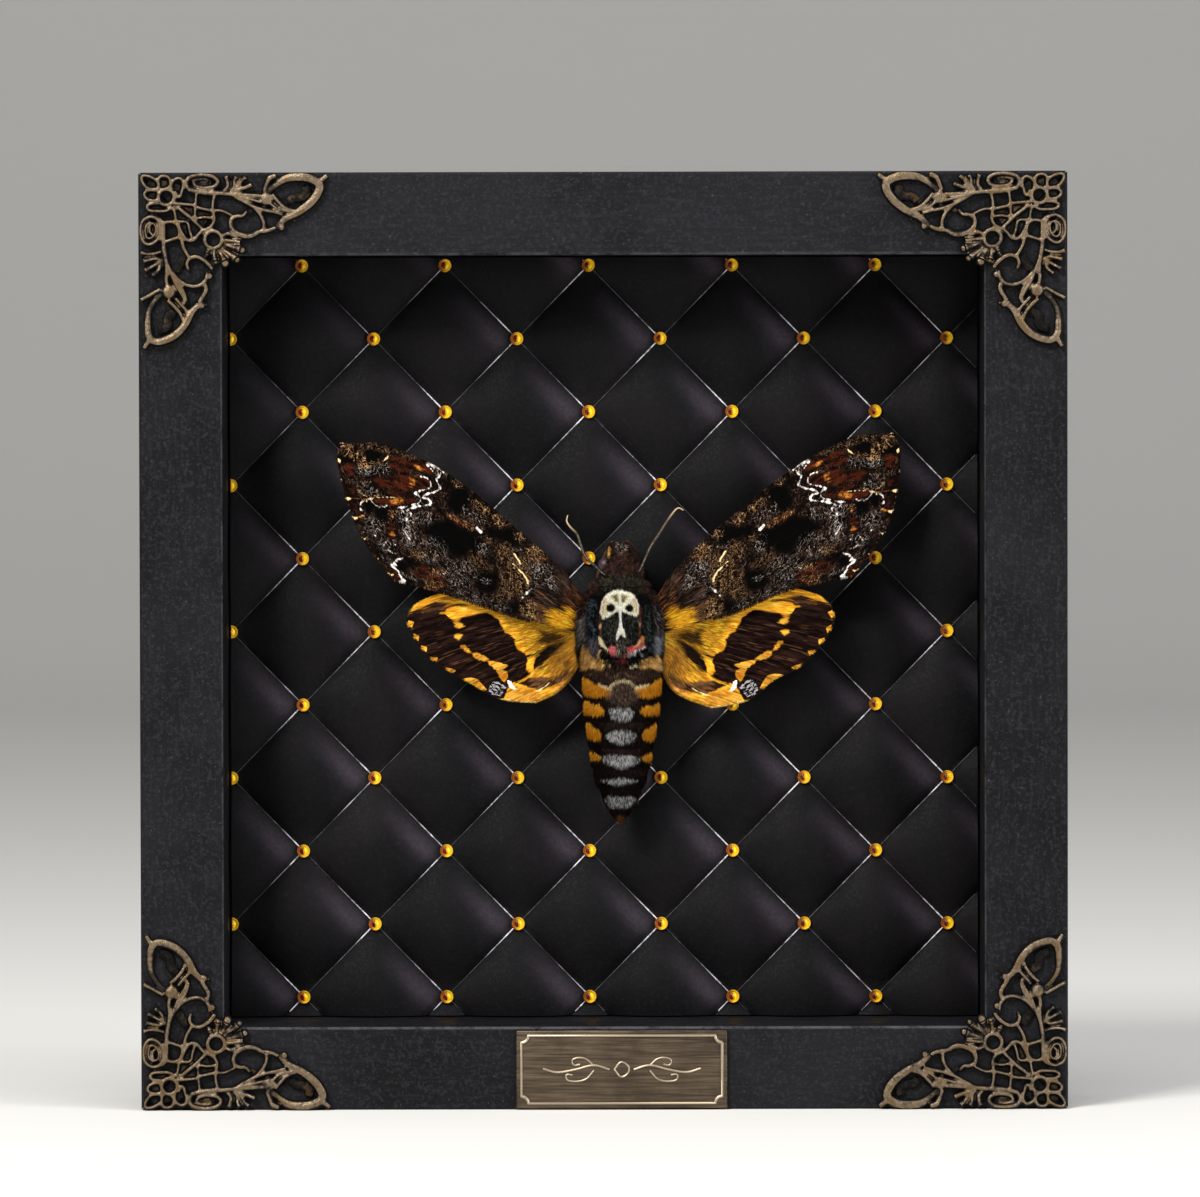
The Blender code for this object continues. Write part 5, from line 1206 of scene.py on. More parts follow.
def hind_marks(u, v):
    """The hindwing's marks: dark, brown, white and speckled, then orange, cream, veins and spots."""
    c = Chart(*left_wing_place(False, u, v))
    spots = strongest(
        c.patch([(-36.7, -0.2), (-35.6, 0.2), (-34.3, -0.2), (-33.9, -1.1), (-34.8, -1.7), (-36.1, -1.3)],
            0.7) * 0.72,
        c.patch([(-36.3, -3), (-35.4, -2.6), (-34.1, -3), (-34.1, -3.9), (-35, -4.6), (-36.1, -3.9)],
            0.7) * 0.76,
        c.patch([(-34.8, -5.2), (-33.7, -5.2), (-32.6, -6.1), (-32.6, -7), (-33.7, -6.7), (-34.8, -5.9)],
            0.5) * 0.9,
        c.patch([(-32.2, -7.2), (-31.1, -7), (-29.6, -7.6), (-28.7, -8.3), (-29.6, -8.7), (-31.3, -8.3)],
            0.5) * 0.95,
        c.patch([(-28.7, -8.9), (-27.6, -8.7), (-25.6, -9.3), (-24.3, -9.8), (-25, -10.4), (-26.1, -11.1),
            (-27.4, -10.4), (-28.5, -9.6)], 0.4),
        c.patch([(-26.9, -11.1), (-25.4, -10.7), (-24.4, -11.1), (-24.4, -12.2), (-25.2, -13.3),
            (-26.1, -12.4)], 0.35),
        *[c.patch(corner, 0.16) for corner in (
            [(-46.1, 0.1), (-44.8, -0.3), (-45.2, -1.7), (-46.1, -0.7)],
            [(-44.9, -2.8), (-43.6, -3.3), (-43.8, -4.6), (-44.8, -3.7)],
            [(-43.6, -5.4), (-42, -5.7), (-41.9, -6.5), (-42.7, -7.2)],
            [(-41.4, -7.8), (-39.6, -8), (-40, -8.8), (-40.7, -9.7)],
            [(-38.2, -10.1), (-36.5, -10.4), (-35.7, -10.8), (-36.5, -11.7), (-37.6, -11.3)],
            [(-34.1, -12.6), (-32.2, -12.4), (-30.9, -12.8), (-30, -13.9), (-28.9, -15.1), (-30.4, -15.2),
                (-32.2, -14.1)],
        )],
        c.patch([(-24.3, -15.2), (-22.6, -14.8), (-20.6, -14.6), (-18.9, -15.2), (-16.3, -16.1),
            (-13.9, -15.2), (-11.7, -12.6), (-10.4, -13.9), (-13.9, -18.2), (-21.7, -18.7), (-25.2, -17.2)],
            0.4),
    )
    upper = c.patch([(-37.8, 1.7), (-37.2, 2.6), (-35.6, 3.1), (-32.6, 3.3), (-29.3, 2.8), (-26.1, 1.7),
        (-22.8, 0.4), (-25.6, 0), (-27.8, 1.6), (-29.3, 2), (-31.5, 1.5), (-34.3, 0.9), (-35.6, 0.2),
        (-36.9, 0.6)], 0.4)
    shade = c.patch([(-46.9, 1.7), (-45, 2.4), (-43.5, 3.3), (-40.2, 4.1), (-36.9, 4), (-33.7, 3.8),
        (-30.4, 3), (-33, 3), (-35.9, 3), (-37.4, 2.4), (-37.8, 1.6), (-42.4, 1.5), (-45.2, 1.3)], 0.5)
    beyond = c.patch([(-46.9, 1.7), (-41.7, 1.9), (-37.8, 1.5), (-36.9, 0.4), (-35.6, 0), (-34.1, 0.7),
        (-31.5, 1.3), (-29.1, 1.7), (-27.8, 1.3), (-26.3, 0.2), (-25.6, -1.3), (-24.8, -2.6), (-23.7, -3.3),
        (-22.6, -4.6), (-22.6, -5.7), (-21.5, -6.5), (-20.6, -7.2), (-20.2, -8.7), (-20.2, -10.2),
        (-19.6, -11.5), (-20.2, -12.6), (-21.7, -13.3), (-23.2, -13.7), (-24.3, -14.8), (-24.8, -17.2),
        (-30.4, -17.2), (-39.1, -11.3), (-45.2, -5.4), (-47.8, -0.4)], 0.7)
    basal = c.patch([(-18.2, -2), (-17.4, -1.5), (-15.7, -2), (-14.8, -2.4), (-13.9, -2.2), (-12.6, -2.6),
        (-11.3, -3), (-10.4, -3.5), (-11.9, -4.3), (-14.1, -4.8), (-15.7, -5), (-17.4, -5.4), (-18, -4.6),
        (-17.4, -3.7), (-16.9, -2.8)], 0.5)
    tear = c.patch([(-18.9, -9.6), (-18.2, -7.8), (-17.2, -6.5), (-15.7, -5.4), (-13.9, -4.8), (-11.9, -4.1),
        (-10.4, -3.5), (-11.7, -5), (-13, -6.3), (-14.6, -7.6), (-16.3, -8.9), (-17.8, -10.2),
        (-18.7, -10.7)], 0.4)
    dark = strongest(beyond * (1 - spots) * (1 - upper), basal * 0.95, tear * 1.1, shade * 0.55,
        c.line([(-22.8, -8.7), (-20.9, -8), (-18.9, -7.4), (-17.4, -6.5)], 0.35, 0.3) * 0.9)
    brown = strongest(
        c.patch([(-24.1, -10.4), (-22.8, -9.6), (-21.5, -9.1), (-20.4, -10.2), (-19.8, -11.7),
            (-21.3, -13.3), (-22.6, -13.9), (-23.7, -13.3), (-24.3, -11.9)], 0.5) * 0.9,
        shade * 0.8,
        c.patch([(-22.4, -13.7), (-20, -12.4), (-17.4, -12.4), (-14.1, -12.2), (-12.4, -11.1), (-11.1, -9.6),
            (-10, -10.9), (-12.2, -13), (-14.8, -14.6), (-17.4, -15.2), (-20, -14.8)], 0.6) * 0.95,
        c.line([(-13.9, -7.6), (-12.4, -6.1), (-11.1, -4.6)], 0.7, 0.4) * 0.55,
        c.line([(-15.2, -10.4), (-13, -8.7), (-11.3, -7)], 0.7, 0.4) * 0.5,
        c.line([(-17.2, -10.4), (-15.2, -9.1), (-13.5, -7.6)], 0.5, 0.3) * 0.6,
        c.line([(-11.7, -6.5), (-10.9, -8.7), (-11.3, -10.9)], 1.2, 0.6) * 0.6,
        c.line([(-13, -1.1), (-10.4, -2.6), (-9.1, -4.3)], 1.0, 0.5) * 0.5,
    ) * (1 - spots * 0.8)
    white = strongest(
        c.patch([(-24.7, -12.8), (-23.7, -13.2), (-23.1, -14.1), (-22.4, -14.8), (-23.2, -15.3),
            (-24.1, -14.6)], 0.25),
        c.line([(-18.5, -15.7), (-17.4, -14.8), (-16.1, -13.9)], 0.4, 0.3) * 0.55,
    )
    speck = c.patch([(-27.8, -12.8), (-26.1, -13.3), (-25, -14.1), (-24.6, -15.7), (-26.1, -16.7),
        (-28.2, -16.3), (-29.1, -15.2), (-28.5, -14.1)], 0.4) * 0.62
    orange = np.clip((c.spots[:, 0] + 15.5) / 2.5, 0, 1) * np.clip((-3.5 - c.spots[:, 1]) / 3, 0, 1)
    cream = strongest(
        c.line([(-25.4, -17.2), (-21.7, -17.7), (-18.5, -17.8), (-15.2, -16.9), (-13, -15.4),
            (-11.7, -13.5)], 0.5, 0.3) * 0.8,
        upper * 0.28,
        c.line([(-18.2, -15.7), (-16.7, -14.6), (-15, -13.3)], 1.0, 0.6) * 0.5,
    )
    veins = strongest(*[np.exp(-(((v - at) * HIND_CHART[1] / 0.28) ** 2)) for at in HIND_VEINS])
    return [dark, brown, white, speck], [orange, cream, veins, spots]


def body_colour(x, z, h, loose=0.0):
    """The body's colours, hair and skin alike, in its own flat millimetres. loose scatters them by tuft."""
    seed = 3
    x, z = x + 0.1 * cloud(x, z, 0.7, seed), z + 0.12 * cloud(x, z, 0.5, seed + 1)
    c = Chart(x, z)
    grain = np.clip(0.5 + 0.6 * cloud(x, z, 0.36, seed + 2) + loose, 0, 1)
    mottle = np.clip(0.5 + 0.7 * cloud(x, z, 1.2, seed + 3), 0, 1)
    specks = np.clip(grain * 2.6 - 1.5, 0, 1)
    colour = np.tile(np.array(paint("120b08")[:3]), (len(x), 1))
    colour = lay(colour, mottle * 0.8, "2c1a14")
    colour = lay(colour, specks * 0.5, "5b4236")

    # Shoulders, the lobes at the sides and the velvet arch round the skull mark.
    collar = c.patch([(-4.3, 5.7), (-4.3, 8.7), (-2.4, 10.7), (3, 10.7), (5, 8.7), (4.6, 5.7)], 0.8)
    colour = lay(colour, collar * 0.9, "181913")
    colour = lay(colour, collar * specks * 0.75, "595441")
    lobes = strongest(
        c.patch([(-6.5, 2), (-8, 1.5), (-9.6, 0), (-10.4, -3), (-10, -5), (-8.5, -6.1), (-7, -5),
            (-6.5, -1.7)], 0.4),
        c.patch([(7, 3.5), (8.9, 3), (10, -1.1), (10, -5.4), (8.7, -7.4), (6.7, -7), (6.5, -3.3), (7, 0.4)],
            0.5),
    )
    colour = lay(colour, lobes * 0.85, "1b1414")
    colour = lay(colour, lobes * specks * 0.75, "77706e")
    colour = lay(colour, c.line([(-8, 0.4), (-8.5, -2.6), (-8.7, -4.3)], 1.2, 0.7) * mottle * 0.6, "857d78")
    colour = lay(colour, c.patch([(6.1, -4.1), (7.6, -3), (9.3, -3.9), (9.3, -6.1), (7.8, -7), (6.1, -6.1)],
        0.5) * (0.25 + 0.75 * grain), "7e8188")
    arch = c.line([(-5.9, -6.2), (-6, -2), (-5.9, 2.4), (-5, 5.4), (-3, 7.2), (0, 7.9), (3, 7.2), (5, 5.4),
        (6, 2.4), (6.1, -2), (6.1, -6)], 2.6, 0.4)
    colour = lay(colour, arch * np.clip((7.4 - z) / 2, 0.4, 0.94), "060708")
    colour = lay(colour, c.line([(-6.1, -6.6), (-6.1, 3.5)], 1.9, 0.5) * specks * 0.8, "53646f")
    colour = lay(colour, c.line([(6.1, 2.5), (6.1, -6.2)], 1.7, 0.5) * specks * 0.8, "48564f")
    colour = lay(colour, c.patch([(-6.7, -4.3), (-4.8, -4.1), (-4.3, -6.5), (-5.4, -7.6), (-7, -7)],
        0.4) * (0.2 + 0.7 * grain), "6a5f66")

    # Dark speckled panels below the skull mark, with their pale, pink and silver edges.
    panel = c.patch([(-4.3, 3), (-4.5, -1.1), (-4.1, -3.7), (-3, -5.7), (-0.9, -7), (1.3, -7), (3.3, -5.9),
        (4.6, -3.7), (4.8, -1.1), (4.3, 3)], 0.25)
    colour = lay(colour, panel, "10110f")
    colour = lay(colour, panel * specks * 0.7, "55564c")
    column = c.patch([(-0.7, -3.7), (1.1, -3.7), (1.5, -7.8), (-1.1, -7.8)], 0.3)
    colour = lay(colour, column * 0.9, "2a231e")
    colour = lay(colour, column * specks * 0.9, "93887a")
    hollow = strongest(
        c.patch([(-4.6, -5.9), (-3.3, -5.7), (-2.6, -7), (-0.9, -7.4), (0.4, -8.3), (0.4, -9.8),
            (-2.2, -9.6), (-3.9, -8.5)], 0.3),
        c.patch([(0.4, -9.6), (0.9, -7.8), (3, -7.4), (5.7, -5.9), (7, -7.2), (6.1, -8.5), (3.9, -9.3),
            (2.2, -10)], 0.3),
    )
    colour = lay(colour, hollow, "040303")
    colour = lay(colour, hollow * specks * 0.35, "4b403b")
    colour = lay(colour, c.line([(-4.3, 2.2), (-4.4, -0.4), (-4.2, -3.7)], 0.3, 0.2) * 0.6, "7d4a33")
    colour = lay(colour, c.line([(4.3, 2.2), (4.5, -0.9), (4.1, -3)], 0.3, 0.2) * 0.6, "7d4a33")
    colour = lay(colour, c.patch([(-4.7, -3.4), (-4, -3.7), (-3.5, -5), (-2.5, -6.2), (-2.8, -6.5),
        (-3.9, -5.5), (-4.6, -5)], 0.15), "f4dfb6")
    colour = lay(colour, c.spot(-4.28081, -1.0865, 0.24, 0.5, 0.12), "eaba8c")
    colour = lay(colour, c.spot(4.346, -0.76055, 0.2, 0.5, 0.12), "b98058")
    colour = lay(colour, c.patch([(4.6, -3.1), (5.4, -3.5), (5.1, -4.6), (4.1, -5.4), (3, -6.2), (2.9, -5.7),
        (3.9, -4.7)], 0.15), "c07c48")
    colour = lay(colour, c.line([(4.5, -4.3), (3.1, -5.9)], 0.3, 0.15) * 0.8, "f0cfa0")
    colour = lay(colour, c.patch([(-2.6, -5.9), (-1.7, -5.3), (-0.9, -5.8), (-0.9, -7), (-1.9, -7.3),
        (-2.6, -6.7)], 0.2), "d0686c")
    colour = lay(colour, c.patch([(1.5, -5.7), (2.4, -5.4), (3.9, -5.3), (5.4, -4.8), (5.2, -5.5),
        (3.5, -6.5), (2, -7), (1.5, -6.5)], 0.2) * (0.55 + 0.45 * grain), "cf5a57")
    colour = lay(colour, c.line([(1.6, -7.3), (2.8, -7), (4.1, -6.4), (5.4, -5.5)], 0.3,
        0.14) * (0.4 + 0.6 * grain), "e8e6e4")
    colour = lay(colour, c.spot(4.67195, -7.3882, 0.28, 0.4, 0.15) * 0.8, "9a9ea4")
    colour = lay(colour, c.patch([(0.3, -7.6), (1.1, -7.3), (1.5, -8.3), (1.7, -9.1), (-0.7, -9.1),
        (-0.2, -8.5)], 0.25) * 0.8, "8e3430")

    # Tan tufts and thin pale edges where thorax and abdomen meet.
    tufts = strongest(
        c.patch([(-8, -5.4), (-7.2, -5.7), (-6.5, -7.2), (-5, -8.5), (-3.5, -9.6), (-3.5, -10.4),
            (-8.5, -10.4), (-8.7, -7.6)], 0.3),
        c.patch([(7.6, -7.6), (8.3, -7), (8.9, -8.7), (8.9, -10.4), (4.3, -10.2), (5, -8.9), (6.5, -8.3)],
            0.3),
    )
    colour = lay(colour, tufts * (0.45 + 0.55 * grain), "d09a50")
    colour = lay(colour, tufts * mottle * specks * 0.8, "f3dca0")
    colour = lay(colour, c.line([(-4.5, -6.5), (-4.7, -7.6), (-4.1, -8.6), (-3.3, -9.2), (-2.2, -9.7)], 0.34,
        0.16) * 0.85, "cfa968")
    colour = lay(colour, c.line([(2.2, -10), (3.5, -9.6)], 0.3, 0.16), "efe0b4")
    colour = lay(colour, c.line([(4.3, -9.2), (5.4, -8.7), (6.5, -7.9)], 0.34, 0.2) * 0.7, "b98c56")

    # The skull mark.
    crown = c.patch(SKULL_CROWN, 0.14)
    nose = c.patch(SKULL_NOSE, 0.12)
    colour = lay(colour, crown, "d9d0a6")
    bones = strongest(c.line(SKULL_RIM, 0.62, 0.2), c.line(SKULL_CROSS, 0.72, 0.2),
        c.line(SKULL_OTHER_CROSS, 0.72, 0.2), c.line([(0.1, 7), (0.1, 0.8)], 0.5, 0.2))
    colour = lay(colour, crown * (1 - specks * 0.5) * bones, "fffbe6")
    colour = lay(colour, strongest(
        c.patch([(-1.85, 5.54), (-0.48, 5.87), (-0.3, 4.13), (-0.87, 4.24)], 0.2),
        c.patch([(0.3, 5.78), (1.63, 5.43), (0.87, 4.17), (0.35, 4.13)], 0.2),
    ) * 0.85, "585743")
    colour = lay(colour, c.line([(-3.04, 4.78), (-3.78, 3.48), (-3.74, 1.74)], 0.5, 0.2) * 0.7, "c08a72")
    colour = lay(colour, c.line([(3.04, 4.78), (3.65, 3.48), (3.61, 1.96)], 0.5, 0.2) * 0.7, "c08a72")
    colour = lay(colour, nose, "fffbe6")
    sockets = strongest(c.spot(-1.98, 2.9, 0.98, 0.92, 0.16), c.spot(2.05, 2.8, 0.92, 0.88, 0.16))
    colour = lay(colour, sockets, "030303")

    # Head and palps.
    ahead = np.clip((z - 9.4) / 0.8, 0, 1)
    colour = lay(colour, ahead * 0.9, "140b08")
    colour = lay(colour, ahead * mottle * 0.7, "35201a")
    colour = lay(colour, ahead * specks * 0.5, "5c4238")
    colour = lay(colour, c.line([(-2.3, 15.7), (-2.45, 13.8)], 0.55, 0.2), "e0b064")
    brow = strongest(c.spot(0.0, 15.8, 0.8, 1.2, 0.5), c.spot(1.3, 15.7, 0.5, 0.6, 0.3))
    colour = lay(colour, brow * specks, "a09688")
    colour = lay(colour, c.line([(-10.9, 1.3), (-9.3, 2.4)], 0.4, 0.15) * (z < 9), "d8ccb8")

    # The abdomen's bands, their upper edges toothed.
    rear = np.clip((-10.4 - z) / 0.3, 0, 1)
    teeth = np.abs(np.sin(x * 4.6 + 1.3 * cloud(x, z, 1.0, seed + 5)))
    toothed = Chart(x, z + 0.35 * teeth)
    colour = lay(colour, rear, "090504")
    colour = lay(colour, rear * mottle * 0.5, "1d110c")
    colour = lay(colour, rear * specks * 0.3, "3a2a22")
    for outline, text, strength in (
            ([(-8.7, -10.4), (-4.3, -10.2), (0.4, -10.4), (5.4, -10.2), (9.1, -10.4), (8.7, -12.2),
                (5.4, -13.5), (3, -13.9), (0.4, -12.6), (-2.2, -13.7), (-4.8, -13.3), (-7.8, -11.9)],
                "4a372c", 0.8),
            ([(-3.9, -22.2), (-1.7, -21.9), (0.4, -22.4), (3, -21.9), (5, -22.2), (4.6, -23.7), (2.6, -23.2),
                (0.4, -23.5), (-2.2, -23.2), (-3.5, -23.9)], "3a2a23", 0.7),
            ([(-3.9, -28), (-1.7, -27.6), (0.4, -27.8), (3, -27.6), (4.8, -28), (4.3, -29.3), (0.4, -28.9),
                (-3.5, -29.3)], "30211c", 0.7),
            ([(-3.7, -16.9), (-1.7, -17.6), (0.4, -18), (2.6, -17.6), (4.3, -16.9), (5.4, -17.4),
                (3.9, -18.9), (0.4, -18.7), (-2.8, -18.9), (-4.8, -17.6)], "2c1d17", 0.8),
            ([(-4.3, -32.8), (0.4, -32.4), (4.8, -32.8), (4.3, -33.7), (0.4, -33.5), (-3.9, -33.7)],
                "1c130e", 0.8)):
        colour = lay(colour, rear * c.patch(outline, 0.5) * (0.35 + 0.65 * grain) * strength, text)
    colour = lay(colour, strongest(
        c.line([(-3, -11.3), (-2, -12.2), (-0.7, -11.9), (0, -11.1)], 0.35, 0.2),
        c.line([(1.1, -11.1), (2, -11.9), (3.3, -12.2), (4.3, -11.3)], 0.35, 0.2),
    ) * grain * 0.8, "8a6a58")
    bands = strongest(*[toothed.patch(outline, 0.16) for outline in (
        [(-9.6, -12.2), (-7.6, -12.2), (-6.5, -12.8), (-5.7, -13.5), (-4.3, -13.7), (-3.3, -14.3),
            (-2, -14.6), (-1.5, -15.2), (-2.2, -15.9), (-3.5, -16.3), (-4.8, -16.5), (-6.5, -16.3),
            (-8.3, -15.7), (-9.6, -14.8)],
        [(10.4, -12.2), (8.7, -12.4), (7.6, -13), (6.5, -13.7), (5.4, -13.9), (4.3, -14.1), (3, -14.6),
            (2.8, -15.2), (3.9, -16.1), (5.4, -16.5), (7, -16.5), (8.3, -16.1), (10.4, -15.2)],
        [(-9.1, -17.2), (-7.4, -17.2), (-6.5, -17.8), (-5.7, -18.2), (-4.8, -18), (-3.9, -18.7),
            (-3.3, -19.3), (-3.7, -20.2), (-5, -20.4), (-6.5, -20.4), (-9.1, -20)],
        [(10.4, -17.2), (8.3, -17.8), (7.2, -18.5), (5.9, -18.2), (5, -18.7), (4.3, -19.3), (5, -20.2),
            (6.5, -20.4), (8, -20.4), (10.4, -19.8)],
        [(-8.7, -21.9), (-6.7, -22.2), (-6.1, -22.8), (-5.4, -23.2), (-4.6, -23.5), (-4.1, -24.3),
            (-4.3, -25.6), (-5.4, -25.9), (-6.7, -25.6), (-8.7, -24.8)],
        [(9.6, -21.9), (7.6, -22.2), (7, -22.8), (6.1, -23.2), (5.2, -23.7), (4.8, -24.6), (5.2, -25.6),
            (6.5, -26.1), (8, -25.6), (9.6, -24.8)],
        [(-8.3, -27.8), (-6.3, -28.5), (-5.4, -28.9), (-4.3, -29.3), (-4.6, -30.2), (-5.9, -30.2),
            (-8.3, -30)],
        [(8.9, -27.8), (6.7, -28.7), (5.7, -28.9), (4.8, -29.6), (5.4, -30.4), (6.5, -30.4), (8.9, -30)],
    )])
    colour = lay(colour, bands, "efa428")
    tops = (-12.4, -17.6, -22.4, -28.2)
    fall = np.clip(sum(np.clip((top - z) / 2.6, 0, 1) * (z <= top) * (z > top - 4.6) for top in tops), 0, 1)
    colour = lay(colour, bands * fall * 0.6, "a86408")
    colour = lay(colour, bands * (1 - grain) * 0.4, "a86010")
    colour = lay(colour, bands * specks * (1 - fall) * 0.5, "f6c050")
    pale = strongest(
        c.line([(-4.6, -13.7), (-3.5, -14.3), (-2, -14.6)], 0.4, 0.2),
        c.line([(6.1, -13.9), (4.6, -14.2), (3.3, -14.6)], 0.4, 0.2),
        c.line([(-2, -14.1), (-1.1, -13.4), (0, -13), (1.3, -12.9), (2.2, -13.3), (2.8, -13.9)], 0.5,
            0.25) * (0.4 + 0.6 * grain),
    )
    colour = lay(colour, pale, "f5dfb0")
    colour = lay(colour, c.patch([(-1.7, -14.3), (-0.7, -13.4), (0.4, -13.7), (2.2, -13.5), (3.3, -14.8),
        (4.6, -16.1), (3, -17.8), (0.4, -18.2), (-2, -17.8), (-3.5, -16.3)], 0.4) * (0.15 + 0.85 * grain),
        "665446")
    greys = strongest(
        c.patch([(-2.4, -19.3), (-1.3, -18.9), (0.4, -18.7), (2.2, -18.9), (3, -19.8), (2.6, -21.1),
            (1.7, -21.7), (-0.4, -21.7), (-2, -21.1)], 0.3),
        c.patch([(-3.3, -25), (-1.7, -24.1), (0, -23.7), (2.2, -23.9), (3.5, -24.8), (3, -25.9), (2, -26.5),
            (0, -26.9), (-1.7, -26.3), (-2.8, -25.6)], 0.3),
        c.patch([(-4.3, -29.8), (-2.6, -29.3), (0, -29.3), (2.6, -29.3), (4.6, -30), (3.9, -30.9),
            (2.2, -31.5), (0.2, -32.2), (-1.7, -31.5), (-3.5, -30.6)], 0.3),
        c.patch([(-4.3, -34.7), (-1.7, -34.5), (0, -34.1), (2, -34.5), (3.9, -34.8), (1.7, -35.4),
            (-0.2, -35.9), (-2.2, -35.4)], 0.2) * 0.9,
        c.patch([(-3.5, -39.1), (-2.6, -38.2), (-1.1, -38.2), (0.2, -38.5), (2.2, -38.2), (3.5, -38.9),
            (2.6, -40.2), (1.1, -40.9), (-1.7, -40.9), (-3, -40)], 0.3) * 0.75,
    )
    colour = lay(colour, greys * (0.08 + 1.05 * grain), "bcbcbc")
    colour = lay(colour, c.patch([(-0.9, -42.6), (0.9, -42.6), (1.3, -44.8), (-1.3, -44.8)], 0.4) * 0.85,
        "7a4a24")
    beside = np.abs(x) / half_width_at(z)
    colour = lay(colour, rear * np.clip((-36 - z) / 2, 0, 1) * np.clip((beside - 0.9) / 0.1, 0, 1) * 0.9,
        "b08c68")
    hem = rear * np.clip((z + 36) / 2, 0, 1) * np.clip((-29.5 - z) / 2, 0, 1)
    colour = lay(colour, hem * np.clip((beside - 0.95) / 0.05, 0, 1) * 0.8, "a07848")

    # The belly: dull yellow with dark bands, dark brown under the thorax.
    below = np.clip((12.2 - h) / 1.5, 0, 1)
    colour = lay(colour, below * (1 - rear), "3a2a1f")
    colour = lay(colour, below * rear, "94682c")
    for ring in ABDOMEN_RINGS[1:]:
        colour = lay(colour, below * rear * c.line([(-12, ring), (12, ring)], 1.6, 0.5), "2b1e15")
    return colour


def half_width_at(z):
    """Half the abdomen's width at each place along it."""
    table = np.array(ABDOMEN_HALF_WIDTHS)[::-1]
    return np.interp(z, table[:, 0], table[:, 1])


# The moth's wings

# Each wing's hinge on the body, its turn in degrees, and its front, outer and hind edges from the hinge.
FOREWINGS = {
    "left": {
        "hinge": (-8.7, 4.8),
        "set": 32.5,
        "costa": [(-3, 0), (1, 1.2), (7.3, 3.4), (18.3, 5.3), (30, 7), (40.3, 7.6), (49.4, 6.6), (56.1, 4.6),
            (61.8, 0.8)],
        "outer": [(61.8, 0.8), (60.4, -2.7), (57.2, -6), (52.6, -10.1), (48.9, -12.7), (44.8, -15),
            (36.2, -18)],
        "inner": [(-6, -5.5), (5.8, -9.5), (15.7, -12.2), (27.9, -15.3), (36.2, -18)],
    },
    "right": {
        "hinge": (8.7, 4.8),
        "set": 34.8,
        "costa": [(-3, 0), (1.1, 1.2), (6, 3.1), (14.6, 4.9), (25, 5.9), (35.5, 6.6), (45.4, 6.3),
            (55.2, 4.5), (61.9, 0.5)],
        "outer": [(61.9, 0.5), (61, -3.2), (58.6, -6.6), (55.6, -10), (50.7, -14.4), (45.5, -17.2),
            (37, -19.7)],
        "inner": [(-6, -5.5), (6.1, -9.8), (12.2, -11.8), (21.4, -13.6), (29.2, -16.3), (37, -19.7)],
    },
}
HINDWINGS = {
    "left": {
        "hinge": (-9.6, 0),
        "set": 0,
        "costa": [(-4, 3.2), (12, 7.6), (22, 7.8), (31, 5.4)],
        "outer": [(31, 5.4), (34.8, 3.4), (36.4, 0.3), (35.1, -3.2), (31.7, -7.8), (27.1, -11), (21.7, -14),
            (16.2, -16.9), (9, -17.7)],
        "inner": [(-4, -4), (-0.7, -8.8), (1.8, -12.8), (4.6, -15.5), (9, -17.7)],
    },
    "right": {
        "hinge": (9.3, 0),
        "set": 0,
        "costa": [(-4, 3.2), (12, 7.8), (22, 8), (30, 6.5)],
        "outer": [(30, 6.5), (34.2, 5), (37, 1.5), (36, -2.6), (33, -6.6), (29.5, -10.1), (23.7, -13),
            (18.4, -17.2), (10.8, -18.9)],
        "inner": [(-4, -4), (-0.3, -8), (0.5, -11.8), (3.2, -15.6), (10.8, -18.9)],
    },
}

# The veins' places across each wing, from its front edge (0) to its hind edge (1).
FORE_VEINS = (0.12, 0.24, 0.36, 0.49, 0.62, 0.75, 0.88)
HIND_VEINS = (0.13, 0.27, 0.40, 0.53, 0.66, 0.80, 0.91)


def wing_flat(plan, u, v):
    """The wing's outline blended across (u, v), in millimetres from its hinge."""
    def read(edge, share):
        spot = share * (len(edge) - 1)
        i = np.clip(spot.astype(int), 0, len(edge) - 2)
        return edge[i] + (edge[i + 1] - edge[i]) * (spot - i)[:, None]
    costa, outer, inner = (smooth_path(plan[key], 129) for key in ("costa", "outer", "inner"))
    u_share, v_share = u[:, None], v[:, None]
    across = read(costa, u) * (1 - v_share) + read(inner, u) * v_share
    along = (costa[0] + (inner[0] - costa[0]) * v_share) * (1 - u_share) + read(outer, v) * u_share
    corners = (costa[0] * (1 - v_share) + inner[0] * v_share) * (1 - u_share) \
        + (costa[-1] * (1 - v_share) + inner[-1] * v_share) * u_share
    return across + along - corners


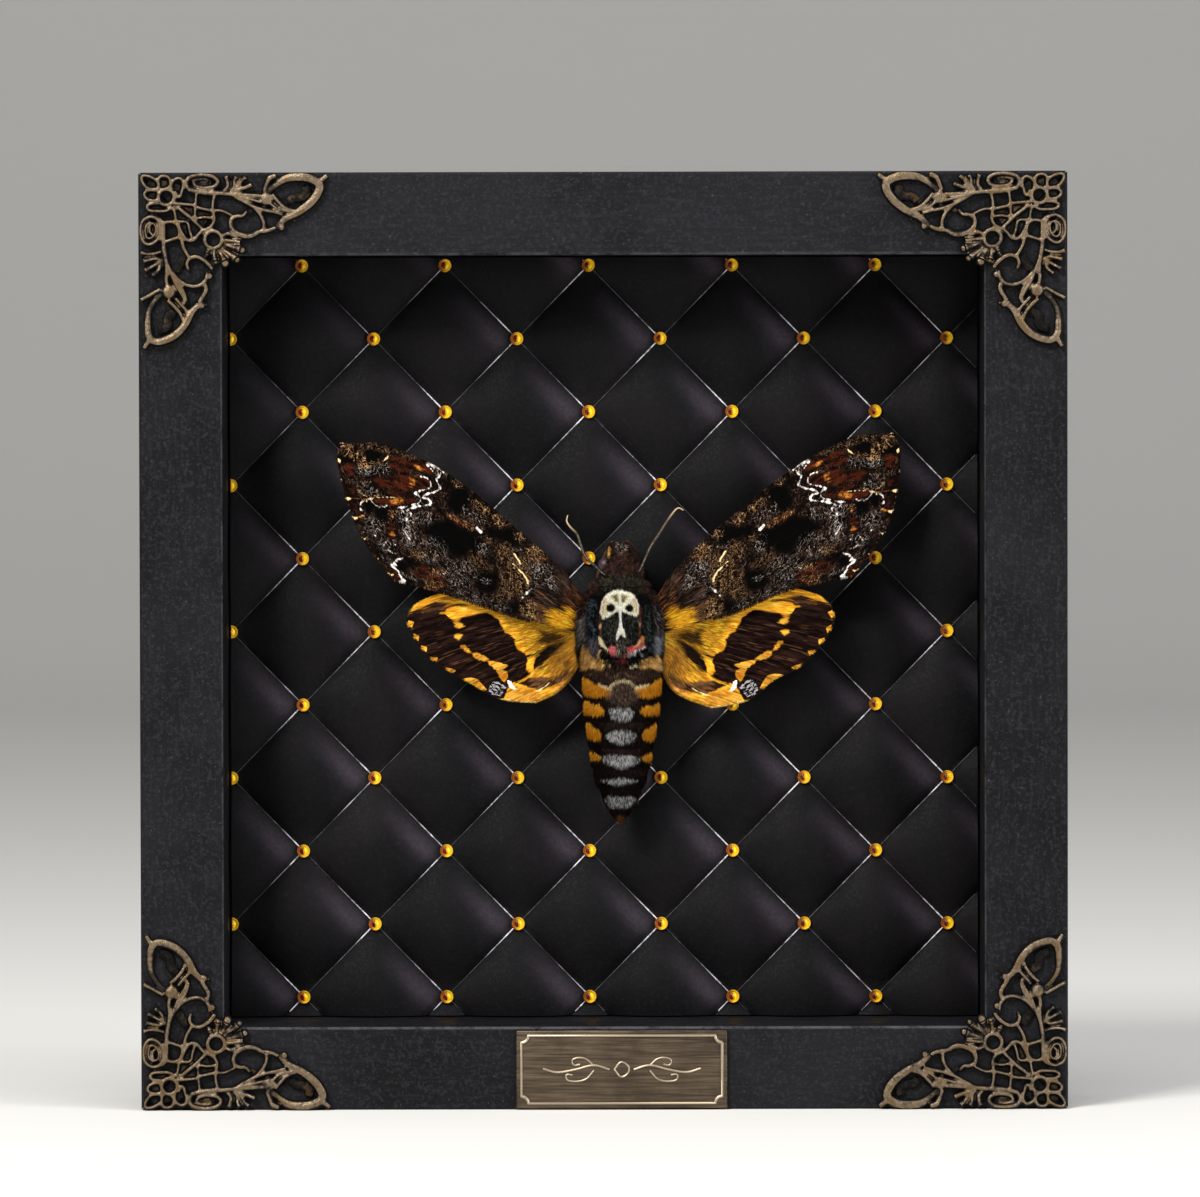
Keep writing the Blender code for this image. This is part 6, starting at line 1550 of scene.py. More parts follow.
def wing_spot(fore, side, u, v, lift=0.0):
    """Places on a wing's middle surface, raised by lift millimetres."""
    plan = (FOREWINGS if fore else HINDWINGS)[side]
    sign = -1 if side == "left" else 1
    turn = math.radians(plan["set"])
    flat = wing_flat(plan, u, v)
    x = flat[:, 0] * math.cos(turn) - flat[:, 1] * math.sin(turn)
    z = flat[:, 0] * math.sin(turn) + flat[:, 1] * math.cos(turn)
    breadth = FORE_CHART[1] if fore else HIND_CHART[1]
    veins = FORE_VEINS if fore else HIND_VEINS
    ridge = sum(np.exp(-(((v - vein) * breadth / 0.3) ** 2)) for vein in veins)
    sag = np.interp(v, [0, *[a + (b - a) / 2 for a, b in zip((0, *veins), (*veins, 1))], 1],
        [0] + [1] * (len(veins) + 1) + [0])
    if fore:
        h = 15.2 + 0.8 * u + 0.4 * np.sin(math.pi * v) + 0.16 * ridge * (1 - 0.4 * u)
        h += 0.12 * np.sin(u * 9 + v * 4) * u
    else:
        h = 13.7 - 0.4 * u + 0.1 * np.sin(math.pi * v) + 0.12 * ridge
        h += 0.16 * np.sin(v * 17 * math.pi) * u * u + 0.1 * np.sin(u * 7 + v * 9) * u
    h = h - 0.05 * sag + lift
    return np.stack([MOTH_X + (plan["hinge"][0] + sign * x) * MM, SEAM - h * MM,
                     MOTH_Z + (plan["hinge"][1] + z) * MM], 1)


def make_wing(fore, side):
    """A thin wing with its veins raised, carrying its marks."""
    name = ("forewing_" if fore else "hindwing_") + side
    columns, rows = (330, 122) if fore else (230, 150)
    wing = add_grid(name + "_scales", columns, rows)
    places = points_of(wing)
    u, v = places[:, 0] + 0.5, 0.5 - places[:, 1]
    move_points(wing, wing_spot(fore, side, u, v))
    face_towards_viewer(wing)
    chart = FORE_CHART if fore else HIND_CHART
    mark(wing, "wing_place", np.stack([u * chart[0] * MM, v * chart[1] * MM, np.zeros_like(u)], 1),
        "FLOAT_VECTOR")
    pale, dark = fore_marks(u, v) if fore else hind_marks(u, v)
    mark(wing, "pattern_one", np.stack(pale, 1), "FLOAT_COLOR")
    mark(wing, "pattern_two", np.stack(dark, 1), "FLOAT_COLOR")
    modify(wing, "SOLIDIFY", thickness=WING_THICKNESS, offset=0.0)
    soften(wing, 50)
    return wing


def fore_scales():
    """Forewing scales: a dark marbled ground under white, grey, orange and tan marks."""
    f = Finish("fore_scales", 0.8, Specular_IOR_Level=0.03)
    place = f.kept("wing_place", "Vector")
    white, frost, warm, rust = f.marks("pattern_one")
    black, tan, cream, yellow = f.marks("pattern_two")
    fine = f.noise(place, 1500, 2.0, 0.65, 0.7)
    other = f.noise(f.stretch(place, (1, 1, 1), (0, 0, 1.1)), 900, 3.0, 0.6, 0.5)
    patchy = f.noise(place, 330, 3.0, 0.6, 0.6)
    streak = f.noise(f.stretch(place, (240, 1300, 1)), 1.0, 3.0, 0.6, 0.6)

    def curls(scale, turn):
        """Distance from thin winding lines, the scale rows' own flecks."""
        winding = f.noise(f.stretch(place, (1, 1, 1), (0, 0, turn)), scale, 2.0, 0.6, 1.2)
        return f.times(f.away(f.minus(winding, 0.5)), 11.0)

    def flecks(field, lines):
        """Where a field is strong enough to show along winding lines."""
        return f.step(f.minus(field, lines), 0.0, 0.22)

    one, two, three = curls(700, 0.4), curls(640, 1.5), curls(780, 2.6)
    open_ground = f.minus(1.0, black)
    some = f.times(open_ground, f.step(patchy, 0.36, 0.6, 0.08, 0.36))
    few = f.times(open_ground, f.step(patchy, 0.44, 0.64, 0.0, 0.18))
    base = f.ramp(other, 0.4, 0.6, "020101", "0e0603")
    base = f.over(base, f.times(black, 0.9), "010101")
    base = f.blend(flecks(some, one), base, f.ramp(fine, 0.4, 0.6, "26170f", "4e382b"))
    base = f.blend(flecks(few, two), base, f.ramp(fine, 0.45, 0.6, "3c2f28", "75665b"))
    ember = f.ramp(streak, 0.4, 0.66, "0b0302", "3a1408")
    base = f.blend(f.cover(rust, streak, 0.9, 0.4, 0.7), base, f.blend(flecks(0.12, three), ember,
        paint("7a4c2a")))
    base = f.blend(flecks(f.times(frost, 0.5), two), base,
                   f.ramp(fine, 0.38, 0.6, "4a413c", "a69c94"))
    base = f.blend(flecks(f.times(tan, 0.52), three), base,
                   f.ramp(fine, 0.38, 0.62, "4e3220", "a88458"))
    base = f.blend(f.times(f.cover(warm, streak, 1.6, 0.45, 0.95), 0.9), base,
                   f.ramp(fine, 0.36, 0.62, "5e2606", "c07a30"))
    base = f.over(base, f.cover(cream, fine, 1.4, 0.55, 0.85), "e6c890")
    base = f.blend(f.cover(white, other, 2.4, 0.52, 0.95), base,
                   f.ramp(fine, 0.36, 0.56, "8a7f76", "f2eae2"))
    hairs = f.noise(f.stretch(place, (260, 1700, 1)), 1.0, 3.0, 0.6)
    base = f.blend(f.cover(yellow, hairs, 1.2, 0.46, 0.54), base,
        f.ramp(hairs, 0.38, 0.6, "a8640f", "eeb034"))
    f.bump(fine, 0.00014, 0.7)
    return f.finish(base)


def hind_scales():
    """Hindwing scales: orange-yellow and dark brown, streaked along the wing."""
    f = Finish("hind_scales", 0.8, Specular_IOR_Level=0.03)
    place = f.kept("wing_place", "Vector")
    dark, brown, white, speck = f.marks("pattern_one")
    orange, cream, veins, spots = f.marks("pattern_two")
    streak = f.noise(f.stretch(place, (210, 1500, 1)), 1.0, 4.0, 0.65, 0.4)
    wide = f.noise(f.stretch(place, (110, 800, 1)), 1.0, 3.0, 0.6, 0.4)
    threads = f.noise(f.stretch(place, (130, 2300, 1)), 1.0, 3.0, 0.65)
    fine = f.noise(place, 1500, 2.0, 0.6, 1.0)
    ragged = f.plus(f.times(streak, 0.5), f.times(wide, 0.5))

    base = f.ramp(streak, 0.36, 0.62, "b8720c", "f5ba36")
    base = f.blend(f.times(spots, 0.6), base, f.ramp(streak, 0.38, 0.6, "7a4a1a", "c88c3c"))
    base = f.blend(orange, base, f.ramp(streak, 0.38, 0.6, "8e5214", "e0a04a"))
    base = f.over(base, f.step(wide, 0.54, 0.66, 0.0, 0.6), "8f500f")
    base = f.over(base, f.step(threads, 0.56, 0.66, 0.0, 0.6), "4e2a0c")
    base = f.over(base, f.times(veins, 0.35), "5c320c")
    base = f.blend(f.cover(brown, ragged, 2.6, 0.34, 0.66), base, f.ramp(wide, 0.4, 0.62, "22110a", "6e4a2c"))
    night = f.ramp(streak, 0.42, 0.66, "080302", "241310")
    night = f.over(night, f.step(threads, 0.56, 0.66, 0.0, 0.7), "583a26")
    night = f.over(night, f.times(veins, 0.7), "060202")
    base = f.blend(f.cover(dark, ragged, 2.2, 0.34, 0.66), base, night)
    base = f.over(base, f.times(f.step(speck, 0.2, 0.5), 0.9), "0a0808")
    base = f.over(base, f.cover(speck, fine, 2.4, 0.66, 0.76), "9a9898")
    base = f.over(base, f.times(f.cover(cream, streak, 1.4, 0.44, 0.58), 0.8), "f4dc98")
    base = f.over(base, f.cover(white, streak, 2.2, 0.6, 0.9), "f0eae0")
    f.bump(streak, 0.00016, 0.8)
    return f.finish(base)


def make_wings():
    """Both pairs of wings."""
    fore, hind = fore_scales(), hind_scales()
    for side in ("left", "right"):
        show(make_wing(True, side), fore, "fore_scales", "forewing_" + side)
        show(make_wing(False, side), hind, "hind_scales", "hindwing_" + side)


# The moth's body

# Cross-sections out to the tips of the coat: z, half width, lowest and highest h.
THORAX_SECTIONS = [(11.4, 2.6, 12, 15.9), (10.4, 4, 11.2, 16.9), (9.3, 4.9, 10.6, 17.5),
    (8.4, 5.7, 10.1, 18.3), (7.6, 7, 9.2, 19.4), (5, 8.7, 8, 20.8), (1.5, 9.8, 7.3, 21.5),
    (-2.5, 10.1, 7, 21.5), (-6, 9.9, 7.1, 21), (-8.6, 9.3, 7.7, 20), (-10, 8.2, 8.8, 18.6),
    (-10.5, 6.4, 10.4, 17)]
HEAD_SECTIONS = [(6.5, 3.6, 11, 16.4), (9, 4.9, 9.9, 17.4), (11.2, 4.8, 9.5, 17.4), (13, 4.2, 9.8, 16.7),
    (14.3, 3.3, 10.6, 15.7), (14.9, 1.9, 11.6, 14.7)]
ABDOMEN_HALF_WIDTHS = [(-8, 8.6), (-12, 9.1), (-15.2, 8.9), (-18.7, 8.7), (-22.2, 8.35), (-25.2, 7.8),
    (-28.2, 7.4), (-31.9, 6.8), (-34.8, 6.1), (-37.6, 5), (-40, 4), (-41.9, 2.8), (-43.5, 1.3), (-44.4, 0.3)]
ABDOMEN_RINGS = [-8.5, -16.9, -21.5, -27.2, -31.7, -36.3, -40.6]
ABDOMEN_TIP = -44.4

# The skull mark's outlines and lines.
SKULL_CROWN = [(-3.8, 0.43), (-4.22, 1.74), (-4.3, 2.93), (-4.02, 4.13), (-3.37, 5.22), (-2.5, 6.08),
    (-1.52, 6.45), (-0.22, 6.78), (1.09, 6.56), (2.39, 6.21), (3.22, 5.43), (3.82, 4.35), (4.22, 3.17),
    (4.09, 1.96), (3.69, 1), (2.82, 1.3), (1.96, 1.61), (1.09, 1.96), (0.52, 2.28), (-0.43, 2.28),
    (-1.2, 1.85), (-1.96, 1.3), (-2.93, 0.74)]
SKULL_RIM = [(-3.48, 0.65), (-4.02, 1.96), (-4.09, 3.04), (-3.74, 4.24), (-3.04, 5.3), (-2.17, 6),
    (-1.2, 6.3), (-0.22, 6.52), (1.09, 6.3), (2.17, 5.95), (2.96, 5.22), (3.56, 4.13), (3.95, 3.04),
    (3.78, 1.74), (3.26, 1.3), (2.17, 1.74), (0.98, 2.28), (0, 2.61), (-1.09, 2.06), (-2.06, 1.43),
    (-3.26, 0.78)]
SKULL_CROSS = [(-2.72, 4.89), (-1.52, 4.09), (-0.65, 3.26), (0, 2.61)]
SKULL_OTHER_CROSS = [(2.61, 4.89), (1.52, 4.09), (0.76, 3.26), (0, 2.61)]
SKULL_NOSE = [(-0.35, 2.82), (0.52, 2.82), (0.35, 1.52), (0.33, 0.22), (0.5, -0.87), (1, -1.96),
    (1.3, -3.48), (0.96, -3.59), (0.35, -2.82), (-0.09, -3.04), (-0.56, -4.04), (-0.91, -3.91),
    (-0.74, -2.39), (-0.26, -1.09), (-0.13, 0.22), (-0.17, 1.52)]


def thorax_relief(x, z):
    """The collar arch round the skull mark and the shoulder lobes beside it."""
    reach = np.where(z < 2.3, np.abs(x), np.hypot(x, z - 2.3))
    fade = np.clip((z + 8.0) / 3.0, 0, 1)
    collar = 0.6 * np.exp(-(((reach - 5.9) / 0.9) ** 2))
    lobes = 0.65 * np.exp(-(((np.abs(x) - 8.7) / 0.9) ** 2)) * np.clip((6.0 - z) / 2.0, 0, 1)
    groove = 0.5 * np.exp(-(((reach - 7.4) / 0.45) ** 2)) + 0.3 * np.exp(-(((reach - 4.5) / 0.4) ** 2))
    return (collar + lobes - groove) * fade


def body_tube(name, shape, start, end, around=72, along=90):
    """A closed tube: a grid rolled round the body's axis. shape gives x and h for an angle and a z."""
    tube = add_grid(name, around, along)
    places = points_of(tube)
    angle = (places[:, 0] + 0.5) * 2 * math.pi
    z = start + (end - start) * (places[:, 1] + 0.5)
    x, h = shape(angle, z)
    move_points(tube, np.stack([MOTH_X + x * MM, SEAM - h * MM, MOTH_Z + z * MM], 1))
    face_outwards(tube)
    hold(tube)
    bpy.ops.object.mode_set(mode="EDIT")
    bpy.ops.mesh.select_mode(type="EDGE")
    bpy.ops.mesh.select_all(action="DESELECT")
    bpy.ops.mesh.select_non_manifold()
    bpy.ops.mesh.fill()
    bpy.ops.object.mode_set(mode="OBJECT")
    return face_outwards(tube)


def oval(angle, half, low, high, roundness):
    """A rounded-oblong cross-section."""
    x = half * np.sign(np.cos(angle)) * np.abs(np.cos(angle)) ** (2 / roundness)
    rise = np.sign(np.sin(angle)) * np.abs(np.sin(angle)) ** (2 / roundness)
    return x, (low + high) / 2 + (high - low) / 2 * rise


def from_table(table, z):
    """The columns of a table at each z."""
    rows = np.array(table)[::-1] if table[0][0] > table[-1][0] else np.array(table)
    return [np.interp(z, rows[:, 0], rows[:, k]) for k in range(1, rows.shape[1])]


def thorax_shape(angle, z):
    """The thorax under its coat."""
    half, low, high = from_table(THORAX_SECTIONS, z)
    x, h = oval(angle, half - 0.9, low + 0.9, high - 0.9, 2.2)
    return x, h + np.where(np.sin(angle) > 0.1, thorax_relief(x, z), 0)


def head_shape(angle, z):
    """The head under its coat."""
    half, low, high = from_table(HEAD_SECTIONS, z)
    x, h = oval(angle, half - 0.7, low + 0.7, high - 0.7, 2.2)
    narrow = np.where(x < 0, 0.34, 0.16) * np.clip((h - 12.2) / 2.5, 0, 1) * np.clip((z - 9.5) / 1.5, 0, 1)
    return x * (1 - narrow), h


def abdomen_shape(angle, z):
    """The abdomen under its coat: rings that overlap like tiles."""
    ends = ABDOMEN_RINGS + [ABDOMEN_TIP]
    half = half_width_at(z) - 0.45
    for start, end in zip(ends, ends[1:]):
        share = np.clip((z - start) / (end - start), 0, 1)
        inside = (z <= start) & (z > end)
        half = half - np.where(inside, 0.4 * (1 - share) ** 2.5, 0)
    half = np.maximum(half, 0.12)
    lean = (z + 8.5) / (44.4 - 8.5)
    return 0.5 + 0.6 * lean + half * np.cos(angle), 14.0 + 1.4 * lean + half * 0.8 * np.sin(angle)


def make_skin():
    """The body's skin, one closed piece under the coat, from thorax, abdomen, head and palps."""
    parts = [
        body_tube("thorax_form", thorax_shape, 11.3, -9.9),
        body_tube("head_form", head_shape, 6.8, 14.5),
        body_tube("abdomen_form", abdomen_shape, -7.5, -44.0, 64, 260),
    ]
    for sign in (-1, 1):
        points = [(1.5, 12.0, 12.6), (1.5, 14.5, 13.1), (1.5, 15.7, 13.7), (1.4, 16.2, 14.2),
            (1.35, 16.5, 14.5)]
        path = smooth_path([moth(sign * x, z, h) for x, z, h in points], 16)
        radii = np.interp(np.linspace(0, 1, 16), np.linspace(0, 1, 5), [1.2, 1.45, 1.45, 1.3, 0.9])
        parts.append(face_outwards(rod("palp_form", path, radii * MM, 5)))
    skin = join(parts, "body_skin")
    modify(skin, "REMESH", mode="VOXEL", voxel_size=SKIN_VOXEL)
    modify(skin, "SMOOTH", factor=0.5, iterations=5)
    x, z, h = moth_coordinates(points_of(skin))
    # The skin takes the body's colours at half strength, as painted shade under the coat.
    mark(skin, "body_colour", with_alpha(body_colour(x, z, h) * 0.5), "FLOAT_COLOR")
    soften(skin, 70)
    return show(skin, coat_finish("body_skin", "body_colour"), "fur", "thorax", "abdomen", "head",
        "palp_left", "palp_right")


def moth_coordinates(places):
    """World places as the moth's flat millimetres (x, z, h)."""
    return (places[:, 0] - MOTH_X) / MM, (places[:, 2] - MOTH_Z) / MM, (SEAM - places[:, 1]) / MM


def with_alpha(colours):
    """Colours with a full fourth part."""
    return np.concatenate([colours, np.ones((len(colours), 1))], 1)


def coat_finish(name, attribute):
    """Dry scale hair, coloured tuft by tuft."""
    f = Finish(name, 0.65, Specular_IOR_Level=0.06)
    return f.finish(f.kept(attribute))


def make_tufts(name, roots, ways, normals, lengths, widths, bend, shaded_root_colours, lit_tip_colours, unwrap, finish,
    slot, short=False):
    """A coat piece: each tuft a tapering three-sided blade, in two bends unless it is short."""
    count = len(roots)
    across = np.cross(ways, normals)
    across /= np.linalg.norm(across, axis=1, keepdims=True) + 1e-12
    up = np.cross(across, ways)
    middle = roots + ways * (lengths * 0.55)[:, None]
    bent = ways - normals * bend[:, None]
    bent /= np.linalg.norm(bent, axis=1, keepdims=True)
    tip = middle + bent * (lengths * 0.5)[:, None]
    rings = [(roots, 1.0)] if short else [(roots, 1.0), (middle, 0.8)]
    each = 3 * len(rings) + 1
    points = np.empty((count, each, 3))
    for ring, (base, share) in enumerate(rings):
        for k in range(3):
            angle = 2 * math.pi * k / 3 + math.pi / 6
            offset = across * math.cos(angle) + up * math.sin(angle) * 0.6
            points[:, ring * 3 + k] = base + offset * (widths * share * 0.5)[:, None]
    points[:, -1] = tip
    faces = []
    for k in range(3):
        j = (k + 1) % 3
        for ring in range(len(rings) - 1):
            faces += [
                (ring * 3 + k, ring * 3 + j, ring * 3 + 3 + j),
                (ring * 3 + k, ring * 3 + 3 + j, ring * 3 + 3 + k),
            ]
        faces.append((each - 4 + k, each - 4 + j, each - 1))
    faces = np.array(faces)[:, ::-1]
    corners = (faces[None, :, :] + each * np.arange(count)[:, None, None]).reshape(-1)
    mesh = bpy.data.meshes.new(name)
    mesh.vertices.add(count * each)
    mesh.vertices.foreach_set("co", points.astype(np.float32).ravel())
    mesh.loops.add(len(corners))
    mesh.loops.foreach_set("vertex_index", corners.astype(np.int32))
    mesh.polygons.add(len(corners) // 3)
    mesh.polygons.foreach_set("loop_start", np.arange(0, len(corners), 3, dtype=np.int32))
    mesh.update(calc_edges=True)
    mesh.validate()
    item = bpy.data.objects.new(name, mesh)
    bpy.context.scene.collection.objects.link(item)
    share = np.array([0.0] * 3 + [0.55] * (each - 4) + [1.0])
    # Each tuft's colour runs from its root, darkened as painted shade, to its tip, lightened as painted
    # highlight.
    colours = shaded_root_colours[:, None, :] + (lit_tip_colours - shaded_root_colours)[:, None, :] * share[None, :, None]
    mark(item, "coat_colour", with_alpha(colours.reshape(-1, 3)), "FLOAT_COLOR")
    corners_uv = [(0, 0), (1, 0), (0.5, 0.5), (0, 0.6), (1, 0.6), (0.5, 0.8)][:each - 1] + [(0.5, 1)]
    flat = (unwrap[:, None, :] * 0.994 + np.array(corners_uv)[None] * 0.003).reshape(-1, 2)
    layer = mesh.uv_layers.new(name="OFBake")
    layer.data.foreach_set("uv", flat[corners].astype(np.float32).ravel())
    hold(item)
    bpy.ops.object.shade_smooth()
    return show(item, finish, slot)


def scatter(item, count, rng, weigh):
    """Random places on a mesh, by weighed area, with their normals."""
    mesh = item.data
    mesh.calc_loop_triangles()
    triangles = np.empty(len(mesh.loop_triangles) * 3, dtype=np.int32)
    mesh.loop_triangles.foreach_get("vertices", triangles)
    corners = points_of(item)[triangles.reshape(-1, 3)]
    cross = np.cross(corners[:, 1] - corners[:, 0], corners[:, 2] - corners[:, 0])
    area = np.linalg.norm(cross, axis=1)
    share = area * weigh(corners.mean(1))
    pick = rng.choice(len(area), count, p=share / share.sum())
    a, b = rng.random(count), rng.random(count)
    over = a + b > 1
    a[over], b[over] = 1 - a[over], 1 - b[over]
    first, second, third = corners[pick].transpose(1, 0, 2)
    places = first + (second - first) * a[:, None] + (third - first) * b[:, None]
    return places, cross[pick] / (area[pick, None] + 1e-20)


def lean_along(normals, flow, lift):
    """Directions that follow flow along the surface, lifted off it by an angle."""
    along = flow - normals * np.sum(flow * normals, 1, keepdims=True)
    along /= np.linalg.norm(along, axis=1, keepdims=True) + 1e-12
    return along * np.cos(lift)[:, None] + normals * np.sin(lift)[:, None]


def make_body_coat(skin, rng):
    """Scale hair over the whole body, shorter on the skull mark and the abdomen."""
    finish = coat_finish("scale_hair", "coat_colour")
    total = BODY_TUFTS

    def weigh(middles):
        _, z, h = moth_coordinates(middles)
        return np.where(h > 13.5, 1.0, 0.35) * np.where(z > -10.5, 1.25, 1.0)

    roots, normals = scatter(skin, total, rng, weigh)
    x, z, h = moth_coordinates(roots)
    order = np.argsort(z + rng.normal(0, 0.05, total))[::-1]
    roots, normals, x, z, h = roots[order], normals[order], x[order], z[order], h[order]
    rear = z < -9.9
    head = z > 9.0
    reach = np.where(z < 2.3, np.abs(x), np.hypot(x, z - 2.3))
    skull = (reach < 4.9) & (z > -6) & ~head & (h > 15)
    velvet = (reach >= 4.9) & (reach < 7.2) & ~rear & ~head & (h > 15)
    palps = z > 14.2
    flow = np.zeros_like(roots)
    flow[:, 2] = np.where(palps, -0.1, np.where(head, 0.35, -1.0))
    flow[:, 0] = np.where(rear | skull, 0.06, 0.28 + 0.06 * np.clip(np.abs(x) - 6, 0,
        5)) * np.sign(x) * np.minimum(np.abs(x) / 4, 1)
    flow[:, 1] = np.where(head, -0.5, 0)
    clumped = np.where(rear | skull, 0.12, 0.55)
    flow[:, 0] += clumped * cloud(x, z, 1.1, 21)
    flow[:, 2] += clumped * cloud(x, z, 1.1, 22)
    flow += rng.normal(0, 0.16, flow.shape)
    neck = (z > 7.2) & (z < 11.8) & (h > 12.5)
    flow[neck] = rng.normal(0, 0.7, (neck.sum(), 3)) + np.array((0, 0, 0.35))
    lift = np.radians(np.select([palps, neck, skull, velvet, rear, head], [20, 50, 16, 50, 15, 40],
        34) + rng.normal(0, 9, total))
    length = np.select([palps, neck, skull, velvet, rear, head], [0.8, 1.1, 0.7, 0.85, 0.95, 1.1],
        1.4) * rng.uniform(0.65, 1.25, total)
    length = np.where((z < -4.5) & ~rear & (np.abs(x) > 6.5), 1.9, length)
    brow = (x > 1.6) & (z > 10) & (z < 14.5) & (h > 13)
    flow[brow] += np.array((1.1, 0, 0.3))
    length = np.where(brow, 1.9, length)
    ways = lean_along(normals, flow, np.clip(lift, 0.1, 1.35))
    colour_x, colour_z = x + ways[:, 0] * length * 0.5, z + ways[:, 2] * length * 0.5
    colours = body_colour(colour_x, colour_z, h, rng.uniform(-0.6, 0.6, total))
    plain = 1 - np.clip(colours.mean(1) * 4, 0, 1)
    shade = np.exp(rng.normal(0, 0.14 + 0.36 * plain) + (0.05 + 0.3 * plain) * cloud(x, z, 0.8, 23))[:, None]
    colours = np.clip(colours * shade * np.exp(rng.normal(0, 0.04, (total, 3))), 0, 1)
    # Darker tufts get darkened roots as painted shade between the tufts; every tip is lightened as painted
    # highlight.
    depth = (0.25 + 0.75 * (1 - plain))[:, None]
    around = (np.arctan2(h - 14, x) / (2 * math.pi)) % 1.0
    for k in range(COAT_PIECES):
        part = slice(k * total // COAT_PIECES, (k + 1) * total // COAT_PIECES)
        low, high = z[part].min(), z[part].max()
        unwrap = np.stack([around[part], (z[part] - low) / (high - low)], 1)
        make_tufts(f"body_coat_{k + 1}", roots[part] - normals[part] * 0.05 * MM, ways[part], normals[part],
            length[part] * MM, rng.uniform(0.16, 0.27, len(x[part])) * MM, np.full(len(x[part]), 0.25),
            (colours * depth)[part], np.clip(colours[part] * 1.35, 0, 1), unwrap, finish, "fur", short=True)


def hind_tint(u, v):
    """The hindwing's colour for its hairs."""
    (dark, brown, white, _), (orange, cream, _, _) = hind_marks(u, v)
    colour = np.tile(np.array(paint("eaa62c")[:3]), (len(u), 1))
    colour = lay(colour, orange, "c98a2c")
    colour = lay(colour, brown, "5a3f26")
    colour = lay(colour, dark, "20150e")
    colour = lay(colour, cream, "e2cc8c")
    return lay(colour, white, "efe9dc")


def fore_tint(u, v):
    """The forewing's colour for its hairs."""
    (white, frost, warm, rust), (black, tan, cream, yellow) = fore_marks(u, v)
    grain = cloud(u * FORE_CHART[0], v * FORE_CHART[1], 0.4, 31)
    other = cloud(u * FORE_CHART[0], v * FORE_CHART[1], 0.5, 32)
    colour = np.tile(np.array(paint("120a07")[:3]), (len(u), 1))
    colour = lay(colour, np.clip(other * 2, 0, 1) * 0.7, "3a2016")
    for field, text in ((rust, "3a160a"), (frost, "4e423b"), (tan, "63472e"), (warm, "7a4418")):
        colour = lay(colour, np.clip((field + 0.9 * grain - 0.5) * 4, 0, 1), text)
    for field, text in ((black, "040202"), (cream, "e6c88e"), (white, "eee4d9"), (yellow, "e39f22")):
        colour = lay(colour, field, text)
    return colour


def make_wing_hair(rng):
    """Long hair over the wing roots and a short fringe round the outer edges."""
    finish = coat_finish("wing_hair", "coat_colour")
    for side in ("left", "right"):
        for fore in (True, False):
            tint = fore_tint if fore else hind_tint
            if fore:
                u = rng.uniform(0.03, 0.24, 5200)
                v = rng.uniform(0.02, 1.0, 5200)
                keep = (u < 0.13) | ((v > 0.45) & (u < 0.21))
            else:
                u = rng.beta(1.3, 2.4, 9000) * 0.6
                v = rng.uniform(0.15, 0.99, 9000)
                keep = (u < 0.5) | (v > 0.75)
            u, v = u[keep], v[keep]
            length = (1.6 + 1.5 * rng.random(len(u))) * np.where(u < 0.3, 1.1, 0.8)
            edge_v = rng.uniform(0.0, 1.0, 2600 if fore else 2200)
            edge_u = np.full(len(edge_v), 0.992)
            rim_u = rng.uniform(0.3, 1.0, 900 if fore else 1600)
            rim_v = np.full(len(rim_u), 0.99)
            edge_length = 0.75 * rng.uniform(0.7, 1.15, len(edge_v))
            rim_length = 0.8 * rng.uniform(0.7, 1.15, len(rim_u))
            u, v = np.concatenate([u, edge_u, rim_u]), np.concatenate([v, edge_v, rim_v])
            length = np.concatenate([length, edge_length, rim_length])
            flat_down = np.zeros(len(u))
            flat_down[-len(rim_u):] = 1
            step = 0.004
            next_v = np.minimum(v + step, 1.0)
            here = wing_spot(fore, side, u, v)
            ahead = wing_spot(fore, side, u + step, v) - here
            below = wing_spot(fore, side, u, next_v) - wing_spot(fore, side, u, next_v - step)
            ahead /= np.linalg.norm(ahead, axis=1, keepdims=True)
            below /= np.linalg.norm(below, axis=1, keepdims=True)
            normals = np.cross(ahead, below)
            normals /= np.linalg.norm(normals, axis=1, keepdims=True)
            normals *= -np.sign(normals[:, 1])[:, None]
            flow = ahead * (1 - flat_down * 0.55)[:, None] + below * flat_down[:, None]
            flow = flow + rng.normal(0, 0.09, here.shape)
            fringe = (u > 0.985) | (flat_down > 0)
            lift = np.where(fringe, rng.normal(0.0, 0.05, len(u)), rng.normal(0.16, 0.06, len(u)))
            ways = lean_along(normals, flow, lift)
            colours = tint(np.clip(u + np.where(fringe, -0.008, length / 62), 0, 1), v)
            colours = np.clip(colours * np.exp(rng.normal(-0.08, 0.45, (len(u), 1))), 0, 1)
            name = ("fore_hair_" if fore else "hind_hair_") + side
            # Roots darkened as painted shade between the hairs, tips lightened as painted highlight.
            make_tufts(name, here + normals * np.where(fringe, 0.0, 0.12)[:, None] * MM, ways, normals,
                length * MM, rng.uniform(0.12, 0.18, len(u)) * MM, np.where(fringe, 0.0, 0.12),
                colours * 0.55, np.clip(colours * 1.2, 0, 1), np.stack([u, v], 1), finish,
                "fore_scales" if fore else "hind_scales")


